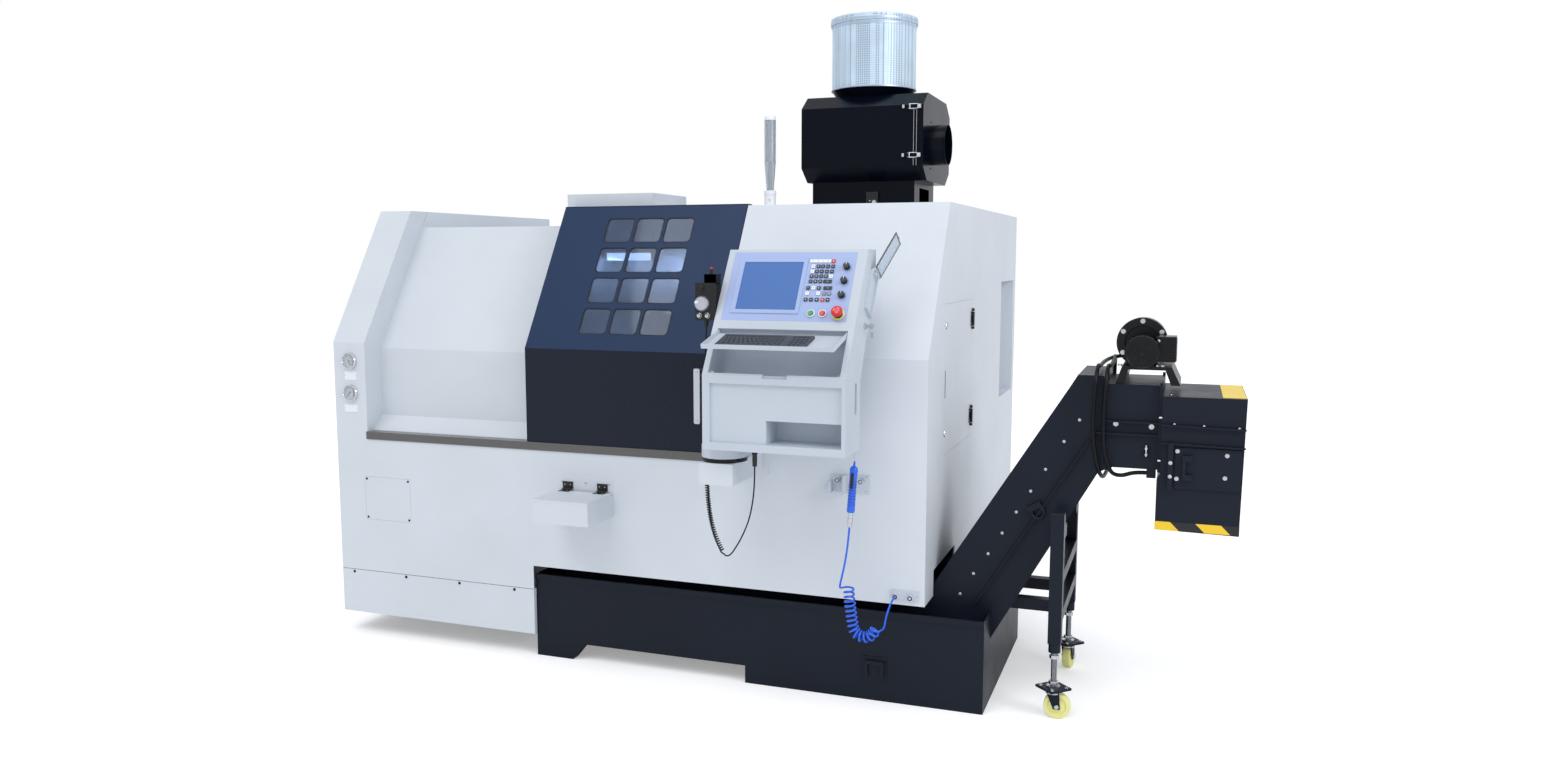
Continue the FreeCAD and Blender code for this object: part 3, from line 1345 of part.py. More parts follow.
def keyboard():
    """Flat keyboard lying in the tray."""
    y, z = tray_hinge()
    w, d, h = keyboard_size
    x0 = pend_left + (pend_width - tray_width) / 2 + 40
    base = -tray_thickness + 3
    board = prism_x([(-tray_length + 8, base), (-tray_length + 8, base + h - 3),
                     (-tray_length + 8 + d, base + h), (-tray_length + 8 + d, base)], x0, x0 + w)
    board.rotate(V(0, 0, -6), AX, tray_droop)
    board.translate(V(0, y, z + 6))
    return board


def handwheel_unit():
    """Body of the hand-wheel unit on the pendant's left side."""
    x1 = pend_left
    x0 = x1 - wheel_unit_width
    y0, y1 = wheel_unit_front, wheel_unit_front + wheel_unit_depth
    z0, z1 = wheel_unit_low, wheel_unit_low + wheel_unit_height
    body = box(x0, x1, y0, y1, z0, z1)
    shoulder = box(x0 + 30, x1, y0 + 8, y1, z1, z1 + 30)
    knobs = [cyl(8, 10, (x0 + dx, y0, z0 + 16), AY.negative()) for dx in (16, 46)]
    gland = cyl(plug_radius, gland_length, (x0 + 30, (y0 + y1) / 2, z0 - gland_length), AZ)
    plug = cyl(plug_radius, plug_length, (*plug_place, pend_bottom - plug_length), AZ)
    return group(fuse(body, shoulder, *knobs, gland), plug)


def handwheel_dial():
    """Scale wheel with a small crank knob."""
    x = pend_left - wheel_unit_width + 27
    y = wheel_unit_front - run_gap
    wheel = cyl(dial_radius, dial_height, (x, y, dial_z), AY.negative())
    crank = box(x - 19, x - 10, y - dial_height - 14, y - dial_height, dial_z, dial_z + 9)
    return fuse(wheel, crank)


def key_switch():
    """Key in the lock on the pendant's right side."""
    y, z = lock_spot
    x = pend_left + pend_width + run_gap
    lock = cyl(9, 10, (x, y, z), AX)
    key = box(x + 10, x + 32, y - 1.5, y + 1.5, z - 8, z + 8)
    return fuse(lock, key)


def pendant_bracket():
    """White bracket box on the front face that carries the pendant's swivel."""
    x0 = pivot_x - bracket_width / 2
    x1 = x0 + bracket_width
    z1 = pend_bottom - pivot_rise
    z0 = z1 - bracket_height
    arm = box(x0 + 14, x1 - 14, bracket_front + 210, 0, z0 + 4, z1 - 4)
    head = box(x0, x1, bracket_front, bracket_front + 214, z0, z1)
    plate = box(x0 - 10, x1 + 10, -6, 0, z0 - 16, z1 + 16)
    return fuse(head, arm, plate)


# ------------------------------------------------------------- front fittings
def pressure_gauges():
    """Two dial gauges let into the left strip."""
    gauges = []
    for x, z in gauge_places:
        r = gauge_radius
        gauges.append(turned([(0, 0), (r, 0), (r, 12), (r - 5, 12), (r - 5, 7), (0, 7)],
                             (x, 0, z), AY.negative()))
    return group(*gauges)


def service_box():
    """Small open box with a back plate on the lower front."""
    x0, x1 = box_left, box_left + box_width
    z0, z1 = box_bottom, box_bottom + box_height
    body = box(x0, x1, -box_depth, 0, z0, z1 - lid_thickness)
    body = body.cut(box(x0 + box_wall, x1 - box_wall, -box_depth + box_wall, -box_wall,
                        z0 + box_wall, z1 + 1))
    plate = box(x0, x1, -box_wall, 0, z0, back_plate_top)
    ears = [box(x, x + 44, -box_wall - 3, -box_wall, z1 + 8, z1 + 34) for x in hinge_lefts()]
    return fuse(body, plate, *ears)


def hinge_lefts():
    return (box_left + 18, box_left + box_width - 66)


def service_lid():
    """Hinged lid of the service box."""
    x0, x1 = box_left, box_left + box_width
    z1 = box_bottom + box_height
    z0 = z1 - lid_thickness + run_gap
    lid = box(x0, x1, -box_depth, -box_wall - 12, z0, z1)
    lid = lid.cut(box(x0 + box_wall, x1 - box_wall, -box_depth + box_wall, -box_wall - 12 - box_wall,
                      z0 - 1, z1 - box_wall))
    leaves = [fuse(box(x, x + 44, -44, -box_wall - 10, z1, z1 + 3),
                   cyl(4, 44, (x, -box_wall - 8, z1 + 4), AX)) for x in hinge_lefts()]
    return fuse(lid, *leaves)


def air_fittings():
    """Air-gun holder on the front and the plate with two air sockets."""
    x, z = holder_x, holder_z
    plate = box(x - 72, x + 72, -4, 0, z - 34, z + 32)
    left = box(x - 72, x - 66, -40, -4, z - 34, z + 10)
    mid = box(x - 20, x - 14, -40, -4, z - 34, z + 32)
    knobs = [cyl(8, 26, (x + dx, -4, z + 14), AY.negative()) for dx in (-42, 44)]
    px, pz = port_plate_x, port_plate_z
    port = box(px - 52, px + 50, -plate_thickness, 0, pz - 18, pz + 18)
    sockets = [cyl(socket_radius, socket_length, (px + dx, -plate_thickness, pz + socket_drop),
                   AY.negative()) for dx in socket_spots]
    return group(fuse(plate, left, mid, *knobs), fuse(port, *sockets))


def air_gun():
    """Slim air gun hanging from the pendant's hook, nozzle up, coupling below."""
    low = -gun_nozzle - gun_length
    gun = turned([(0, low - coupling_length), (coupling_radius, low - coupling_length),
                  (coupling_radius, low), (gun_radius, low), (gun_radius, -gun_nozzle),
                  (4, 0), (0, 0)], (0, 0, 0), AZ)
    gun.rotate(V(0, 0, 0), AY, gun_tilt)
    gun.translate(V(gun_x, gun_y, gun_top + gun_nozzle - 1))
    return gun


def gun_end():
    """Lower end of the air gun's coupling."""
    reach = gun_nozzle + gun_length + coupling_length + run_gap
    tilt = math.radians(gun_tilt)
    return (gun_x - reach * math.sin(tilt), gun_y,
            gun_top + gun_nozzle - 1 - reach * math.cos(tilt))


def lubrication_unit():
    """Lubricator with a clear bowl in the service pocket."""
    x = case_width - pocket_depth
    y = module_depth + pocket_front + 90
    plate = box(x, x + 6, y - 46, y + 46, 980, 1210)
    block = box(x + 6, x + 72, y - 38, y + 38, 1120, 1196)
    bowl = turned([(0, 0), (12, 0), (12, 16), (34, 16), (34, 134), (0, 134)], (x + 44, y, 986), AZ)
    return fuse(plate, block, bowl)


# ---------------------------------------------------------------- cords and hoses
def route_wire(points):
    """Straight runs joined by tangent arcs, each as large as its two runs allow."""
    p = [V(*q) for q in points]
    edges = []
    last = p[0]
    radii = []
    for a, b, c in zip(p, p[1:], p[2:]):
        u, w = (a - b), (c - b)
        run = min(u.Length, w.Length)
        u.normalize()
        w.normalize()
        turn = math.pi - u.getAngle(w)
        cut = 0.45 * run
        radius = cut / math.tan(turn / 2)
        start, end = b + u * cut, b + w * cut
        bisector = u + w
        bisector.normalize()
        middle = b + bisector * (radius / math.cos(turn / 2) - radius)
        edges.append(Part.LineSegment(last, start).toShape())
        edges.append(Part.Arc(start, middle, end).toShape())
        last = end
        radii.append(radius)
    edges.append(Part.LineSegment(last, p[-1]).toShape())
    return Part.Wire(edges), radii


def ring_at(start, heading, diameter, sides):
    """A tube's section, a regular polygon square to the heading."""
    first = heading.cross(AZ)
    if first.Length < 0.1 * heading.Length:
        first = heading.cross(AX)
    first.normalize()
    second = heading.cross(first)
    second.normalize()
    corners = []
    for k in range(sides):
        angle = 2 * math.pi * (k + 0.5) / sides
        side = first * math.cos(angle) + second * math.sin(angle)
        corners.append(start + side * (diameter / 2))
    return Part.makePolygon(corners + [corners[0]])


def tube(name, points, diameter, sides):
    """A tube along a route of straight runs and tangent arcs."""
    wire, radii = route_wire(points)
    start = V(*points[0])
    ring = ring_at(start, V(*points[1]) - start, diameter, sides)
    solid = wire.makePipeShell([ring], True, False)
    section = Part.Face(ring).Area
    print(name, "length %.0f" % wire.Length, "least radius %.0f" % min(radii),
          "volume ratio %.4f" % (solid.Volume / (section * wire.Length)))
    return solid


def helix_points(path, radius, turns):
    """Points and headings of a helix round a path, one for each half turn.

    The helix starts to the left of the path, seen from the front.
    """
    rate = 2 * math.pi * turns / path.Length
    found = []
    frame = AY.negative()
    for k in range(2 * turns + 1):
        point, tangent = path_at(path, path.Length * k / (2 * turns))
        frame = frame - tangent * frame.dot(tangent)
        frame.normalize()
        sign = 1 if k % 2 == 0 else -1
        out = tangent.cross(frame) * sign
        heading = tangent - frame * (sign * radius * rate)
        heading.normalize()
        found.append((point + out * radius, heading))
    return found


def path_at(wire, s):
    """Point and direction at a length along a wire."""
    for edge in wire.OrderedEdges:
        if s <= edge.Length or edge.isSame(wire.OrderedEdges[-1]):
            t = edge.getParameterByLength(min(s, edge.Length))
            return edge.valueAt(t), edge.tangentAt(t)
        s -= edge.Length
    return None


def biarc(a, ta, b, tb):
    """Two arcs that leave one point along its direction and meet the next one's."""
    v = b - a
    t = ta + tb
    k = 2 * (1 - ta.dot(tb))
    vt = v.dot(t)
    d = (-vt + math.sqrt(vt * vt + k * v.dot(v))) / k
    joint = (a + b + (ta - tb) * d) * 0.5
    return [arc_from(a, ta, joint), arc_from(joint, None, b, tb)]


def arc_from(a, ta, b, tb=None):
    """The arc between two points with a known direction at one end."""
    chord = b - a
    if ta is None:
        back = arc_from(b, tb.negative(), a)
        return Part.Arc(back.EndPoint, back.value((back.FirstParameter + back.LastParameter) / 2),
                        back.StartPoint)
    along = chord.Length / 2
    unit = V(chord)
    unit.normalize()
    cos_half = ta.dot(unit)
    normal = ta - unit * cos_half
    sin_half = normal.Length
    normal.normalize()
    sag = along * (1 - cos_half) / sin_half
    return Part.Arc(a, (a + b) * 0.5 + normal * sag, b)


def coil_ends(points, wind_radius, turns, diameter):
    """Where a coil's straight ends start and stop, each with its direction."""
    stations = helix_points(route_wire(points)[0], wind_radius, turns)
    (first, heading), (last, leaving) = stations[0], stations[-1]
    return (first - heading * diameter, heading), (last + leaving * diameter, leaving)


def coiled_tube(name, points, wind_radius, turns, diameter, sides):
    """One unbroken tube wound round a route, on two arcs for each half turn.

    Its section is a regular polygon, and both ends run straight for one diameter.
    """
    stations = helix_points(route_wire(points)[0], wind_radius, turns)
    (start, heading), (end, leaving) = coil_ends(points, wind_radius, turns, diameter)
    edges = [Part.LineSegment(start, stations[0][0]).toShape()]
    for (a, ta), (b, tb) in zip(stations, stations[1:]):
        edges += [arc.toShape() for arc in biarc(a, ta, b, tb)]
    edges.append(Part.LineSegment(stations[-1][0], end).toShape())
    wire = Part.Wire(edges)
    solid = wire.makePipeShell([ring_at(start, heading, diameter, sides)], True, False)
    print(name, "tube length %.0f" % wire.Length, "turns", turns,
          "least self gap %.2f" % self_gap(wire, turns, diameter))
    return solid


def self_gap(wire, turns, diameter):
    """Least distance between a tube's turns, measured on points along it."""
    per_turn = 40
    points = wire.discretize(Number=per_turn * turns)
    least = wire.Length
    for i, point in enumerate(points):
        for other in points[i + per_turn // 2:i + per_turn * 2]:
            least = min(least, point.distanceToPoint(other))
    return least - diameter


# The hand-wheel's cord: down behind the pendant, a curly stretch, and up to its plug.
cord_down = [(pend_left - wheel_unit_width + 30, wheel_unit_front + wheel_unit_depth / 2,
              wheel_unit_low - gland_length),
             (1809, -236, 1325), (1804, -234, 1270), (1798, -227, 1210), (1793, -217, 1150),
             (1790, -208, 1090), (1789, -203, 1030), (1790, -201, 970), (1790.5, -200.5, 910),
             (1793, -202, 850)]
curl_route = [(1793, -202, 850), (1794.5, -202.5, 790), (1801, -207, 735), (1812, -214, 685),
              (1828, -224, 642), (1848, -235, 606), (1870, -246, 578)]
cord_up = [(1870, -246, 578), (1878, -250, 568), (1890, -255, 563), (1903, -259, 569),
           (1916, -263, 582), (1930, -268, 602), (1946, -272, 627), (1962, -277, 656),
           (1978, -281, 690), (1991, -284, 730), (2001, -287, 778), (2007, -288, 834),
           (plug_place[0], plug_place[1], pend_bottom - plug_length)]

# The air hose: from the gun's coupling to the coil, the coil, and on to the socket.
coil_route = [(2307, -160, 467), (2310, -160, 428), (2314.5, -160, 388), (2320, -160, 348.5),
              (2328, -160, 309.6), (2361, -160, 292), (2396, -160, 304.8), (2406, -160, 331)]
hose_down = [(2320, -216, 645), (2314, -216, 598), (2306, -215, 552), (2296, -214, 510),
             (2289, -208, 483)]
hose_up = [(2426, -106, 350), (2428, -84, 370), (2431, -63, 390), (2437, -43, 406)]

# The motor's cable: out of the terminal box, twice round the trough, into its entry.
cable_route = [(motor_x + 92, motor_front + 150 + run_gap, motor_z + 6), (3325, 345, 1290),
               (3327, 400, 1282), (3322, 458, 1268), (3286, 506, 1256), (3228, 526, 1250),
               (3170, 524, 1246), (3122, 500, 1240), (3098, 440, 1230), (3093, 370, 1226),
               (3092, 300, 1225), (3093, 228, 1229), (3093, 158, 1240), (3090, 112, 1200),
               (3087, 105, 1138), (3085, 103, 1060), (3088, 106, 982), (3098, 112, 920),
               (3110, 135, 868), (3118, 190, 845), (3120, 265, 841), (3121, 345, 839),
               (3120, 425, 837), (3119, 500, 838), (3118, 562, 872), (3119, 580, 940),
               (3121, 583, 1030), (3123, 584, 1115), (3125, 578, 1190), (3127, 538, 1246),
               (3128, 470, 1236), (3128, 400, 1228), (3127, 320, 1226), (3127, 240, 1229),
               (3126, 158, 1240), (3124, 112, 1200), (3121, 105, 1135), (3119, 102, 1060),
               (3121, 104, 990), (3128, 108, 938), (3138, 118, 900), (3152, 138, 868),
               (3184, 160, 860), (3222, 175, 873),
               (cable_entry[0] - run_gap, cable_entry[1], cable_entry[2])]


def hose_socket():
    """Mouth of the air socket that the hose goes into."""
    return (port_plate_x + socket_spots[0], -plate_thickness - socket_length - run_gap,
            port_plate_z + socket_drop)


def air_hose():
    """The two free stretches of the air hose, before and after its coil."""
    (start, heading), (end, leaving) = coil_ends(coil_route, hose_wind, hose_turns, hose_diameter)
    down = [gun_end()] + hose_down + [tuple(start - heading * coil_lead), tuple(start)]
    up = [tuple(end), tuple(end + leaving * coil_lead)] + hose_up + [hose_socket()]
    return group(tube("air hose from gun", down, hose_diameter, cord_sides),
                 tube("air hose to socket", up, hose_diameter, cord_sides))


def air_hose_coil():
    return coiled_tube("air hose coil", coil_route, hose_wind, hose_turns, hose_diameter,
                       coil_sides)


def handwheel_cord():
    return group(tube("cord to curls", cord_down, cord_diameter, cord_sides),
                 tube("cord to plug", cord_up, cord_diameter, cord_sides))


def handwheel_cord_coil():
    return tube("curly cord", curl_route, curl_diameter, cable_sides)


def conveyor_cable():
    return tube("conveyor cable", cable_route, cable_diameter, cable_sides)


# -------------------------------------------------------------------- all pieces
def all_shapes():
    nodes = {
        "front_cover": front_cover(), "left_cover": left_cover(), "roof_cover": roof_cover(),
        "right_side_cover": right_side_cover(), "side_door": side_door(),
        "electrical_cabinet": group(electrical_cabinet(), cabinet_door()),
        "door_rail": door_rail(), "front_door": front_door(), "door_window": door_window(),
        "door_handle": door_handle(), "machine_bed": machine_bed(), "headstock": headstock(),
        "spindle": spindle(), "carriage": carriage(),
        "cross_slide": cross_slide(), "turret_disc": turret_disc(), "tailstock": tailstock(),
        "chamber_liner": chamber_liner(), "coolant_tank": coolant_tank(),
        "conveyor_trough": conveyor_trough(), "conveyor_belt": conveyor_belt(),
        "discharge_hood": discharge_hood(), "gear_motor": gear_motor(),
        "conveyor_stand": conveyor_stand(), "collector_stand": collector_stand(),
        "collector_housing": collector_housing(), "collector_cover": collector_cover(),
        "collector_filter": collector_filter(), "signal_tower": signal_tower(),
        "pendant_housing": pendant_housing(), "port_flap": port_flap(),
        "pendant_panel": pendant_panel(), "mode_knob": selector_knob(knob_spots[0]),
        "feed_knob": selector_knob(knob_spots[1]), "speed_knob": selector_knob(knob_spots[2]),
        "start_button": push_button(start_spot), "stop_button": push_button(stop_spot),
        "emergency_button": emergency_button(), "keyboard_tray": keyboard_tray(),
        "keyboard": keyboard(), "handwheel_unit": handwheel_unit(),
        "handwheel_dial": handwheel_dial(), "key_switch": key_switch(),
        "pendant_bracket": pendant_bracket(), "pressure_gauges": pressure_gauges(),
        "service_box": service_box(), "service_lid": service_lid(),
        "air_fittings": air_fittings(), "air_gun": air_gun(),
        "lubrication_unit": lubrication_unit(), "handwheel_cord": handwheel_cord(),
        "handwheel_cord_coil": handwheel_cord_coil(), "air_hose": air_hose(),
        "air_hose_coil": air_hose_coil(), "conveyor_cable": conveyor_cable(),
    }
    for index in range(jaw_count):
        nodes["chuck_jaw_%d" % (index + 1)] = chuck_jaw(index)
    for name, front in (("front", True), ("rear", False)):
        nodes["caster_wheel_" + name] = caster_wheel(front)
    return nodes


def footprint(nodes):
    """Middle of the footprint of everything but the cords."""
    whole = FreeCAD.BoundBox()
    for name, shape in nodes.items():
        if name not in cord_nodes:
            whole.add(shape.optimalBoundingBox(False))
    return V(-(whole.XMin + whole.XMax) / 2, -(whole.YMin + whole.YMax) / 2, -whole.ZMin)


def main():
    os.makedirs("parts", exist_ok=True)
    nodes = all_shapes()
    shift = footprint(nodes)
    print("shift", shift)
    for name, shape in nodes.items():
        solids = shape.Solids
        good = shape.isValid() and all(s.Volume > 0 for s in solids)
        print("%-20s solids %2d  %s" % (name, len(solids), "" if good else "CHECK"))
        placed = group(*solids) if len(solids) > 1 else solids[0].copy()
        placed.translate(shift)
        placed.exportStep("parts/%s.step" % name)
    print(len(nodes), "nodes")


main()
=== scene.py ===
import json
import math

import bmesh
import bpy
from bpy.props import FloatProperty, FloatVectorProperty, IntProperty, PointerProperty
from mathutils import Matrix, Vector


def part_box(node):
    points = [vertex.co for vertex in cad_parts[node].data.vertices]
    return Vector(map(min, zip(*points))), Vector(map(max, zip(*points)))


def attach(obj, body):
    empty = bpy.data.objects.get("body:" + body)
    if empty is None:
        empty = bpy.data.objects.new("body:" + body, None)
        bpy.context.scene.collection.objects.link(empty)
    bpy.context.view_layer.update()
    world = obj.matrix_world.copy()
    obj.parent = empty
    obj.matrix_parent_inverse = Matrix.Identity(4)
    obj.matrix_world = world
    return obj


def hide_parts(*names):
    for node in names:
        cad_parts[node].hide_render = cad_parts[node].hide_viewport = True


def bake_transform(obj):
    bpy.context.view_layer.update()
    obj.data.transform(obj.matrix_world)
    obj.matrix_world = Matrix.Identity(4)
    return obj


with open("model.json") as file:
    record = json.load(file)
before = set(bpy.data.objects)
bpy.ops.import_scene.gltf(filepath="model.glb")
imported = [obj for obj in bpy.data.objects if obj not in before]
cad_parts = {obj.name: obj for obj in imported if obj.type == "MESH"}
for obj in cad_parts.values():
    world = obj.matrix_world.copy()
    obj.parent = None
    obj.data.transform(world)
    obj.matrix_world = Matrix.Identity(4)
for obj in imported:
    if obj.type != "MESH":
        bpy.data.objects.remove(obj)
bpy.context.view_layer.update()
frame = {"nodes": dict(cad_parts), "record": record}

bl_info = {
    "name": "Turning Lathe Dressing",
    "version": (1, 0, 0),
    "blender": (4, 5, 0),
    "location": "View3D > Sidebar > Lathe",
    "description": "Finishes, small parts, cords and stage of a slant-bed turning lathe",
    "category": "Object",
}

NODES = frame["nodes"]

# All places below are millimetres from the machine's corner: x from the left end face,
# y from the front face into the machine, z from the floor. The corner comes from the frame.
CORNER = Vector((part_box("left_cover")[0][0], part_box("front_cover")[0][1], 0.0))
MM = 0.001

CASE_WIDTH = 2540.0
CASE_HEIGHT = 1806.0
BEND = 1250.0                       # height where the front starts to lean back
LEAN = math.atan2(338.0, CASE_HEIGHT - BEND)
PEND_PLACE = (1854.0, -380.0, 1215.0)
PEND_RIGHT = PEND_PLACE[0] + 500.0
PEND_LEAN = math.atan2(260.0, 415.0)
SPINDLE = (480.0, 1060.0)
TRAY_DROOP = math.radians(14.0)


def show(obj):
    """Puts an object into the scene."""
    bpy.context.scene.collection.objects.link(obj)


def at(x, y, z):
    """A place in the machine, in millimetres, as a point of the row frame."""
    return CORNER + Vector((x, y, z)) * MM


def box_of(node_name):
    """Lowest and highest corner of a solid at rest, in the machine's millimetres."""
    return [(Vector(corner) - CORNER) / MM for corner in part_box(node_name)]


def leaning(place, angle):
    """Matrix of a face that leans back: x along it, y into it, z up it."""
    return Matrix.Translation(Vector(place)) @ Matrix.Rotation(-angle, 4, 'X')


FRONT = leaning((0.0, 0.0, BEND), LEAN)
PENDANT = leaning(PEND_PLACE, PEND_LEAN)
TRAY_PIN = PENDANT @ Vector((-PEND_PLACE[0], 6.0, 166.0))       # on the tray's axis, at x = 0
TRAY = Matrix.Translation(TRAY_PIN) @ Matrix.Rotation(TRAY_DROOP, 4, 'X')

# Ways in which a fitting stands off its face.
FORWARD, BACKWARD = (0.0, -1.0, 0.0), (0.0, 1.0, 0.0)
RIGHTWARD, LEFTWARD = (1.0, 0.0, 0.0), (-1.0, 0.0, 0.0)
UPWARD, DOWNWARD = (0.0, 0.0, 1.0), (0.0, 0.0, -1.0)


def facing(place, outward):
    """Matrix whose z axis points outward from a place; its y axis is as near up as it can be."""
    z = Vector(outward).normalized()
    x = Vector(UPWARD).cross(z)
    if x.length < 0.01:
        x = Vector(RIGHTWARD)
    x.normalize()
    y = z.cross(x)
    turn = Matrix((x, y, z)).transposed().to_4x4()
    return Matrix.Translation(Vector(place)) @ turn


def spun(place, degrees):
    """A place turned about its own z axis."""
    return place @ Matrix.Rotation(math.radians(degrees), 4, 'Z')


def circle(radius, count, start=0.0):
    """Points (x, y) spaced evenly round a circle; the first lies at start degrees."""
    angles = [math.radians(start + 360.0 * k / count) for k in range(count)]
    return [(radius * math.cos(a), radius * math.sin(a)) for a in angles]


def arc_on(face, radius, lift, degrees):
    """Places on an arc at a height over a face, one for each angle."""
    angles = [math.radians(a) for a in degrees]
    return [face @ Vector((radius * math.cos(a), radius * math.sin(a), lift)) for a in angles]


# ------------------------------------------------------------------ mesh building
CREASE = 0.6                # edges with more than this between their faces, in radians, are crisp
NO_CREASE = 9.0             # with this a turned piece stays smooth all over


class Piece:
    """One object under construction: a bmesh in millimetres and a list of finishes."""

    def __init__(self, name):
        self.name = name
        self.mesh = bmesh.new()
        self.finishes = []

    def index_of(self, finish):
        """The finish's place in the list, which grows by a new one."""
        if finish not in self.finishes:
            self.finishes.append(finish)
        return self.finishes.index(finish)

    def add(self, verts, faces, finish, place=None, bevel=0.0, segments=1):
        """Points and flat faces in one finish; crisp edges are rounded by bevel."""
        made = [self.mesh.verts.new(v) for v in verts]
        index = self.index_of(finish)
        flats = []
        for face in faces:
            f = self.mesh.faces.new([made[i] for i in face])
            f.material_index = index
            flats.append(f)
        if bevel > 0:
            edges = {e for f in flats for e in f.edges}
            sharp = [e for e in edges if len(e.link_faces) == 2 and e.calc_face_angle(0) > CREASE]
            result = bmesh.ops.bevel(self.mesh, geom=sharp, offset=bevel, segments=segments,
                                     profile=0.5, affect='EDGES', clamp_overlap=True)
            for f in result["faces"]:
                f.material_index = index
                f.smooth = True
            made = list({v for f in result["faces"] for v in f.verts}
                        | {v for v in made if v.is_valid})
        if place is not None:
            bmesh.ops.transform(self.mesh, matrix=place, verts=made)
        return made

    def block(self, x0, x1, y0, y1, z0, z1, finish, bevel=0.8, place=None, segments=2):
        """A block with rounded edges."""
        v = [(x, y, z) for z in (z0, z1) for y in (y0, y1) for x in (x0, x1)]
        f = [(0, 2, 3, 1), (4, 5, 7, 6), (0, 1, 5, 4), (2, 6, 7, 3), (0, 4, 6, 2), (1, 3, 7, 5)]
        return self.add(v, f, finish, place, bevel, segments)

    def prism(self, outline, h0, h1, finish, bevel=0.6, place=None, segments=2):
        """An outline in (x, y) lifted from h0 to h1 along z."""
        n = len(outline)
        area = sum(a[0] * b[1] - b[0] * a[1] for a, b in zip(outline, outline[1:] + outline[:1]))
        if area < 0:
            outline = outline[::-1]
        v = [(x, y, h0) for x, y in outline] + [(x, y, h1) for x, y in outline]
        f = [tuple(range(n))[::-1], tuple(range(n, 2 * n))]
        f += [(i, (i + 1) % n, n + (i + 1) % n, n + i) for i in range(n)]
        return self.add(v, f, finish, place, bevel, segments)

    def turn(self, profile, finish, place=None, segments=32, sharp=0.5):
        """A profile of (radius, height) pairs turned about z; corners stay crisp."""
        index = self.index_of(finish)
        rings, made = [], []
        for r, h in profile:
            if r <= 0:
                ring = [self.mesh.verts.new((0, 0, h))] * segments
                made.append(ring[0])
            else:
                ring = [self.mesh.verts.new((x, y, h)) for x, y in circle(r, segments)]
                made += ring
            rings.append(ring)
        for low, high in zip(rings, rings[1:]):
            for k in range(segments):
                j = (k + 1) % segments
                corners = []
                for v in (low[k], low[j], high[j], high[k]):
                    if v not in corners:
                        corners.append(v)
                if len(corners) > 2:
                    f = self.mesh.faces.new(corners)
                    f.material_index = index
                    f.smooth = True
        for a, b, c in zip(profile, profile[1:], profile[2:]):
            one = math.atan2(b[1] - a[1], b[0] - a[0])
            two = math.atan2(c[1] - b[1], c[0] - b[0])
            if abs(math.remainder(two - one, 2 * math.pi)) > sharp and b[0] > 0:
                ring = rings[profile.index(b)]
                for k in range(segments):
                    e = self.mesh.edges.get((ring[k], ring[(k + 1) % segments]))
                    if e:
                        e.smooth = False
        if place is not None:
            bmesh.ops.transform(self.mesh, matrix=place, verts=made)
        return made

    def rod(self, start, end, radius, finish, segments=16):
        """A round bar between two places, with softened ends."""
        axis = Vector(end) - Vector(start)
        length = axis.length
        soft = min(radius * 0.2, length * 0.2)
        profile = [(0, 0), (radius - soft, 0), (radius, soft), (radius, length - soft),
                   (radius - soft, length), (0, length)]
        return self.turn(profile, finish, facing(start, axis), segments)

    def sweep(self, path, radius, finish, segments=10, closed=False):
        """A round tube along points, with flat ends."""
        index = self.index_of(finish)
        points = [Vector(p) for p in path]
        count = len(points)
        side = None
        rings = []
        for i, p in enumerate(points):
            if closed:
                ahead, behind = points[(i + 1) % count], points[i - 1]
            else:
                ahead, behind = points[min(i + 1, count - 1)], points[max(i - 1, 0)]
            tangent = (ahead - behind).normalized()
            if side is None:
                side = tangent.orthogonal().normalized()
            side = (side - tangent * side.dot(tangent)).normalized()
            other = tangent.cross(side)
            rings.append([self.mesh.verts.new(p + side * a + other * b)
                          for a, b in circle(radius, segments)])
        pairs = list(zip(rings, rings[1:])) + ([(rings[-1], rings[0])] if closed else [])
        for low, high in pairs:
            for k in range(segments):
                j = (k + 1) % segments
                f = self.mesh.faces.new((low[k], low[j], high[j], high[k]))
                f.material_index = index
                f.smooth = True
        if not closed:
            for ring, flip in ((rings[0], True), (rings[-1], False)):
                f = self.mesh.faces.new(ring[::-1] if flip else ring)
                f.material_index = index
        return [v for ring in rings for v in ring]

    def bolt(self, place, outward, radius, finish, washer=True, kind="hex"):
        """A bolt head on its washer."""
        seat = facing(place, outward)
        h = radius * 0.65
        base = 0.0
        if washer:
            t = radius * 0.22
            self.turn([(0, 0), (radius * 1.35, 0), (radius * 1.45, t * 0.4), (radius * 1.35, t), (0, t)],
                      finish, seat, 20)
            base = t
        if kind == "hex":
            self.prism(circle(radius, 6), base * 0.5, base + h, finish, radius * 0.12, seat, 1)
        elif kind == "socket":
            self.turn([(0, base), (radius, base), (radius, base + h), (radius * 0.86, base + h * 1.15),
                       (radius * 0.5, base + h * 1.15), (radius * 0.5, base + h * 0.5),
                       (0, base + h * 0.5)], finish, seat, 20)
        else:
            self.turn([(0, base), (radius, base), (radius * 0.92, base + h * 0.45),
                       (radius * 0.6, base + h * 0.75), (0, base + h * 0.85)], finish, seat, 18)
            self.block(-radius * 0.6, radius * 0.6, -radius * 0.09, radius * 0.09,
                       base + h * 0.72, base + h * 0.95, "slot_shadow", 0, seat)

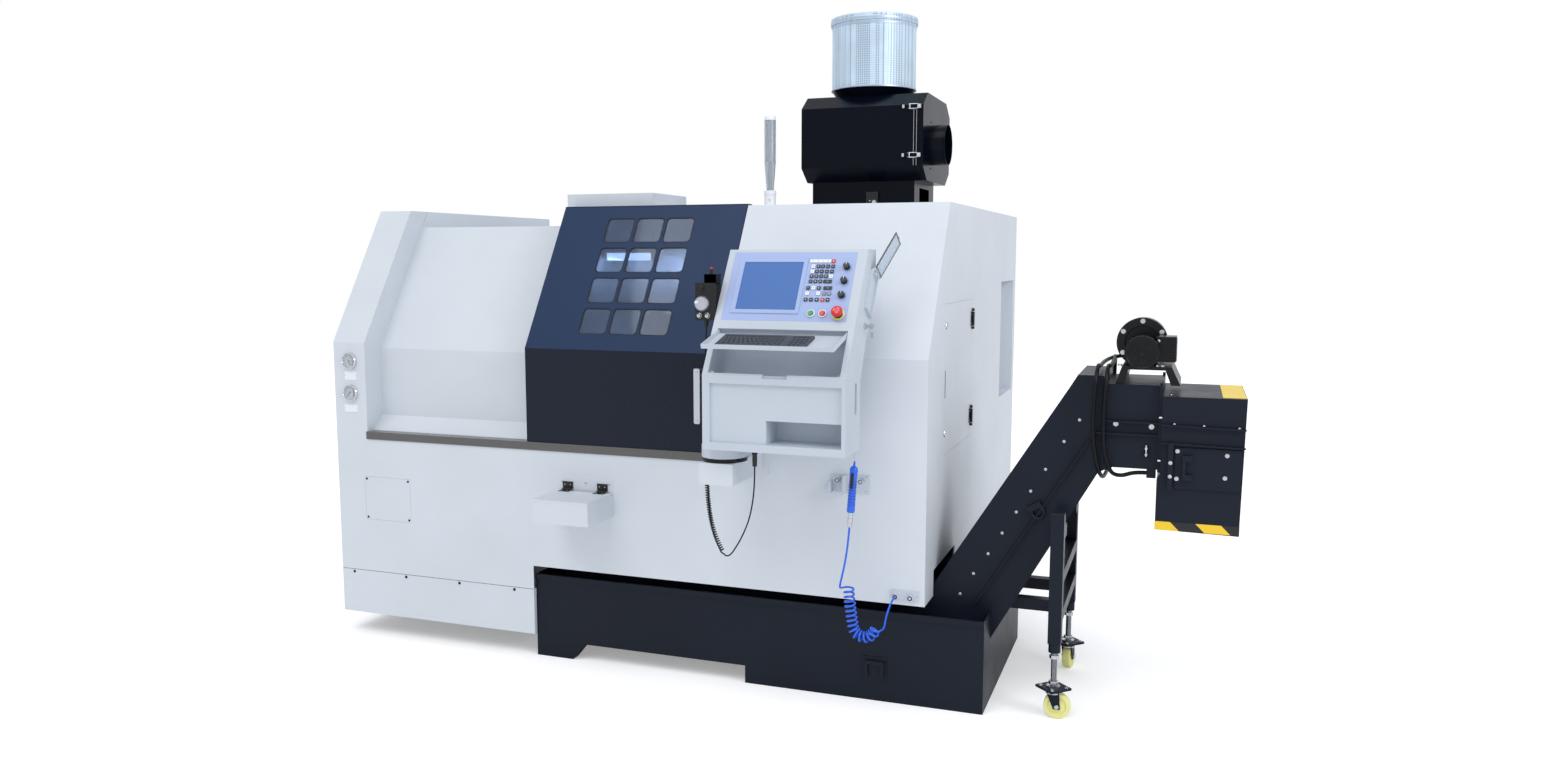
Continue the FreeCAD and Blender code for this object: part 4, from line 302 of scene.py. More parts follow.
    def done(self, body, replaces=()):
        """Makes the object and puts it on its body."""
        data = bpy.data.meshes.new(self.name)
        self.mesh.transform(Matrix.Translation(CORNER) @ Matrix.Scale(MM, 4))
        bmesh.ops.recalc_face_normals(self.mesh, faces=self.mesh.faces)
        self.mesh.to_mesh(data)
        self.mesh.free()
        for finish in self.finishes:
            data.materials.append(material(finish))
        obj = bpy.data.objects.new(self.name, data)
        show(obj)
        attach(obj, body)
        if replaces:
            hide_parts(*replaces)
        return obj


def soften(obj, width):
    """Rounds an object's crisp edges so that they catch the light."""
    mod = obj.modifiers.new("edge", 'BEVEL')
    mod.width = width
    mod.segments = 2
    mod.limit_method = 'ANGLE'
    mod.angle_limit = CREASE
    mod.harden_normals = True


# ------------------------------------------------------------------ finishes
def srgb(r, g, b):
    """A colour written as 0-255 values, in linear light."""
    def one(c):
        c /= 255.0
        return c / 12.92 if c <= 0.04045 else ((c + 0.055) / 1.055) ** 2.4
    return (one(r), one(g), one(b), 1.0)


def node(tree, kind, inputs=None, **settings):
    """Adds a shader node; inputs are values or (node, socket) pairs."""
    made = tree.nodes.new(kind)
    for key, value in settings.items():
        setattr(made, key, value)
    for key, value in (inputs or {}).items():
        if isinstance(value, tuple) and isinstance(value[0], bpy.types.Node):
            tree.links.new(value[0].outputs[value[1]], made.inputs[key])
        else:
            made.inputs[key].default_value = value
    return made


def maths(tree, operation, *values):
    """Works out values or (node, socket) pairs."""
    return node(tree, "ShaderNodeMath", dict(enumerate(values)), operation=operation)


def start_shader(mat):
    """Empties a material and gives it a shader, an output and its own coordinates."""
    mat.use_nodes = True
    tree = mat.node_tree
    tree.nodes.clear()
    shader = node(tree, "ShaderNodeBsdfPrincipled")
    out = node(tree, "ShaderNodeOutputMaterial")
    tree.links.new(shader.outputs[0], out.inputs[0])
    coords = node(tree, "ShaderNodeTexCoord")
    return tree, shader, (coords, "Object")


def noise(tree, coords, scale, detail=3.0, roughness=0.55, stretch=None):
    """Noise in metres; stretch is the scale along each axis."""
    if stretch is not None:
        coords = (node(tree, "ShaderNodeMapping", {"Vector": coords, "Scale": stretch}), "Vector")
    return node(tree, "ShaderNodeTexNoise", {"Vector": coords, "Scale": scale, "Detail": detail,
                                             "Roughness": roughness})


def spread(tree, source, low, high):
    """Maps a pattern's middle range to the values low to high."""
    return node(tree, "ShaderNodeMapRange", {"Value": (source, 0), "From Min": 0.3, "From Max": 0.7,
                                             "To Min": low, "To Max": high})


def shade(colour, factor):
    """A colour made darker or lighter, no brighter than white."""
    return tuple(min(c * factor, 1.0) for c in colour[:3]) + (1.0,)


def two_tone(tree, source, colour, mottle):
    """The colour a little darker and lighter where a pattern says."""
    mix = node(tree, "ShaderNodeMix", data_type='RGBA')
    fac = spread(tree, source, 0.0, 1.0)
    tree.links.new(fac.outputs[0], mix.inputs[0])
    mix.inputs[6].default_value = shade(colour, 1 - mottle)
    mix.inputs[7].default_value = shade(colour, 1 + mottle)
    return mix


def bumped(tree, shader, source, strength, depth):
    """Raises the surface by a pattern, depth in metres."""
    bump = node(tree, "ShaderNodeBump", {"Height": (source, 0), "Strength": strength,
                                         "Distance": depth})
    tree.links.new(bump.outputs[0], shader.inputs["Normal"])


def surface(tree, shader, tint, pattern, low, high):
    """Gives the shader its colour and a roughness that a pattern varies from low to high."""
    tree.links.new(tint.outputs[2], shader.inputs["Base Color"])
    tree.links.new(spread(tree, pattern, low, high).outputs[0], shader.inputs["Roughness"])


def paint(mat, colour, rough=0.35, mottle=0.03, grain=900.0, relief=0.25, metallic=0.0, coat=0.0,
          specular=0.5, painted_slope_light=None):
    """Stoved paint or moulded plastic: slight mottle and fine orange peel.

    The last setting, when given, is painted light: a lighter, bluer colour on faces that lean back, where
    the light from above falls on them.
    """
    tree, shader, coords = start_shader(mat)
    broad = noise(tree, coords, 2.3)
    fine = noise(tree, coords, grain, 2.0)
    tint = two_tone(tree, broad, colour, mottle)
    # painted light: faces that lean back get a lighter, bluer colour where the light from above falls
    if painted_slope_light is not None:
        tint = paint_slope_light(tree, coords, tint, painted_slope_light)
    streak = noise(tree, coords, 7.0, 5.0, 0.65)
    surface(tree, shader, tint, streak, rough * 0.85, rough * 1.15)
    bumped(tree, shader, fine, relief, 0.00006)
    shader.inputs["Metallic"].default_value = metallic
    shader.inputs["Coat Weight"].default_value = coat
    shader.inputs["Coat Roughness"].default_value = 0.06
    shader.inputs["Specular IOR Level"].default_value = specular


def paint_slope_light(tree, coords, tint, painted_slope_light):
    """Paints light on faces that lean back: turns a tint into a lighter, bluer colour there, where the
    light from above falls.
    """
    slope = node(tree, "ShaderNodeSeparateXYZ", {0: (coords[0], "Normal")})
    amount = node(tree, "ShaderNodeMapRange", {"Value": (slope, 2), "From Min": 0.03,
                                               "From Max": 0.12})
    mix = node(tree, "ShaderNodeMix", {0: (amount, 0)}, data_type='RGBA')
    tree.links.new(tint.outputs[2], mix.inputs[6])
    mix.inputs[7].default_value = painted_slope_light
    return mix


def metal(mat, colour, rough=0.28, stretch=(40.0, 400.0, 400.0), relief=0.2, mottle=0.06):
    """Bare metal with fine machining lines along one axis."""
    tree, shader, coords = start_shader(mat)
    lines = noise(tree, coords, 3.0, 4.0, 0.6, stretch)
    tint = two_tone(tree, lines, colour, mottle)
    surface(tree, shader, tint, lines, rough * 0.7, rough * 1.35)
    bumped(tree, shader, lines, relief, 0.00004)
    shader.inputs["Metallic"].default_value = 1.0


def clear(mat, colour, rough=0.03, ior=1.45, weight=1.0, mottle=0.04):
    """Clear or tinted glass and plastic, with faint smears."""
    tree, shader, coords = start_shader(mat)
    smear = noise(tree, coords, 9.0, 4.0, 0.6)
    tint = two_tone(tree, smear, colour, mottle)
    surface(tree, shader, tint, smear, rough * 0.5, rough * 1.6)
    shader.inputs["Transmission Weight"].default_value = weight
    shader.inputs["IOR"].default_value = ior


def glow(mat, colour, strength=3.0, mottle=0.12):
    """A lamp's lens or a lit screen, faintly uneven."""
    tree, shader, coords = start_shader(mat)
    ribs = noise(tree, coords, 60.0, 1.0)
    mix = two_tone(tree, ribs, colour, mottle)
    tree.links.new(mix.outputs[2], shader.inputs["Base Color"])
    tree.links.new(mix.outputs[2], shader.inputs["Emission Color"])
    shader.inputs["Emission Strength"].default_value = strength


def perforated(mat, colour, holes_colour, pitch=0.009, hole=0.3):
    """Punched zinc sheet: rows of small dark holes; hole is their radius as a share of the pitch."""
    tree, shader, coords = start_shader(mat)
    holes = node(tree, "ShaderNodeTexVoronoi", {"Vector": coords, "Scale": 1.0 / pitch,
                                                "Randomness": 0.0}, feature='F1')
    edge = maths(tree, 'LESS_THAN', (holes, 0), hole)
    mix = node(tree, "ShaderNodeMix", data_type='RGBA')
    tree.links.new(edge.outputs[0], mix.inputs[0])
    wear = two_tone(tree, noise(tree, coords, 14.0), colour, 0.08)
    tree.links.new(wear.outputs[2], mix.inputs[6])
    mix.inputs[7].default_value = holes_colour
    surface(tree, shader, mix, noise(tree, coords, 30.0), 0.3, 0.45)
    shader.inputs["Metallic"].default_value = 0.15


def striped(mat, one, two, pitch=0.16, start=0.109):
    """Slanted warning stripes across the hood's chute."""
    tree, shader, coords = start_shader(mat)
    axes = node(tree, "ShaderNodeSeparateXYZ", {0: coords})
    across = maths(tree, 'ADD', (axes, 0), (axes, 1))
    rise = maths(tree, 'ADD', (axes, 2), start)
    total = maths(tree, 'ADD', (across, 0), (rise, 0))
    turns = maths(tree, 'MULTIPLY', (total, 0), 1.0 / pitch)
    part = maths(tree, 'FRACT', (turns, 0))
    half = maths(tree, 'GREATER_THAN', (part, 0), 0.5)
    mix = node(tree, "ShaderNodeMix", data_type='RGBA')
    tree.links.new(half.outputs[0], mix.inputs[0])
    mix.inputs[6].default_value = one
    mix.inputs[7].default_value = two
    surface(tree, shader, mix, noise(tree, coords, 30.0), 0.35, 0.5)


STEEL = srgb(196, 200, 206)
FINISH = {
    "white_paint": (paint, srgb(214, 220, 227), dict(rough=0.45, specular=0.3)),
    "pendant_white": (paint, srgb(198, 206, 216), dict(rough=0.42, grain=1400.0, specular=0.3)),
    "graphite_paint": (paint, srgb(27, 32, 43), dict(rough=0.34, mottle=0.06, specular=0.14)),
    # slate_paint carries painted light: its faces that lean back are painted lighter and bluer, as lit
    # from above
    "slate_paint": (paint, srgb(30, 36, 49), dict(rough=0.3, mottle=0.04, specular=0.16,
                                                  painted_slope_light=srgb(34, 54, 86))),
    "black_paint": (paint, srgb(4, 9, 21), dict(rough=0.22, mottle=0.08, specular=0.12)),
    "motor_paint": (paint, srgb(11, 12, 15), dict(rough=0.26, mottle=0.1, specular=0.3)),
    "rail_paint": (paint, srgb(92, 90, 88), dict(rough=0.3, coat=0.2)),
    "cast_paint": (paint, srgb(150, 158, 160), dict(rough=0.55, grain=260.0, relief=0.5)),
    "window_glass": (clear, srgb(104, 126, 160), dict(rough=0.05, weight=0.7, mottle=0.1)),
    "gauge_glass": (clear, srgb(238, 243, 248), dict(rough=0.02)),
    "handle_plastic": (paint, srgb(24, 25, 28), dict(rough=0.42, grain=1800.0)),
    "handle_metal": (metal, srgb(206, 210, 216), dict(rough=0.3)),
    # painted light: the lighter colour of the screen bezel's left and bottom strips, as lit sides
    "bezel_painted_light": (paint, srgb(206, 220, 243), dict(rough=0.45, grain=2600.0)),
    "ground_steel": (metal, STEEL, dict(rough=0.25)),
    "liner_steel": (metal, srgb(176, 182, 190), dict(rough=0.4, stretch=(20.0, 20.0, 300.0))),
    "belt_steel": (metal, srgb(140, 140, 142), dict(rough=0.5, mottle=0.15)),
    "filter_paint": (perforated, srgb(204, 224, 240), dict(holes_colour=srgb(88, 106, 132))),
    "zinc": (metal, srgb(200, 214, 230), dict(rough=0.4, stretch=(60.0, 60.0, 60.0))),
    "tower_plastic": (clear, srgb(226, 232, 238), dict(rough=0.12, weight=0.75)),
    "tower_lens": (paint, srgb(206, 214, 224), dict(rough=0.2, grain=700.0, relief=0.5)),
    "clear_plastic": (clear, srgb(214, 224, 236), dict(rough=0.08, weight=0.8)),
    "overlay_plastic": (paint, srgb(166, 184, 226), dict(rough=0.5, grain=2600.0, relief=0.4)),
    "knob_plastic": (paint, srgb(16, 17, 20), dict(rough=0.32, grain=2000.0)),
    "green_button": (paint, srgb(20, 150, 84), dict(rough=0.28, coat=0.4)),
    "red_button": (paint, srgb(214, 34, 40), dict(rough=0.26, coat=0.4)),
    "pale_yellow": (paint, srgb(232, 226, 140), dict(rough=0.35)),
    "key_plastic": (paint, srgb(66, 70, 80), dict(rough=0.5, grain=2600.0)),
    "key_dark": (paint, srgb(36, 42, 60), dict(rough=0.45, grain=2600.0)),
    "key_grey": (paint, srgb(120, 128, 146), dict(rough=0.45, grain=2600.0)),
    "key_white": (paint, srgb(238, 241, 246), dict(rough=0.42, grain=2600.0)),
    "key_red": (paint, srgb(206, 40, 44), dict(rough=0.4, grain=2600.0)),
    "dial_aluminium": (metal, srgb(206, 210, 216), dict(rough=0.3, stretch=(8.0, 600.0, 600.0))),
    "key_steel": (metal, STEEL, dict(rough=0.2)),
    "gauge_chrome": (metal, srgb(222, 226, 232), dict(rough=0.1, mottle=0.02)),
    "fitting_steel": (metal, srgb(206, 208, 212), dict(rough=0.22)),
    "bolt_steel": (metal, srgb(212, 214, 218), dict(rough=0.18)),
    "gun_plastic": (paint, srgb(28, 74, 168), dict(rough=0.35)),
    "bowl_plastic": (clear, srgb(40, 62, 120), dict(rough=0.1, weight=0.55)),
    "cord_rubber": (paint, srgb(8, 9, 13), dict(rough=0.36, grain=2400.0, specular=0.22)),
    "hose_plastic": (paint, srgb(30, 98, 228), dict(rough=0.28, coat=0.3)),
    "wheel_plastic": (paint, srgb(232, 230, 150), dict(rough=0.4)),
    "dial_white": (paint, srgb(244, 246, 248), dict(rough=0.5)),
    "ink": (paint, srgb(20, 22, 26), dict(rough=0.6)),
    "slot_shadow": (paint, srgb(12, 12, 14), dict(rough=0.8)),
    "seal_rubber": (paint, srgb(20, 21, 24), dict(rough=0.6, grain=1800.0)),
    "yellow_plate": (paint, srgb(246, 208, 34), dict(rough=0.35)),
    "warning_stripe": (striped, srgb(236, 196, 40), dict(two=srgb(22, 22, 24))),
    "screen_glass": (glow, srgb(60, 104, 170), dict(strength=0.12, mottle=0.015)),
    "screen_green": (glow, srgb(80, 190, 120), dict(strength=0.35)),
    "screen_orange": (glow, srgb(226, 150, 60), dict(strength=0.35)),
    "lamp_lens": (glow, srgb(250, 252, 255), dict(strength=6.0)),
}


def material(name):
    """The finish of that name, made on its first use."""
    found = bpy.data.materials.get("finish_" + name)
    if found:
        return found
    found = bpy.data.materials.new("finish_" + name)
    kind, colour, settings = FINISH[name]
    kind(found, colour, **settings)
    found.diffuse_color = colour
    return found


# ------------------------------------------------------------------ sizes and colours a user sets
def length(name, description, default):
    """A length in metres that a user sets."""
    return FloatProperty(name=name, description=description, subtype='DISTANCE', unit='LENGTH',
                         default=default)


class LatheStageSettings(bpy.types.PropertyGroup):
    """Light, floor and viewpoint."""
    floor_colour: FloatVectorProperty(name="Floor", description="Colour of the studio floor",
                                      subtype='COLOR', default=(0.93, 0.93, 0.93))
    daylight: FloatProperty(name="Daylight", description="Strength of the light from all round",
                            default=0.8, min=0.0)
    key: FloatProperty(name="Key light", description="Strength of the broad light from above",
                       default=0.8, min=0.0)
    softbox: FloatProperty(name="Soft box", description="Power of the soft box at the right",
                           default=55.0, min=0.0, subtype='POWER', unit='POWER')
    eye: FloatVectorProperty(name="Eye", description="Camera's place from the machine's corner",
                             subtype='TRANSLATION', unit='LENGTH', default=(3.371, -3.873, 1.6))
    turn: FloatProperty(name="Turn", description="How far the camera looks to the left",
                        subtype='ANGLE', default=0.352)
    dip: FloatProperty(name="Dip", description="How far the camera looks down",
                       subtype='ANGLE', default=0.116)


class LatheTrimSettings(bpy.types.PropertyGroup):
    """Sizes of the small parts that dress the covers."""
    cover_bevel: length("Fold radius", "Outer radius of folded sheet", 0.0016)
    small_bevel: length("Edge radius", "Softened edge of machined parts", 0.0008)
    screw: length("Cover screw", "Radius of a cover screw's head", 0.006)
    gauge_ticks: IntProperty(name="Gauge marks", description="Marks on a gauge's scale",
                             default=26, min=2)
    latch_throw: length("Latch length", "Length of a toggle latch", 0.075)


class LatheCordSettings(bpy.types.PropertyGroup):
    """Diameters and windings of the cords and hoses."""
    cord: length("Hand-wheel cord", "Diameter of the thin cord", 0.005)
    curls: IntProperty(name="Curls", description="Turns in the cord's curly stretch", default=34,
                       min=4)
    hose: length("Air hose", "Diameter of the air hose", 0.007)
    hose_turns: IntProperty(name="Hose turns", description="Turns of the coiled hose", default=15,
                            min=4)
    cable: length("Conveyor cable", "Diameter of the motor's cable", 0.014)


# ------------------------------------------------------------------ routes of cords, in metres
CORD_DOWN = [(1.810, -0.236, 1.366), (1.809, -0.236, 1.325), (1.804, -0.234, 1.270),
             (1.798, -0.227, 1.210), (1.793, -0.217, 1.150), (1.790, -0.208, 1.090),
             (1.789, -0.203, 1.030), (1.790, -0.201, 0.970), (1.7905, -0.2005, 0.910),
             (1.793, -0.202, 0.850)]
CURLS = [(1.793, -0.202, 0.850), (1.7945, -0.2025, 0.790), (1.801, -0.207, 0.735),
         (1.812, -0.214, 0.685), (1.828, -0.224, 0.642), (1.848, -0.235, 0.606),
         (1.870, -0.246, 0.578)]
CORD_UP = [(1.870, -0.246, 0.578), (1.878, -0.250, 0.568), (1.890, -0.255, 0.563),
           (1.903, -0.259, 0.569), (1.916, -0.263, 0.582), (1.930, -0.268, 0.602),
           (1.946, -0.272, 0.627), (1.962, -0.277, 0.656), (1.978, -0.281, 0.690),
           (1.991, -0.284, 0.730), (2.001, -0.287, 0.778), (2.007, -0.288, 0.834),
           (2.008, -0.288, 0.896)]
HOSE_DOWN = [(2.32407, -0.216, 0.69426), (2.320, -0.216, 0.645), (2.314, -0.216, 0.598),
             (2.306, -0.215, 0.552), (2.296, -0.214, 0.510), (2.289, -0.208, 0.483)]
HOSE_COIL = [(2.307, -0.160, 0.467), (2.310, -0.160, 0.428), (2.3145, -0.160, 0.388),
             (2.320, -0.160, 0.3485), (2.328, -0.160, 0.3096), (2.361, -0.160, 0.292),
             (2.396, -0.160, 0.3048), (2.406, -0.160, 0.331)]
HOSE_UP = [(2.426, -0.106, 0.350), (2.428, -0.084, 0.370), (2.431, -0.063, 0.390),
           (2.437, -0.043, 0.406), (2.437, -0.0213, 0.406)]
CABLE = [(3.325, 0.3003, 1.290), (3.325, 0.345, 1.290), (3.327, 0.400, 1.282),
         (3.322, 0.458, 1.268), (3.286, 0.506, 1.256), (3.228, 0.526, 1.250),
         (3.170, 0.524, 1.246), (3.122, 0.500, 1.240), (3.098, 0.440, 1.230),
         (3.093, 0.370, 1.226), (3.092, 0.300, 1.225), (3.093, 0.228, 1.229),
         (3.093, 0.158, 1.240), (3.090, 0.112, 1.200), (3.087, 0.105, 1.138),
         (3.085, 0.103, 1.060), (3.088, 0.106, 0.982), (3.098, 0.112, 0.920),
         (3.110, 0.135, 0.868), (3.118, 0.190, 0.845), (3.120, 0.265, 0.841),
         (3.121, 0.345, 0.839), (3.120, 0.425, 0.837), (3.119, 0.500, 0.838),
         (3.118, 0.562, 0.872), (3.119, 0.580, 0.940), (3.121, 0.583, 1.030),
         (3.123, 0.584, 1.115), (3.125, 0.578, 1.190), (3.127, 0.538, 1.246),
         (3.128, 0.470, 1.236), (3.128, 0.400, 1.228), (3.127, 0.320, 1.226),
         (3.127, 0.240, 1.229), (3.126, 0.158, 1.240), (3.124, 0.112, 1.200),
         (3.121, 0.105, 1.135), (3.119, 0.102, 1.060), (3.121, 0.104, 0.990),
         (3.128, 0.108, 0.938), (3.138, 0.118, 0.900), (3.152, 0.138, 0.868),
         (3.184, 0.160, 0.860), (3.222, 0.175, 0.873), (3.2617, 0.175, 0.873)]
CURL_WIND, HOSE_WIND = 0.0065, 0.0175   # radius of a coil to the middle of its cord
COIL_LEAD = 0.026                       # straight hose before and after the coil
PLUG_PLACE = (2008.0, -288.0, 896.0)    # where the plug of the thin cord enters the pendant


def spline_curve(name, points, diameter):
    """A curve on one open spline through the route's control points."""
    data = bpy.data.curves.new(name, 'CURVE')
    data.dimensions = '3D'
    data.resolution_u = 6
    spline = data.splines.new('NURBS')
    spline.points.add(len(points) - 1)
    for point, place in zip(spline.points, points):
        point.co = (*(CORNER + Vector(place)), 1.0)
    spline.order_u = 3
    spline.use_endpoint_u = True
    data.bevel_depth = diameter / 2
    data.bevel_resolution = 3
    data.use_fill_caps = True
    return bpy.data.objects.new(name, data)


def route_points(points):
    """Points close together along the smooth line of a route."""
    guide = spline_curve("guide", points, 0.0)
    show(guide)
    mesh = bpy.data.meshes.new_from_object(guide)
    found = [v.co - CORNER for v in mesh.vertices]
    bpy.data.objects.remove(guide)
    bpy.data.meshes.remove(mesh)
    return found


def wound(points, wind, turns, per_turn):
    """Points of a helix round a route; it starts to the left of the route, seen from the front."""
    line = route_points(points)
    lengths = [0.0]
    for a, b in zip(line, line[1:]):
        lengths.append(lengths[-1] + (b - a).length)
    side = Vector(FORWARD)
    found = []
    steps = turns * per_turn
    j = 0
    for k in range(steps + 1):
        reach = lengths[-1] * k / steps
        while j < len(line) - 2 and lengths[j + 1] < reach:
            j += 1
        run = lengths[j + 1] - lengths[j]
        here = line[j].lerp(line[j + 1], (reach - lengths[j]) / run)
        tangent = (line[j + 1] - line[j]).normalized()
        side = (side - tangent * side.dot(tangent)).normalized()
        out = tangent.cross(side)
        angle = 2 * math.pi * k / per_turn
        found.append(tuple(here + (out * math.cos(angle) - side * math.sin(angle)) * wind))
    return found


def as_tube(curve):
    """The curve's skin as a mesh object, in place of the curve."""
    name = curve.name
    mesh = bpy.data.meshes.new_from_object(curve)
    bpy.data.objects.remove(curve)
    tube = bpy.data.objects.new(name, mesh)
    show(tube)
    return tube


def place_cord(name, points, diameter, finish, body, nodes,
               upper_body=None):
    """Lays a cord on its route in its finish and hides the solids that it replaces.

    Where its upper end belongs to another body, the cord is left as a mesh tube in place, on no body.
    """
    obj = spline_curve(name, points, diameter)
    show(obj)
    obj.data.materials.append(material(finish))
    line = route_points(points)
    if upper_body is None:
        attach(obj, body)
    else:
        obj = as_tube(obj)
        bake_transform(obj)
    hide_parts(*nodes)


class LATHE_OT_cords(bpy.types.Operator):
    """Lay the hand-wheel's curly cord, the coiled air hose and the conveyor's cable"""
    bl_idname = "lathe.cords"
    bl_label = "Cords and hoses"

    def execute(self, context):
        sizes = context.scene.lathe_cords
        place = facing(PLUG_PLACE, UPWARD)
        plug = Piece("cord_plug")
        plug.turn([(0, -1), (4.2, -1), (5.4, 3), (5.4, 12), (8.4, 15), (8.4, 40), (9.6, 41), (9.6, 58),
                   (8.6, 60), (8.6, 63.6), (0, 63.6)], "knob_plastic", place, 24)
        for k in range(24):
            plug.block(-0.5, 0.5, 9.3, 10.0, 42, 57, "knob_plastic", 0, spun(place, 15 * k))
        plug.done("pendant")
        curls = wound(CURLS, CURL_WIND, sizes.curls, 12)
        place_cord("handwheel_lead", CORD_DOWN[:-1] + curls + CORD_UP[1:], sizes.cord,
                   "cord_rubber", "pendant", ("handwheel_cord", "handwheel_cord_coil"))
        coil = wound(HOSE_COIL, HOSE_WIND, sizes.hose_turns, 14)
        first, last = Vector(coil[0]), Vector(coil[-1])
        into = (Vector(coil[1]) - first).normalized() * COIL_LEAD
        out = (last - Vector(coil[-2])).normalized() * COIL_LEAD
        hose = HOSE_DOWN + [tuple(first - into)] + coil + [tuple(last + out)] + HOSE_UP
        place_cord("air_hose_line", hose, sizes.hose, "hose_plastic", "machine",
                   ("air_hose", "air_hose_coil"), upper_body="pendant")
        place_cord("conveyor_motor_cable", CABLE, sizes.cable, "cord_rubber", "machine",
                   ("conveyor_cable",))
        return {'FINISHED'}


# ------------------------------------------------------------------ stage, in metres
FLOOR_HALF = 14.0
SUN_WAY, SUN_SPREAD = (0.12, 0.5, -0.86), 40.0                      # the spread in degrees
SOFTBOX = ((6.0, -1.6, 3.2), (1.9, 0.3, 0.9), (1.4, 2.0))           # place, aim, width and height
LENS, SHIFT = 26.598, (0.00324, -0.00045)


class LATHE_OT_stage(bpy.types.Operator):
    """Lay the pale floor and set the lamps and the camera"""
    bl_idname = "lathe.stage"
    bl_label = "Floor, light and camera"

    def execute(self, context):
        stage = context.scene.lathe_stage
        self.floor(stage)
        self.daylight(context, stage)
        self.sun(stage)
        self.lamp("box_right", *SOFTBOX, stage.softbox)
        self.camera(context, stage)
        return {'FINISHED'}

    def floor(self, stage):
        """Pale floor, brighter to the camera than to the object."""
        data = bpy.data.meshes.new("floor")
        middle = at(CASE_WIDTH / 2, 0.0, 0.0)
        corners = [(middle.x + sx * FLOOR_HALF, middle.y + sy * FLOOR_HALF, -0.0005)
                   for sx, sy in ((-1, -1), (1, -1), (1, 1), (-1, 1))]
        data.from_pydata(corners, [], [(0, 1, 2, 3)])
        obj = bpy.data.objects.new("floor", data)
        show(obj)
        mat = bpy.data.materials.new("floor_white")
        mat.use_nodes = True
        tree = mat.node_tree
        tree.nodes.clear()
        colour = tuple(stage.floor_colour) + (1.0,)
        coords = node(tree, "ShaderNodeTexCoord")
        speck = noise(tree, (coords, "Object"), 4.0)
        tint = two_tone(tree, speck, colour, 0.004)
        matt = node(tree, "ShaderNodeBsdfDiffuse")
        tree.links.new(tint.outputs[2], matt.inputs["Color"])
        light = node(tree, "ShaderNodeEmission", {"Color": (1, 1, 1, 1), "Strength": 0.3})
        both = node(tree, "ShaderNodeAddShader", {0: (matt, 0), 1: (light, 0)})
        ray = node(tree, "ShaderNodeLightPath")
        mix = node(tree, "ShaderNodeMixShader", {0: (ray, "Is Camera Ray"), 1: (matt, 0),
                                                 2: (both, 0)})
        out = node(tree, "ShaderNodeOutputMaterial")
        tree.links.new(mix.outputs[0], out.inputs[0])
        data.materials.append(mat)

    def daylight(self, context, stage):
        """Even light from all round; the camera sees white."""
        world = bpy.data.worlds.new("studio")
        context.scene.world = world
        world.use_nodes = True
        tree = world.node_tree
        tree.nodes.clear()
        soft = node(tree, "ShaderNodeBackground", {"Color": srgb(243, 246, 251),
                                                   "Strength": stage.daylight})
        white = node(tree, "ShaderNodeBackground", {"Color": (1, 1, 1, 1), "Strength": 1.0})
        ray = node(tree, "ShaderNodeLightPath")
        seen = maths(tree, 'ADD', (ray, "Is Camera Ray"), (ray, "Is Transmission Ray"))
        seen.use_clamp = True
        mix = node(tree, "ShaderNodeMixShader", {0: (seen, 0), 1: (soft, 0), 2: (white, 0)})
        out = node(tree, "ShaderNodeOutputWorld")
        tree.links.new(mix.outputs[0], out.inputs[0])

    def sun(self, stage):
        """Broad light from above."""
        data = bpy.data.lights.new("key", 'SUN')
        data.energy = stage.key
        data.angle = math.radians(SUN_SPREAD)
        obj = bpy.data.objects.new("key", data)
        obj.rotation_euler = Vector(SUN_WAY).to_track_quat('-Z', 'Y').to_euler()
        show(obj)

    def lamp(self, name, spot, aim, size, power):
        """A soft box at a spot, turned to its aim."""
        data = bpy.data.lights.new(name, 'AREA')
        data.shape = 'RECTANGLE'
        data.size, data.size_y = size
        data.energy = power
        data.color = (0.97, 0.985, 1.0)
        obj = bpy.data.objects.new(name, data)
        obj.location = CORNER + Vector(spot)
        look = Vector(aim) - Vector(spot)
        obj.rotation_euler = look.to_track_quat('-Z', 'Y').to_euler()
        show(obj)

    def camera(self, context, stage):
        """The photograph's viewpoint."""
        data = bpy.data.cameras.new("view")
        data.lens = LENS
        data.sensor_width = 36.0
        data.shift_x, data.shift_y = SHIFT
        data.clip_end = 60.0
        obj = bpy.data.objects.new("view", data)
        obj.location = CORNER + Vector(stage.eye)
        obj.rotation_euler = (math.pi / 2 - stage.dip, 0.0, stage.turn)
        show(obj)
        context.scene.camera = obj
        context.scene.view_settings.view_transform = 'Standard'


# ------------------------------------------------------------------ finishes on the solids
NODE_FINISH = {
    "pendant_housing": "pendant_white", "gear_motor": "motor_paint", "carriage": "cast_paint",
    "keyboard_tray": "pendant_white", "air_fittings": "pendant_white",
    "handwheel_unit": "knob_plastic", "door_handle": "handle_metal",
}
FOLDED = ("front_cover", "left_cover", "roof_cover", "right_side_cover", "side_door",
          "electrical_cabinet", "front_door", "coolant_tank", "conveyor_trough", "discharge_hood",
          "collector_housing", "collector_cover", "collector_stand", "service_box", "service_lid",
          "pendant_housing", "chamber_liner")
NO_EDGE = ("handwheel_cord", "handwheel_cord_coil", "air_hose", "air_hose_coil", "conveyor_cable",
           "door_window", "port_flap")


class LATHE_OT_finishes(bpy.types.Operator):
    """Paint the machine's solids and soften their edges"""
    bl_idname = "lathe.finishes"
    bl_label = "Finishes"

    def execute(self, context):
        trim = context.scene.lathe_trim
        for entry in frame["record"]["subparts"]:
            name = entry["node"]
            obj = NODES[name]
            finish = NODE_FINISH.get(name, entry["material_slot"])
            obj.data.materials.clear()
            obj.data.materials.append(material(finish))
            if name not in NO_EDGE:
                soften(obj, trim.cover_bevel if name in FOLDED else trim.small_bevel)
        return {'FINISHED'}


def screws(piece, spots, outward, radius, finish="bolt_steel"):
    """A slotted cover screw at each spot of a face."""
    for spot in spots:
        piece.bolt(spot, outward, radius, finish, False, "round")


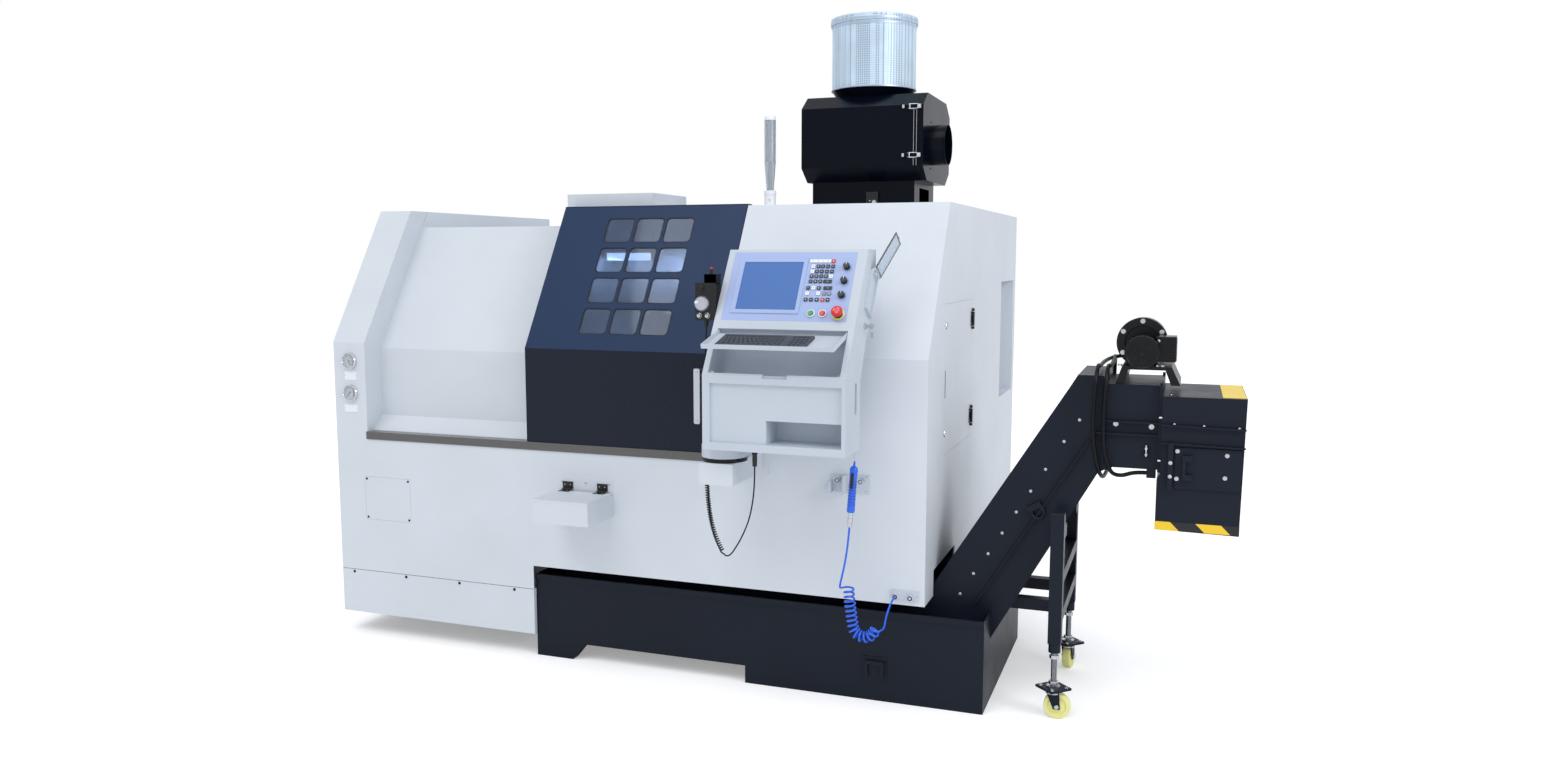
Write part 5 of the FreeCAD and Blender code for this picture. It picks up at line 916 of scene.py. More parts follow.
def rounded(width, height, radius, steps=5):
    """Outline of a rounded rectangle round the origin."""
    points = []
    for sx, sy, start in ((1, 1, 0), (-1, 1, 90), (-1, -1, 180), (1, -1, 270)):
        for k in range(steps + 1):
            a = math.radians(start + 90 * k / steps)
            points.append((sx * (width / 2 - radius) + radius * math.cos(a),
                           sy * (height / 2 - radius) + radius * math.sin(a)))
    return points


# ------------------------------------------------------------------ covers, gauges and door
GAUGES = (("upper_gauge", 82.0, 1173.0, -60, ("pressure_gauges",)),    # x, z, needle's angle, node
          ("lower_gauge", 82.0, 1038.0, -128, ()))
BLANK_PLATES = ((54.0, 1093.0, 60.0, 36.0), (47.0, 957.0, 67.0, 31.0))
KICK_SCREWS, KICK_HEIGHT = (62.0, 328.0, 593.0, 856.0), 267.0
KICK_SEAM = (2.0, 945.0, 276.6, 278.2)            # left, right, bottom, top of its dark line
SERVICE_PLATE = (136.0, 502.0, 228.0, 184.0)
WINDOW = (118.0, 112.0)
WINDOW_PITCH = (131.0, 138.3)
WINDOW_FIRST = (1149.0, 70.0)
HANDLE = (1690.0, 1005.0, 1186.0, 52.0)           # x, heights of its feet, reach
REAR_LAMP = (1090.0, 1474.0, 1072.0, 1707.0)      # left, right, y, z
LAMP_TUBE = (880.0, 1110.0, 800.0, 1606.0)        # left, right, y, z
LINER_ROOF = 1770.0


class LATHE_OT_cover_trim(bpy.types.Operator):
    """Fit the screws and blank plates of the covers"""
    bl_idname = "lathe.cover_trim"
    bl_label = "Cover screws and plates"

    def execute(self, context):
        radius = context.scene.lathe_trim.screw / MM
        trim = Piece("cover_screws")
        screws(trim, [(x, 0, KICK_HEIGHT) for x in KICK_SCREWS], FORWARD, radius, "slot_shadow")
        left, right, low, high = KICK_SEAM
        trim.block(left, right, -0.2, 0.6, low, high, "slot_shadow", 0)
        x, z, width, height = SERVICE_PLATE
        spots = [(x + i, 0, z + j) for i in (10, width - 10) for j in (10, height - 10)]
        screws(trim, spots, FORWARD, radius * 0.8, "slot_shadow")
        trim.done("machine")
        plates = Piece("blank_plates")
        for x, z, width, height in BLANK_PLATES:
            face = facing((x + width / 2, 0, z + height / 2), FORWARD)
            plates.prism(rounded(width, height, 2.5), 0, 1.4, "key_white", 0.3, face, 1)
            screws(plates, [(x + i, -1.2, z + height / 2) for i in (4.5, width - 4.5)], FORWARD, 1.9)
        plates.done("machine")
        return {'FINISHED'}


class LATHE_OT_gauges(bpy.types.Operator):
    """Build the two dial gauges in the left strip"""
    bl_idname = "lathe.gauges"
    bl_label = "Pressure gauges"

    def execute(self, context):
        marks = context.scene.lathe_trim.gauge_ticks
        for name, x, z, reading, nodes in GAUGES:
            face = facing((x, 0, z), FORWARD)
            gauge = Piece(name)
            gauge.turn([(0, 0), (36, 0), (36, 9.5), (34.5, 12), (32, 12), (30.6, 10), (30.6, 6)],
                       "gauge_chrome", face, 48)
            gauge.turn([(30.8, 6.4), (0, 6.4)], "dial_white", face, 40)
            for k in range(marks):
                long = 5.0 if k % 5 == 0 else 2.8
                gauge.block(27.6 - long, 27.6, -0.45, 0.45, 6.4, 6.7, "ink", 0,
                            spun(face, 225 - 270 * k / (marks - 1)))
            gauge.sweep(arc_on(face, 19.5, 6.6, range(-45, 226, 9)), 0.4, "ink", 6)
            gauge.sweep(arc_on(face, 24, 6.5, range(-45, 46, 9)), 0.9, "red_button", 6)
            gauge.prism([(-7, -1.5), (-7, 1.5), (22, 0.35), (22, -0.35)], 7.4, 8.0, "ink", 0,
                        spun(face, reading))
            gauge.turn([(0, 6.4), (3.2, 6.4), (3.2, 8.8), (2.2, 9.4), (0, 9.4)], "key_steel", face, 20)
            gauge.turn([(30.4, 9.6), (0, 10.2)], "gauge_glass", face, 40)
            gauge.done("machine", nodes)
        return {'FINISHED'}


class LATHE_OT_door_trim(bpy.types.Operator):
    """Fit the window seals and the feet and screws of the handle"""
    bl_idname = "lathe.door_trim"
    bl_label = "Door seals and handle"

    def execute(self, context):
        seals = Piece("window_seals")
        for col in range(3):
            for row in range(4):
                u = WINDOW_FIRST[0] + col * WINDOW_PITCH[0] + WINDOW[0] / 2
                w = WINDOW_FIRST[1] + row * WINDOW_PITCH[1] + WINDOW[1] / 2
                place = FRONT @ Matrix.Translation((u, -0.2, w)) @ Matrix.Rotation(math.pi / 2, 4, 'X')
                ring = rounded(*WINDOW, 16.0, 6)
                seals.sweep([place @ Vector((x, y, -1.2)) for x, y in ring], 1.9, "seal_rubber", 8, True)
                inner = rounded(WINDOW[0] - 3, WINDOW[1] - 3, 15.0, 6)
                seals.sweep([place @ Vector((x, y, -3.4)) for x, y in inner], 1.5, "seal_rubber", 6, True)
        seals.done("sliding_door")
        feet = Piece("handle_feet")
        x, low, high, reach = HANDLE
        for z in (low, high):
            feet.turn([(0, 0), (9.5, 0), (9.5, 2.2), (8, 3.4), (0, 3.4)], "handle_plastic",
                      facing((x, 0, z), FORWARD), 24)
            feet.bolt((x, -reach, z), FORWARD, 4.2, "bolt_steel", False, "socket")
        feet.done("sliding_door")
        return {'FINISHED'}


class LATHE_OT_chamber_lamp(bpy.types.Operator):
    """Light the lamp at the back of the work chamber"""
    bl_idname = "lathe.chamber_lamp"
    bl_label = "Chamber lamp"

    def execute(self, context):
        lamp = Piece("chamber_lamp")
        x0, x1, y, z = REAR_LAMP
        lamp.block(x0, x1, y - 6, y + 1, z - 19, z + 19, "clear_plastic", 2.5)
        for x in (x0 - 6, x1 - 8):
            lamp.block(x, x + 14, y - 8, y + 1, z - 22, z + 22, "fitting_steel", 1.5)
        left, right, y, z = LAMP_TUBE
        lamp.rod((left, y, z), (right, y, z), 17.0, "lamp_lens", 24)
        lamp.block(left - 8, right + 8, y - 2, y + 26, z + 16, z + 34, "fitting_steel", 3.0)
        for x in (left - 12, right - 4):
            lamp.block(x, x + 16, y - 19, y + 24, z - 19, z + 30, "fitting_steel", 3.0)
            lamp.block(x + 4, x + 12, y + 6, y + 12, z + 30, LINER_ROOF, "fitting_steel", 1.0)
        lamp.done("machine")
        data = bpy.data.lights.new("chamber_glow", 'AREA')
        data.shape = 'RECTANGLE'
        data.size, data.size_y = 0.24, 0.04
        data.energy = 3.5
        obj = bpy.data.objects.new("chamber_glow", data)
        obj.location = at((left + right) / 2, y, z - 24)
        obj.rotation_euler = Vector((-0.3, 0.35, -0.9)).to_track_quat('-Z', 'Y').to_euler()
        show(obj)
        return {'FINISHED'}


# ------------------------------------------------------------------ pendant
OVERLAY = (23.0, 208.0)                     # left and bottom edge on the leaning face
SCREEN = (68.0, 250.0, 215.0, 188.0)        # left, bottom, width, height
FRAME = (15.0, 9.0, 11.0, 7.0)              # the bezel's width at the left, right, bottom, top
FACE = -2.0                                 # the overlay's face stands this far out
KNOBS = {"mode_knob": (438.0, 418.0, "mode_selector"), "feed_knob": (437.0, 363.0, "feed_selector"),
         "speed_knob": (437.0, 308.0, "speed_selector")}
START, STOP, EMERGENCY = (341.0, 238.0), (382.0, 238.0), (437.0, 236.0)
BOARD_FRONT, BOARD_BACK, BOARD_RISE = -149.0, -31.0, 3.0    # the keyboard, from the tray's pin
BOARD_ROWS = (15, 15, 14, 13, 12, 9)        # keys in each row of the keyboard
BOARD_PITCH, PAD_PITCH = 16.2, 14.96        # from row to row, and from key to key of the number pad
KEY_SIZE = 13.0
KEY_FINISH = {"d": "key_dark", "w": "key_white", "r": "key_red", "g": "key_grey"}
KEY_ROWS = (                                # height, kinds and places; a capital is a double key
    (234.0, "r", (364,)),
    (213.0, "wdddd", (296, 314, 330, 348, 366)),
    (193.0, "wdddd", (296, 312, 329, 347, 365)),
    (174.0, "ddddw", (296, 313, 330, 347, 365)),
    (154.0, "dddD", (296, 313, 330, 356)),
    (128.0, "dwdD", (292, 311, 330, 361)),
    (107.0, "wwgg", (292, 331, 352, 369)),
    (83.0, "dddrd", (291, 310, 330, 350, 368)),
)


def on_pendant(u, w, depth=0.0):
    """Matrix of a spot on the leaning face; its z axis points out of the face."""
    return PENDANT @ Matrix.Translation((u, depth, w)) @ Matrix.Rotation(math.pi / 2, 4, 'X')


class LATHE_OT_pendant_screen(bpy.types.Operator):
    """Build the pendant's screen and its mitred bezel"""
    bl_idname = "lathe.pendant_screen"
    bl_label = "Pendant screen"

    def execute(self, context):
        left, low, width, height = SCREEN
        face = on_pendant(left + width / 2, low + height / 2, FACE)
        rim = Piece("screen_bezel")
        x, y = width / 2, height / 2
        inner = [(-x, -y), (x, -y), (x, y), (-x, y)]
        outer = [(-x - FRAME[0], -y - FRAME[2]), (x + FRAME[1], -y - FRAME[2]),
                 (x + FRAME[1], y + FRAME[3]), (-x - FRAME[0], y + FRAME[3])]
        # painted light: the left and bottom strips are painted lighter as the sides the light falls on;
        # the top and right strips keep the overlay's colour
        for k in range(4):
            j = (k + 1) % 4
            rim.prism([outer[k], outer[j], inner[j], inner[k]], 0.0, 0.9,
                      "bezel_painted_light" if k in (0, 3) else "overlay_plastic", 0.3, face, 1)
        rim.done("pendant")
        glass = Piece("screen_face")
        glass.prism(rounded(width, height, 5.0), -1.1, -0.7, "screen_glass", 0, face)
        glass.done("pendant")
        return {'FINISHED'}


class LATHE_OT_pendant_keys(bpy.types.Operator):
    """Fit the pendant's key pad with its marks and four small lamps"""
    bl_idname = "lathe.pendant_keys"
    bl_label = "Pendant keys"

    def execute(self, context):
        left, low = OVERLAY
        keys = Piece("pendant_keys")
        for height, kinds, places in KEY_ROWS:
            for kind, u in zip(kinds, places):
                finish = KEY_FINISH[kind.lower()]
                place = on_pendant(left + u, low + height, FACE)
                width = 2 * KEY_SIZE + 4 if kind.isupper() else KEY_SIZE
                keys.prism(rounded(width, KEY_SIZE, 1.6, 3), 0, 1.4, finish, 0.4, place, 1)
                mark = "ink" if kind == "w" else "key_white"
                keys.block(-2.6, 2.6, -0.6, 0.6, 1.3, 1.55, mark, 0, place)
                if (u + int(height)) % 3:
                    keys.block(-0.6, 0.6, -2.8, 2.8, 1.3, 1.55, mark, 0, place)
        place = on_pendant(left + 318.5, low + 234, FACE)
        keys.prism(rounded(75, 12, 1.5, 3), 0, 1.0, "key_white", 0.3, place, 1)
        for k in range(4):
            lamp = on_pendant(left + 292 + 18 * k, low + 234, FACE)
            keys.turn([(0, 0.8), (2.1, 0.8), (1.5, 2.1), (0, 2.4)],
                      "screen_green" if k % 2 else "screen_orange", lamp, 14)
        keys.done("pendant")
        return {'FINISHED'}


class LATHE_OT_pendant_knobs(bpy.types.Operator):
    """Build the three fluted selector knobs with their scales"""
    bl_idname = "lathe.pendant_knobs"
    bl_label = "Selector knobs"

    def execute(self, context):
        scale = Piece("knob_scales")
        for name, (u, w, body) in KNOBS.items():
            place = on_pendant(u, w, FACE)
            knob = Piece(name + "_cap")
            rim = []
            for k in range(72):
                a = 2 * math.pi * k / 72
                r = 11.0 - (0.8 if k % 4 < 2 else 0.0)
                rim.append((r * math.cos(a), r * math.sin(a)))
            knob.turn([(0, 0.3), (11.6, 0.3), (11.6, 2.4), (10.4, 3.2), (0, 3.2)], "knob_plastic",
                      place, 36)
            knob.prism(rim, 2.8, 15.2, "knob_plastic", 0.5, place, 1)
            knob.turn([(9.2, 15.0), (8.6, 16.0), (0, 16.0)], "knob_plastic", place, 36)
            knob.block(-0.8, 0.8, 2.0, 10.6, 15.3, 16.2, "key_white", 0.2, place, 1)
            knob.done(body, (name,))
            for k in range(11):
                scale.block(-0.4, 0.4, 14.0, 16.5 + (k % 5 == 0), 0, 0.25, "ink", 0,
                            spun(place, -125 + 25 * k))
        scale.done("pendant")
        return {'FINISHED'}


class LATHE_OT_pendant_buttons(bpy.types.Operator):
    """Build the start and stop buttons and the emergency stop"""
    bl_idname = "lathe.pendant_buttons"
    bl_label = "Push buttons"

    def execute(self, context):
        rings = Piece("button_rings")
        for spot in (START, STOP):
            rings.turn([(10.5, 0), (14.5, 0), (14.5, 1.6), (12.9, 3.0), (11.0, 3.0), (10.5, 2.4),
                        (10.5, 0)], "key_white", on_pendant(*spot, FACE), 36)
        place = on_pendant(*EMERGENCY, FACE)
        rings.turn([(11, 0), (22.4, 0), (22.4, 0.7), (21.8, 1.0), (11, 1.0)], "pale_yellow", place, 44)
        rings.turn([(10.6, 1.0), (15.5, 1.0), (15.5, 7.5), (14.5, 9.0), (10.6, 9.0)], "knob_plastic",
                   place, 36)
        rings.done("pendant")
        for name, spot, finish, body, cad in (
                ("start_cap", START, "green_button", "start_key", "start_button"),
                ("stop_cap", STOP, "red_button", "stop_key", "stop_button")):
            cap = Piece(name)
            cap.turn([(0, -9.5), (6, -9.5), (6, -0.5), (9.8, -0.5), (9.8, 4.4), (9.0, 5.6),
                      (6.0, 5.2), (0, 4.9)], finish, on_pendant(*spot, FACE), 36)
            cap.done(body, (cad,))
        stop = Piece("emergency_cap")
        stop.turn([(0, -9.5), (9.6, -9.5), (9.6, 15), (13, 16.4), (19.2, 17.0), (20.0, 19.0),
                   (19.8, 22.5), (17.8, 26.6), (13, 29.2), (7, 30), (0, 30)], "red_button", place, 44)
        for k in range(3):
            start = 120 * k + 20
            stop.sweep(arc_on(place, 10, 29.6, range(start, start + 70, 10)), 0.6, "key_white", 6)
        stop.done("emergency_stop", ("emergency_button",))
        return {'FINISHED'}


class LATHE_OT_keyboard(bpy.types.Operator):
    """Fit the keys of the keyboard on the folding tray"""
    bl_idname = "lathe.keyboard"
    bl_label = "Keyboard keys"

    def execute(self, context):
        left = box_of("keyboard")[0].x
        board = Piece("keyboard_keys")
        for row, count in enumerate(BOARD_ROWS):
            y = BOARD_BACK - 14 - row * BOARD_PITCH - (4 if row else 0)
            step = 214.0 / count
            for k in range(count):
                if row == 5 and 3 < k < 6:              # the space bar takes up these two keys
                    continue
                wide = step * 3 if row == 5 and k == 3 else step
                self.key(board, left + 9 + k * step, y, wide - 2.2, 13.0 if row else 10.0)
        for row in range(5):
            for k in range(4):
                if row == 3 and k == 3:
                    continue
                self.key(board, left + 246 + k * PAD_PITCH, BOARD_BACK - 34 - row * BOARD_PITCH,
                         PAD_PITCH - 2.4, 13.0)
        for k in range(4):
            self.key(board, left + 246 + k * PAD_PITCH, BOARD_BACK - 14, PAD_PITCH - 2.4, 9.0)
        board.done("fold_tray")
        return {'FINISHED'}

    def key(self, piece, x, y, width, depth):
        """One key: a cap with sloping sides, on the board's rising top."""
        base = BOARD_RISE * (y - depth / 2 - BOARD_FRONT) / (BOARD_BACK - BOARD_FRONT) - 0.2
        place = TRAY @ Matrix.Translation((x + width / 2, y - depth / 2, base))
        low = rounded(width, depth, 1.0, 2)
        top = rounded(width - 2.6, depth - 2.6, 1.2, 2)
        n = len(low)
        v = [(a, b, 0) for a, b in low] + [(a, b + 0.4, 3.6) for a, b in top]
        f = [tuple(range(n))[::-1], tuple(range(n, 2 * n))]
        f += [(i, (i + 1) % n, n + (i + 1) % n, n + i) for i in range(n)]
        piece.add(v, f, "key_plastic", place)


# ------------------------------------------------------------------ hand-wheel unit, port and keys
WHEEL_UNIT = (1780.0, 1854.0, -262.0, -210.0, 1388.0, 1516.0)
PORT = (-98.0, 1480.0)
FLAP_PIN, FLAP_ANGLE = (15.3, 0.0, 79.0), math.radians(-160.0)      # the pin from the port's middle
LOCK = (-160.0, 1373.0)
SWIVEL = (1880.0, -245.0, 904.0)


class LATHE_OT_handwheel(bpy.types.Operator):
    """Build the hand-wheel unit with its scale wheel, crank and selectors"""
    bl_idname = "lathe.handwheel"
    bl_label = "Hand-wheel unit"

    def execute(self, context):
        x0, x1, y0, y1, z0, z1 = WHEEL_UNIT
        unit = Piece("handwheel_case")
        unit.block(x0 - 0.3, x1, y0 - 0.3, y1 + 0.3, z0 - 0.3, z1 + 0.3, "knob_plastic", 5.0, None, 4)
        unit.block(x0 + 30, x1, y0 + 8, y1, z1 - 4, z1 + 30, "knob_plastic", 3.0, None, 3)
        unit.block(x0 + 4, x1 - 4, y0 - 1.2, y0, z0 + 4, z1 - 4, "seal_rubber", 0.5)
        for z in (z0 + 20, z0 + 46, z0 + 72, z0 + 98):
            unit.block(x0 - 0.9, x0 + 1, y0 + 8, y1 - 8, z - 1, z + 1, "seal_rubber", 0.3)
        face = facing((x0 + 24, y0 - 1.2, z1 - 17), FORWARD)
        unit.turn([(0, 0), (9.5, 0), (9.5, 2), (7.6, 3), (7.6, 9), (6.6, 10), (0, 10)], "knob_plastic",
                  face, 28)
        top = facing((x0 + 52, y0 + 22, z1 + 30), UPWARD)
        unit.turn([(0, 0), (8, 0), (8, 17), (7, 18), (0, 18)], "knob_plastic", top, 28)
        unit.turn([(0, 18), (5.4, 18), (5.4, 21), (4.4, 22.5), (0, 23)], "red_button", top, 24)
        for x in (x0 + 16, x0 + 46):
            face = facing((x, y0 - 1, z0 + 16), FORWARD)
            unit.turn([(0, 0), (8.8, 0), (8.8, 1.4), (7.4, 2.2), (6.9, 9), (6.2, 10), (0, 10)],
                      "gauge_chrome", face, 28)
            unit.block(-0.7, 0.7, 0.6, 6.2, 9.6, 10.4, "ink", 0.1, face)
            for k in range(5):
                unit.block(-0.35, 0.35, 10.2, 12.0, 0, 0.4, "key_white", 0, spun(face, -60 + 30 * k))
        gland = facing((x0 + 30, (y0 + y1) / 2, z0), DOWNWARD)
        unit.prism(circle(9.2, 6), 0, 7, "knob_plastic", 0.6, gland)
        unit.turn([(8.2, 7), (8.2, 12), (3.4, 21.6), (0, 21.6)], "knob_plastic", gland, 24)
        unit.done("pendant")
        self.wheel(facing((x0 + 27, y0 - 1.4, z0 + 58), FORWARD))
        return {'FINISHED'}

    def wheel(self, face):
        """The scale wheel with its knurled rim and its crank."""
        dial = Piece("handwheel_scale")
        dial.turn([(0, 0.2), (27, 0.2), (27, 5.0), (24.6, 9.5), (23.6, 11.4), (0, 11.4)],
                  "dial_aluminium", face, 60)
        dial.turn([(18, 11.2), (18, 12.6), (0, 12.6)], "dial_aluminium", face, 40)
        for k in range(50):
            turn = spun(face, 360 * k / 50)
            long = 3.6 if k % 5 == 0 else 2.0
            dial.block(-0.25, 0.25, 22.9 - long, 22.9, 11.3, 11.62, "ink", 0, turn)
            dial.block(-0.5, 0.5, 26.6, 27.35, 0.6, 4.8, "dial_aluminium", 0, turn)
        arm = face @ Matrix.Translation((-14.5, 4.5, 11.6))
        dial.turn([(0, 0), (5.4, 0), (4.2, 2.5), (4.0, 9.5), (5.0, 12.5), (4.2, 14), (0, 14.2)],
                  "key_white", arm, 24)
        dial.done("dial", ("handwheel_dial",))


class LATHE_OT_pendant_side(bpy.types.Operator):
    """Fit the port's sockets, the clear flap, the key switch and the swivel's bolts"""
    bl_idname = "lathe.pendant_side"
    bl_label = "Pendant side fittings"

    def execute(self, context):
        y, z = PORT
        x = PEND_RIGHT
        ports = Piece("port_sockets")
        face = leaning((x, y, z), PEND_LEAN) @ facing((0, 0, 0), RIGHTWARD)
        ports.prism(rounded(50, 122, 3), 0.2, 1.6, "knob_plastic", 0.4, face, 1)
        for w, wide, high in ((38, 26, 12), (16, 26, 12), (-8, 16, 9)):
            for grow, finish, lift in ((2.4, "key_steel", 2.4), (0, "slot_shadow", 2.6)):
                ports.block(-(wide + grow) / 2, (wide + grow) / 2, w - (high + grow) / 2,
                            w + (high + grow) / 2, 1.2, lift, finish, 0.3, face)
        ports.turn([(0, 1.2), (8.5, 1.2), (8.5, 3.4), (6.6, 3.4), (6.6, 2.0), (0, 2.0)], "key_steel",
                   face @ Matrix.Translation((0, -36, 0)), 28)
        ports.done("pendant")
        lock = Piece("key_and_lock")
        face = facing((x + 0.3, *LOCK), RIGHTWARD)
        lock.turn([(0, 0), (10.5, 0), (10.5, 1.6), (9, 3.0), (9, 9.2), (8, 10), (0, 10)], "key_steel",
                  face, 32)
        lock.block(-1.5, 1.5, -4, 4, 9.6, 17, "key_steel", 0.4, face)
        lock.turn([(0, -1.2), (9.5, -1.2), (9.5, 1.2), (0, 1.2)], "key_steel",
                  face @ Matrix.Translation((0, 0, 25)) @ Matrix.Rotation(math.pi / 2, 4, 'Y'), 28)
        ring = [face @ Vector((2.2 * b, -14.5 + 5.5 * a, 26 + 6.5 * b)) for a, b in circle(1.0, 18)]
        lock.sweep(ring, 0.7, "key_steel", 8, True)
        lock.block(-1.0, 1.0, -38, -19, 21, 31, "key_steel", 0.8, face)
        lock.done("lock_key", ("key_switch",))
        self.flap()
        self.swivel()
        return {'FINISHED'}

    def flap(self):
        """Dark rim and catch of the clear flap, which stands open."""
        pin = Vector(FLAP_PIN)
        place = (leaning((PEND_RIGHT, *PORT), PEND_LEAN) @ Matrix.Translation(pin)
                 @ Matrix.Rotation(FLAP_ANGLE, 4, 'Y') @ Matrix.Translation(-pin))
        rim = Piece("flap_rim")
        for y0, y1, z0, z1 in ((-37, 37, -75, -69), (-37, 37, 67, 73), (-37, -31, -69, 67),
                               (31, 37, -69, 67)):
            rim.block(12.5, 15.7, y0 - 0.3, y1 + 0.3, z0, z1, "knob_plastic", 0.4, place)
        rim.block(12.5, 16.9, -6, 6, -77.5, -73, "knob_plastic", 0.6, place)
        rim.done("flap")

    def swivel(self):
        """Turned flange under the pendant with its ring of screws."""
        x, y, z = SWIVEL
        joint = Piece("swivel_flange")
        place = facing(SWIVEL, UPWARD)
        joint.turn([(0, 0.4), (80.3, 0.4), (80.3, 14), (77, 17), (60, 18), (56, 22), (56, 40), (60, 43),
                    (66, 45), (66, 55.6), (0, 55.6)], "motor_paint", place, 64)
        for dx, dy in circle(68, 8, 22.5):
            joint.bolt((x + dx, y + dy, z + 17.2), UPWARD, 6.0, "bolt_steel", True, "socket")
        joint.done("pendant")


# ------------------------------------------------------------------ right side
HINGE_HEIGHTS = (953.0, 1354.0)             # of the side door's hinges and locks
LOCK_Y, HINGE_Y = 299.0, 825.0
HINGE_OUT = 6.0                             # the hinge pin stands this far out of the cover
POCKET_DEPTH = 100.0                        # of the lubricator's pocket


class LATHE_OT_side_panel(bpy.types.Operator):
    """Fit the side door's locks and hinges and the lubricator in its pocket"""
    bl_idname = "lathe.side_panel"
    bl_label = "Side door fittings"

    def execute(self, context):
        x = CASE_WIDTH
        door = Piece("side_door_locks")
        for z in HINGE_HEIGHTS:
            face = facing((x, LOCK_Y, z), RIGHTWARD)
            door.turn([(0, 0), (14.5, 0), (14.5, 2.0), (13, 4.6), (9, 5.4), (9, 4.0), (0, 4.0)],
                      "gauge_chrome", face, 36)
            door.block(-1.6, 1.6, -6, 6, 3.8, 4.4, "slot_shadow", 0.2, face)
        door.block(x - 1.2, x + 0.4, 292.5, 301.5, 1084, 1186, "seal_rubber", 0.6)
        door.done("service_door")
        hinges = Piece("side_door_hinges")
        leaves = Piece("side_hinge_leaves")
        pin, y = x + HINGE_OUT, HINGE_Y
        for z in HINGE_HEIGHTS:
            hinges.block(x + 0.1, x + 2.6, y - 24, y, z - 30.1, z + 30.1, "knob_plastic", 0.7)
            hinges.rod((pin, y, z - 30.1), (pin, y, z + 30.1), 6.2, "knob_plastic", 20)
            screws(hinges, [(x + 2.4, y - 19, z + d) for d in (-20, 20)], RIGHTWARD, 3.2)
            leaves.block(x + 0.1, x + 2.6, y + 7.6, y + 27.4, z - 42.6, z + 42.6, "knob_plastic", 0.7)
            for end in (-1, 1):
                leaves.rod((pin, y, z + 30.4 * end), (pin, y, z + 42.8 * end), 5.9, "knob_plastic", 20)
            screws(leaves, [(x + 2.4, y + 19, z + d) for d in (-20, 20)], RIGHTWARD, 3.2)
        hinges.done("service_door")
        leaves.done("machine")
        self.lubricator()
        return {'FINISHED'}

    def lubricator(self):
        """Oil bowl with its head, filler cap and gauge on a plate in the pocket."""
        low, high = box_of("lubrication_unit")
        x, y = CASE_WIDTH - POCKET_DEPTH, (low.y + high.y) / 2
        unit = Piece("lubricator")
        unit.block(x, x + 6, y - 46, y + 46, 980, 1210, "key_white", 1.5)
        screws(unit, [(x + 6, y + i, z) for i in (-36, 36) for z in (992, 1198)], RIGHTWARD, 4.5)
        place = facing((x + 44, y, 986), UPWARD)
        unit.turn([(0, 0), (9, 0), (12, 3), (12, 16), (26, 17), (33, 24), (33.6, 34)],
                  "knob_plastic", place, 40)
        unit.turn([(33.6, 34), (34, 40), (34, 112), (33, 118)], "bowl_plastic", place, 40)
        for k in range(12):
            unit.block(33.4, 34.6, -1.5, 1.5, 38, 114, "bowl_plastic", 0.5, spun(place, 30 * k))
        unit.turn([(0, 117), (35.6, 117), (35.6, 128), (34, 130), (0, 130)], "yellow_plate", place, 40)
        unit.block(x + 6, x + 73, y - 38.5, y + 38.5, 1118, 1178, "knob_plastic", 5.0, None, 3)
        cap = facing((x + 44, y, 1176), UPWARD)
        unit.turn([(0, 0), (22, 0), (22, 18), (20, 21), (0, 21)], "knob_plastic", cap, 36)
        for k in range(24):
            unit.block(21.4, 22.6, -1.1, 1.1, 2, 17, "knob_plastic", 0.3, spun(cap, 15 * k))
        dial = facing((x + 73, y, 1148), RIGHTWARD)
        unit.turn([(0, 0), (14, 0), (14, 3), (12, 4.4), (0, 4.4)], "gauge_chrome", dial, 28)
        unit.turn([(11, 4.6), (0, 4.8)], "dial_white", dial, 28)
        unit.done("machine", ("lubrication_unit",))


# ------------------------------------------------------------------ service box and air tools
LID_PIN = -10.0                             # y of the lid's hinge pins
GUN_TOP, GUN_TILT = (2340.0, -216.0, 922.0), math.radians(4.0)
HOLDER = (2265.0, 814.0)                    # x and z of the gun holder's middle
SOCKETS = (2470.0, 406.0)                   # and of the plate with the air sockets


class LATHE_OT_service_box(bpy.types.Operator):
    """Fit the small parts box with its hinges and back-plate screws"""
    bl_idname = "lathe.service_box"
    bl_label = "Small parts box"

    def execute(self, context):
        low, high = box_of("service_lid")
        x0, x1, top, pin = low.x, high.x, high.z, LID_PIN
        hinge = Piece("box_hinges")
        leaves = Piece("box_hinge_leaves")
        for x in (x0 + 40, x1 - 44):
            hinge.block(x - 22.3, x + 22.3, -44.4, -12.4, top - 6, top - 4.6, "knob_plastic", 0.5)
            hinge.rod((x - 22.2, pin, top - 4), (x + 22.2, pin, top - 4), 4.3, "knob_plastic", 20)
            screws(hinge, [(x + d, -30, top - 4.8) for d in (-12, 12)], UPWARD, 2.8)
            leaves.block(x - 22.3, x + 22.3, pin + 4.4, pin + 8.2, top - 0.3, top + 26.3,
                         "knob_plastic", 0.4)
            screws(leaves, [(x + d, pin + 4.5, top + 14) for d in (-12, 12)], FORWARD, 2.6)
        hinge.done("box_lid")
        leaves.done("machine")
        plate = Piece("box_screws")
        screws(plate, [(x, -3, 730) for x in (x0 + 14, (x0 + x1) / 2, x1 - 14)], FORWARD, 4.0)
        plate.done("machine")
        return {'FINISHED'}


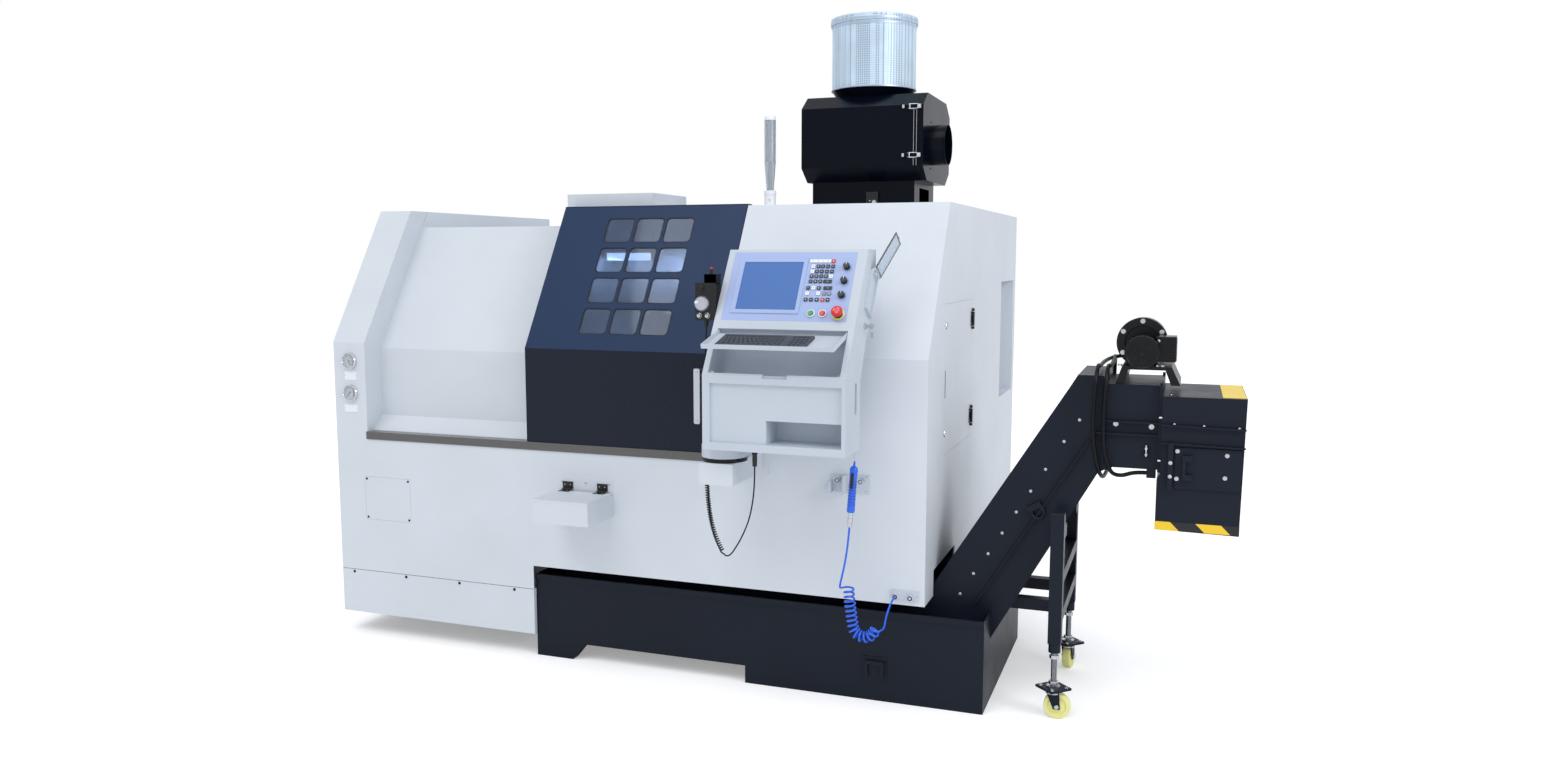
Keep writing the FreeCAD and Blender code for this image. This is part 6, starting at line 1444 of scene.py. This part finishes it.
class LATHE_OT_air_tools(bpy.types.Operator):
    """Build the air gun and the couplings on its holder and port plate"""
    bl_idname = "lathe.air_tools"
    bl_label = "Air gun and couplings"

    def execute(self, context):
        place = Matrix.Translation(GUN_TOP) @ Matrix.Rotation(GUN_TILT, 4, 'Y')
        gun = Piece("blow_gun")
        gun.turn([(0, -0.5), (2.4, -0.5), (3.2, -4), (4.2, -16), (10, -20), (13.6, -26), (14, -34),
                  (12.6, -60), (12.4, -120), (13.4, -160), (14, -170), (12, -177), (9, -178)],
                 "hose_plastic", place, 32)
        gun.turn([(9, -178), (9, -184), (7.6, -185), (7.6, -196), (9, -197), (9, -214), (7.4, -216),
                  (7.4, -227.6), (0, -227.6)], "fitting_steel", place, 28)
        for k in range(9):
            gun.sweep(arc_on(place, 13.2, -70 - 10 * k, range(0, 360, 20)), 1.0, "gun_plastic", 6,
                      True)
        gun.block(-4.5, 4.5, -19, -11, -92, -40, "knob_plastic", 2.0, place)
        gun.done("pendant", ("air_gun",))
        fit = Piece("air_couplings")
        x, z = HOLDER
        for dx in (-42.0, 44.0):
            face = facing((x + dx, -4, z), FORWARD)
            fit.prism(circle(9.4, 6), 0, 7, "fitting_steel", 0.7, face)
            fit.turn([(0, 7), (8.2, 7), (8.6, 9), (8.6, 20), (7.4, 22), (7.4, 26), (5, 26), (5, 20),
                      (0, 20)], "gauge_chrome", face, 28)
        across, up = SOCKETS
        for dx in (-33.0, 21.0):
            face = facing((across + dx, -5, up), FORWARD)
            fit.turn([(0, 0), (10.4, 0), (10.4, 5), (9, 6), (9, 11), (10.4, 12), (10.4, 15.4),
                      (8.6, 16), (5, 16), (5, 12), (0, 12)], "gauge_chrome", face, 28)
            for k in range(18):
                fit.block(10.0, 10.9, -0.5, 0.5, 12.4, 15.0, "gauge_chrome", 0, spun(face, 20 * k))
        screws(fit, [(across + dx, -5, up + 4) for dx in (-46, 44)], FORWARD, 3.2)
        screws(fit, [(x + dx, -4, z + dz) for dx in (-60, 60) for dz in (-40, 10)], FORWARD, 3.4)
        fit.done("machine")
        return {'FINISHED'}


# ------------------------------------------------------------------ chip conveyor
CLIMB_BOLTS = ((3037, 1046), (2987, 968), (2927, 866), (2878, 785), (2830, 706), (2782, 626),
               (2734, 546), (2683, 468), (2636, 388))
HEAD_BOLTS = ((3157, 1039), (3273, 1034))
CONVEYOR_FRONT, CONVEYOR_REAR = 160.0, 530.0
HOOD_SIDES = (3306.0, 3568.0, 125.0, 570.0)
HOOD_TOP = 1143.0
RIB_SCREWS = ((3346, 1052), (3438, 1050), (3546, 1047))
PLATE_SCREWS = ((3359, 962), (3513, 955), (3509, 880), (3359, 869))
TENSION_SCREW = (3259.0, 152.0, 932.0, 972.0)         # x, y, bottom, top
FLANGE_SCREWS = (3296.0, 3326.0, 132.0)               # left, right, y
LIFTING_RING, RING_TILT = (2906.0, 148.0, 712.0), math.radians(58.0)
CHUTE_BAND = (689.5, 719.0)                           # bottom and top of the stripes
YELLOW_PLATE = (3493.0, 3566.0, 148.0, 562.0)
MOTOR_AXIS = (3233.0, 1284.0)
TERMINAL_BOX = (3279.0, 3341.0, 210.0, 300.0, 1250.0, 1330.0)


class LATHE_OT_conveyor_trim(bpy.types.Operator):
    """Bolt the conveyor's flanges and hang its lifting ring"""
    bl_idname = "lathe.conveyor_trim"
    bl_label = "Conveyor bolts"

    def execute(self, context):
        bolts = Piece("conveyor_bolts")
        for x, z in CLIMB_BOLTS:
            bolts.bolt((x, CONVEYOR_FRONT, z), FORWARD, 3.8, "fitting_steel", True, "round")
            bolts.bolt((x, CONVEYOR_REAR, z), BACKWARD, 3.8, "fitting_steel", True, "round")
        for x, z in HEAD_BOLTS:
            bolts.bolt((x, CONVEYOR_FRONT, z), FORWARD, 6.5, "fitting_steel")
        x, y, low, high = TENSION_SCREW
        bolts.rod((x, y, low), (x, y, high), 3.6, "bolt_steel", 14)
        for z, way in ((low + 12, DOWNWARD), (low + 26, UPWARD)):
            bolts.bolt((x, y, z), way, 7.5, "bolt_steel")
        left, right, y = FLANGE_SCREWS
        for z in (924, 1070):
            bolts.rod((left, y, z), (right, y, z), 3.4, "bolt_steel", 12)
            bolts.bolt((left + 10, y, z), RIGHTWARD, 7.0, "bolt_steel", False, "hex")
        bolts.done("machine")
        ring = Piece("lifting_ring")
        place = Matrix.Translation(LIFTING_RING) @ Matrix.Rotation(RING_TILT, 4, 'Y')
        loop = [place @ Vector((a, 0, b)) for a, b in circle(21, 30)]
        ring.sweep(loop, 6.0, "graphite_paint", 12, True)
        ring.block(-34, -14, -5, 5, -26, 26, "graphite_paint", 2.0, place)
        ring.done("machine")
        return {'FINISHED'}


class LATHE_OT_hood_trim(bpy.types.Operator):
    """Fit the hood's screws, its warning stripes and the plain yellow plate"""
    bl_idname = "lathe.hood_trim"
    bl_label = "Hood screws and stripes"

    def execute(self, context):
        x0, x1, y0, y1 = HOOD_SIDES
        bolts = Piece("hood_bolts")
        for x, z in RIB_SCREWS:
            bolts.bolt((x, y0 - 8, z), UPWARD, 5.0, "fitting_steel")
        for x, z in PLATE_SCREWS:
            bolts.bolt((x, y0 - 6, z), FORWARD, 5.2, "fitting_steel")
        for z in (878, 924):
            bolts.bolt((3338, y0 - 24, z), FORWARD, 4.6, "fitting_steel", True, "socket")
        for y in (y0 + 60, y1 - 60):
            bolts.bolt((3330, y, HOOD_TOP), UPWARD, 5.0, "bolt_steel", False, "round")
        bolts.done("machine")
        band = Piece("chute_stripes")
        left, right = x0 - 10, x1 - 8
        low, high = CHUTE_BAND
        band.block(left + 0.5, right - 0.2, y0 - 0.5, y0 + 0.4, low, high, "warning_stripe", 0)
        band.block(left + 0.5, right - 0.2, y1 - 0.4, y1 + 0.5, low, high, "warning_stripe", 0)
        band.block(right - 0.5, right + 1.0, y0 + 0.5, y1 - 0.5, low - 2, high, "warning_stripe", 0)
        band.block(left - 0.5, left + 0.5, y0 + 0.5, y1 - 0.5, low, high, "warning_stripe", 0)
        band.done("machine")
        plate = Piece("hood_plate")
        x0, x1, y0, y1 = YELLOW_PLATE
        corners = [(x0, y0), (x1, y0), (x1, y1), (x0, y1)]
        plate.prism(corners, HOOD_TOP, HOOD_TOP + 0.8, "yellow_plate", 0.2)
        plate.done("machine")
        return {'FINISHED'}


class LATHE_OT_motor_trim(bpy.types.Operator):
    """Fit the motor's fan grille, cooling fins, ribbed box and bolts"""
    bl_idname = "lathe.motor_trim"
    bl_label = "Motor details"

    def execute(self, context):
        mx, mz = MOTOR_AXIS
        trim = Piece("motor_details")
        face = facing((mx, 150, mz), FORWARD)
        trim.turn([(56.6, -50), (56.6, -2), (54, 0.8), (51, 1.0), (50, 0.4)], "motor_paint", face, 56)
        for r in (12, 20, 28, 36, 44):
            trim.sweep(arc_on(face, r, 0.9, range(0, 360, 15)), 1.3, "motor_paint", 6, True)
        for k in range(8):
            trim.block(8, 50, -1.1, 1.1, 0, 1.4, "motor_paint", 0.2, spun(face, 45 * k))
        trim.turn([(9, 0), (9, 2.0), (7, 2.6), (0, 2.6)], "motor_paint", face, 24)
        for k in range(36):
            trim.block(51.5, 57, -0.9, 0.9, -128, -52, "motor_paint", 0.3, spun(face, 10 * k), 1)
        x0, x1, y0, y1, z0, z1 = TERMINAL_BOX
        trim.block(x0 - 4, x1 + 1, y0 - 2, y1 + 2, z1 - 1, z1 + 6, "motor_paint", 1.5)
        for k in range(9):
            z = z0 + 4 + k * (z1 - z0 - 10) / 8
            trim.block(x0 + 22, x1 + 2.5, y0 - 2.5, y1 + 2.5, z, z + 3.2, "motor_paint", 0.5)
        trim.rod((x0 + 30, y1 - 2, z0 + 40), (x0 + 30, y1 + 20, z0 + 40), 11.0, "knob_plastic", 20)
        gear = facing((mx - 6, 330, mz + 24), FORWARD)
        trim.turn([(56, 0), (84, 0), (86, 2), (86, 9), (84, 11), (58, 11)], "motor_paint", gear, 64)
        for spot in arc_on(gear, 74, 11, range(30, 390, 60)):
            trim.bolt(spot, FORWARD, 6.0, "bolt_steel")
        lug = facing((mx, 336, mz + 106), UPWARD)
        trim.block(-9, 9, -5, 5, -3, 6, "bolt_steel", 1.2, lug)
        for x in (mx - 70, mx + 50, mx + 66):
            trim.bolt((x, 186, mz - 48), UPWARD, 6.5, "bolt_steel")
        trim.bolt((x0 + 6, y0 - 2.5, z1 - 8), FORWARD, 4.5, "bolt_steel", False, "round")
        trim.done("machine")
        return {'FINISHED'}


# ------------------------------------------------------------------ stand on castors
CASTORS = (("front_wheel", "caster_wheel_front", 86.5, 0.0),
           ("rear_wheel", "caster_wheel_rear", 603.5, 80.0))
STAND_X = 2983.0


class LATHE_OT_castors(bpy.types.Operator):
    """Build the castor wheels, the threaded jacks and the tube caps"""
    bl_idname = "lathe.castors"
    bl_label = "Castors and jacks"

    def execute(self, context):
        for body, cad_node, y, angle in CASTORS:
            axle = self.axle(y, angle)
            wheel = Piece(body + "_tyre")
            wheel.turn([(5.3, -15), (16, -15), (16, -13), (30, -11), (33, -14.6), (43, -14.6),
                        (45.4, -12), (46, -8), (46, 8), (45.4, 12), (43, 14.6), (33, 14.6),
                        (30, 11), (16, 13), (16, 15), (5.3, 15)], "wheel_plastic", axle, 64)
            for k in range(6):
                for low, high in ((-12.6, 0), (0, 12.6)):
                    wheel.block(15, 32, -1.4, 1.4, low, high, "wheel_plastic", 0.4, spun(axle, 60 * k))
            wheel.done(body, (cad_node,))
        jacks = Piece("jack_screws")
        caps = Piece("leg_caps")
        thread = [(10.0, 113)]
        for k in range(48):
            thread += [(10.4, 114 + 2.5 * k), (9.4, 115.25 + 2.5 * k)]
        thread += [(10.0, 235)]
        for _, _, y, angle in CASTORS:
            leg = Matrix.Translation((STAND_X, y, 0))
            jacks.turn(thread, "fitting_steel", leg, 20, NO_CREASE)
            for z in (121, 214):
                jacks.prism(circle(17, 6), z, z + 12, "fitting_steel", 1.2, leg)
            jacks.turn([(10, 112.2), (24, 112.2), (24, 116), (10, 116)], "fitting_steel", leg, 28)
            for dx, dy in ((44, 0), (-44, 0), (0, 44), (0, -44)):
                jacks.bolt((STAND_X + dx, y + dy, 112.2), UPWARD, 5.5, "fitting_steel")
            jacks.turn([(25, 88), (27, 90), (27, 94), (25, 96)], "fitting_steel", spun(leg, angle), 28)
            axle = self.axle(y, angle)
            for end in (-1, 1):
                jacks.turn([(0, 20 * end), (8, 20 * end), (8, 24 * end), (6.5, 26 * end), (0, 26 * end)],
                           "fitting_steel", axle, 16)
            caps.block(STAND_X - 22.3, STAND_X + 22.3, y - 22.3, y + 22.3, 727.6, 731.0,
                       "seal_rubber", 1.6)
        jacks.done("machine")
        caps.done("machine")
        return {'FINISHED'}

    def axle(self, y, angle):
        """Place of a wheel's axle, whose fork is turned by an angle."""
        return (spun(Matrix.Translation((STAND_X, y, 0)), angle) @ Matrix.Translation((14, 0, 46))
                @ Matrix.Rotation(math.pi / 2, 4, 'X'))


# ------------------------------------------------------------------ mist collector
DRUM = (2100.0, 880.0, 2292.0)
COLLECTOR_FRONT = 650.0
COVER_JOINT = 2334.0
LATCH_HEIGHTS = (2007.0, 2196.0)
INLET = (800.0, 2056.0)


class LATHE_OT_collector_trim(bpy.types.Operator):
    """Fit the collector's latches, hem, filter bands and screws"""
    bl_idname = "lathe.collector_trim"
    bl_label = "Mist collector details"

    def execute(self, context):
        throw = context.scene.lathe_trim.latch_throw / MM
        latch = Piece("toggle_latches")
        for z in LATCH_HEIGHTS:
            place = facing((COVER_JOINT, COLLECTOR_FRONT - 5, z), FORWARD)
            latch.block(-throw * 0.32, throw * 0.12, -11, 11, 0, 2.2, "gauge_chrome", 0.7, place)
            latch.prism([(-throw * 0.3, -9), (-throw * 0.3, 9), (-throw * 0.62, 5), (-throw * 0.62, -5)],
                        2.0, 6.4, "gauge_chrome", 1.0, place)
            latch.block(-throw * 0.7, -throw * 0.58, -6.5, 6.5, 1, 8.6, "gauge_chrome", 1.6, place)
            loop = [(-throw * 0.3, -8.4, 6), (throw * 0.14, -8.4, 5), (throw * 0.2, -6, 5),
                    (throw * 0.2, 6, 5), (throw * 0.14, 8.4, 5), (-throw * 0.3, 8.4, 6)]
            latch.sweep([place @ Vector(p) for p in loop], 1.4, "gauge_chrome", 8)
            latch.rod(place @ Vector((-throw * 0.3, -11, 5)), place @ Vector((-throw * 0.3, 11, 5)), 2.6,
                      "gauge_chrome", 12)
            latch.block(throw * 0.1, throw * 0.3, -8, 8, 0, 4.4, "gauge_chrome", 1.0, place)
            screws(latch, [place @ Vector((throw * 0.22, d, 4.2)) for d in (-4, 4)], FORWARD, 2.2)
        latch.done("machine")
        trim = Piece("collector_seams")
        for x in (COVER_JOINT - 9, COVER_JOINT + 2.6):
            trim.block(x, x + 1.6, COLLECTOR_FRONT - 0.7, COLLECTOR_FRONT + 0.3, 1967, 2203,
                       "fitting_steel", 0.2)
        y, z = INLET
        face = facing((COVER_JOINT + 28, y, z), RIGHTWARD)
        for lift in (64, 70):
            trim.turn([(79.6, lift), (81.4, lift + 1), (81.4, lift + 3.2), (79.6, lift + 4.2)],
                      "black_paint", face, 64)
        screws(trim, [(COVER_JOINT + 30.2, y + a, z + b) for a, b in circle(92, 6, 30)], RIGHTWARD,
               4.0, "black_paint")
        trim.done("machine")
        self.drum()
        self.foot()
        return {'FINISHED'}

    def drum(self):
        """Bands round the filter drum, its seam and the bolted lid."""
        x, y, base = DRUM
        place = Matrix.Translation(DRUM)
        drum = Piece("filter_bands")
        for band in ([(174.2, 0.4), (177.5, 1), (177.5, 6), (174.2, 8)],
                     [(174.2, 250), (175.4, 251), (175.4, 256), (174.2, 257)],
                     [(180.2, 268), (181.6, 270), (181.6, 276), (180.2, 278)]):
            drum.turn(band, "zinc", place, 96)
        drum.block(-3.5, 3.5, -175.6, -173.8, 8, 262, "zinc", 0.5, spun(place, 128))
        drum.turn([(0, 290), (60, 290), (60, 293), (52, 296), (0, 296)], "zinc", place, 48)
        for dx, dy in circle(150, 8, 10):
            drum.bolt((x + dx, y + dy, base + 290), UPWARD, 6.0, "bolt_steel")
        drum.done("machine")

    def foot(self):
        """Screws of the stand and a junction box with its gland on the roof."""
        foot = Piece("collector_feet")
        for x in (1904, 2098, 2292):
            for y, out in ((728.0, -1), (1097.0, 1)):
                foot.turn([(0, 0), (8, 0), (8, 1.5), (3.4, 3), (2.2, 14), (0, 15)], "bolt_steel",
                          facing((x, y + out * 2.2, 1806.6), UPWARD), 16)
        foot.block(2116, 2166, 716, 734, 1812, 1870, "knob_plastic", 2.0)
        foot.bolt((2150, 716, 1828), FORWARD, 6.5, "bolt_steel")
        foot.bolt((2132, 716, 1834), FORWARD, 3.0, "bolt_steel", False, "round")
        foot.done("machine")


# ------------------------------------------------------------------ signal tower
TOWER = (1776.0, 500.0)


class LATHE_OT_signal_lamp(bpy.types.Operator):
    """Build the signal tower: foot, clear cone, lens column and cap"""
    bl_idname = "lathe.signal_lamp"
    bl_label = "Signal tower"

    def execute(self, context):
        x, y = TOWER
        tower = Piece("signal_lamp")
        place = Matrix.Translation((x, y, CASE_HEIGHT))
        tower.turn([(0, 0), (25, 0), (25, 5), (24, 7), (23.4, 9), (23.4, 46), (25, 48), (25, 62),
                    (23.5, 64), (12, 64)], "key_white", place, 48)
        tower.turn([(12, 64), (14.6, 66), (15, 70), (22.6, 172), (23, 178), (20.6, 178), (20, 172),
                    (12.6, 70), (12, 66)], "tower_plastic", place, 48)
        core = [(0, 66), (8, 66), (8, 110), (9.5, 112), (9.5, 178), (17.4, 180)]
        for k in range(21):
            z = 182 + 7.4 * k
            core += [(17.4, z), (18.6, z + 1.4), (18.6, z + 4.4), (17.4, z + 5.8)]
        core += [(17.4, 340), (0, 340)]
        tower.turn(core, "tower_lens", place, 32, NO_CREASE)
        tower.turn([(23, 178), (23, 342), (21.2, 342), (21.2, 178)], "tower_plastic", place, 48)
        tower.turn([(0, 341), (23.4, 341), (23.4, 352), (21, 357), (0, 358)], "key_white", place, 48)
        tower.bolt((x + 7, y - 24.2, CASE_HEIGHT + 28), (0.25, -1, 0), 3.4, "bolt_steel", False, "round")
        tower.done("machine", ("signal_tower",))
        return {'FINISHED'}


# ------------------------------------------------------------------ inside the work chamber
class LATHE_OT_chamber_tools(bpy.types.Operator):
    """Dress the turret with tool holders and the chuck with its screws"""
    bl_idname = "lathe.chamber_tools"
    bl_label = "Turret tools and chuck screws"

    def execute(self, context):
        first, last = box_of("turret_disc")
        low = first.x
        _, cy, cz = (first + last) / 2
        tools = Piece("turret_tools")
        for k in range(8):
            place = (Matrix.Translation((0, cy, cz)) @ Matrix.Rotation(math.radians(45 * k), 4, 'X'))
            tools.block(low - 4, low + 2, -34, 34, 84, 136, "key_steel", 1.5, place)
            for dy in (-24, 24):
                for dz in (94, 126):
                    tools.bolt(place @ Vector((low - 4, dy, dz)), LEFTWARD, 6.0, "bolt_steel", False,
                               "socket")
            if k % 2:
                tools.turn([(0, 0), (20, 0), (20, 14), (16, 18), (9, 20), (9, 34), (0, 34)],
                           "key_steel", place @ Matrix.Translation((low + 34, 0, 148)), 28)
            else:
                tools.block(low + 12, low + 30, -9, 9, 188, 190.6, "yellow_plate", 0.6, place)
        tools.turn([(0, -6), (40, -6), (44, -3), (44, 1), (0, 1)], "ground_steel",
                   facing((low, cy, cz), RIGHTWARD), 48)
        tools.done("tool_disc")
        face = box_of("spindle")[1].x
        y, z = SPINDLE
        ring = Piece("chuck_screws")
        for a, b in circle(88, 6):
            ring.bolt((face, y + a, z + b), RIGHTWARD, 6.5, "bolt_steel", False, "socket")
        ring.done("main_spindle")
        return {'FINISHED'}


# ------------------------------------------------------------------ cabinet's rear
class LATHE_OT_cabinet_rear(bpy.types.Operator):
    """Fit the rear door's locks, the filter grilles and the louvre"""
    bl_idname = "lathe.cabinet_rear"
    bl_label = "Cabinet rear fittings"

    def execute(self, context):
        rear, left = 2082.3, 1024.0
        trim = Piece("cabinet_fittings")
        for z in (700, 1560):
            face = facing((left + 6, rear, z), BACKWARD)
            trim.turn([(0, 0), (15, 0), (15, 2.2), (13, 4.8), (9, 5.4), (9, 4), (0, 4)],
                      "gauge_chrome", face, 36)
            trim.block(-1.6, 1.6, -6, 6, 3.8, 4.6, "slot_shadow", 0.2, face)
        for x in (1260, 2200):
            for z in (620, 1560):
                trim.block(x, x + 170, rear - 0.2, rear + 6, z - 85, z + 85, "key_grey", 3.0)
                for k in range(12):
                    w = z - 66 + k * 12
                    trim.block(x + 14, x + 156, rear + 5.4, rear + 7.4, w - 1.8, w + 1.8,
                               "seal_rubber", 0.4)
        for k in range(14):
            z = 1000 + k * 18
            trim.block(1700, 1940, rear - 0.2, rear + 3.2, z, z + 7, "white_paint", 1.2)
            trim.block(1704, 1936, rear + 0.2, rear + 0.9, z - 2.6, z, "slot_shadow", 0)
        trim.done("machine")
        return {'FINISHED'}


class LATHE_PT_dressing(bpy.types.Panel):
    """Lists what dresses the lathe"""
    bl_label = "Turning lathe"
    bl_idname = "LATHE_PT_dressing"
    bl_space_type = 'VIEW_3D'
    bl_region_type = 'UI'
    bl_category = "Lathe"

    def draw(self, context):
        layout = self.layout
        for group in (context.scene.lathe_stage, context.scene.lathe_trim,
                      context.scene.lathe_cords):
            box = layout.box()
            for name in group.bl_rna.properties.keys():
                if name not in ("rna_type", "name"):
                    box.prop(group, name)
        for operator in OPERATORS:
            layout.operator(operator.bl_idname)


SETTINGS = {"lathe_stage": LatheStageSettings, "lathe_trim": LatheTrimSettings,
            "lathe_cords": LatheCordSettings}
OPERATORS = (LATHE_OT_stage, LATHE_OT_cords, LATHE_OT_finishes, LATHE_OT_cover_trim,
             LATHE_OT_gauges, LATHE_OT_door_trim, LATHE_OT_chamber_lamp, LATHE_OT_pendant_screen,
             LATHE_OT_pendant_keys, LATHE_OT_pendant_knobs, LATHE_OT_pendant_buttons,
             LATHE_OT_keyboard, LATHE_OT_handwheel, LATHE_OT_pendant_side, LATHE_OT_side_panel,
             LATHE_OT_service_box, LATHE_OT_air_tools, LATHE_OT_conveyor_trim, LATHE_OT_hood_trim,
             LATHE_OT_motor_trim, LATHE_OT_castors, LATHE_OT_collector_trim,
             LATHE_OT_signal_lamp, LATHE_OT_chamber_tools, LATHE_OT_cabinet_rear)


def register():
    for group in SETTINGS.values():
        bpy.utils.register_class(group)
    for operator in OPERATORS:
        bpy.utils.register_class(operator)
    bpy.utils.register_class(LATHE_PT_dressing)
    for name, group in SETTINGS.items():
        setattr(bpy.types.Scene, name, PointerProperty(type=group))


def unregister():
    for name in SETTINGS:
        delattr(bpy.types.Scene, name)
    bpy.utils.unregister_class(LATHE_PT_dressing)
    for operator in reversed(OPERATORS):
        bpy.utils.unregister_class(operator)
    for group in SETTINGS.values():
        bpy.utils.unregister_class(group)


def main():
    register()
    for operator in OPERATORS:
        family, name = operator.bl_idname.split(".")
        getattr(getattr(bpy.ops, family), name)()


if __name__ == "__main__":
    main()
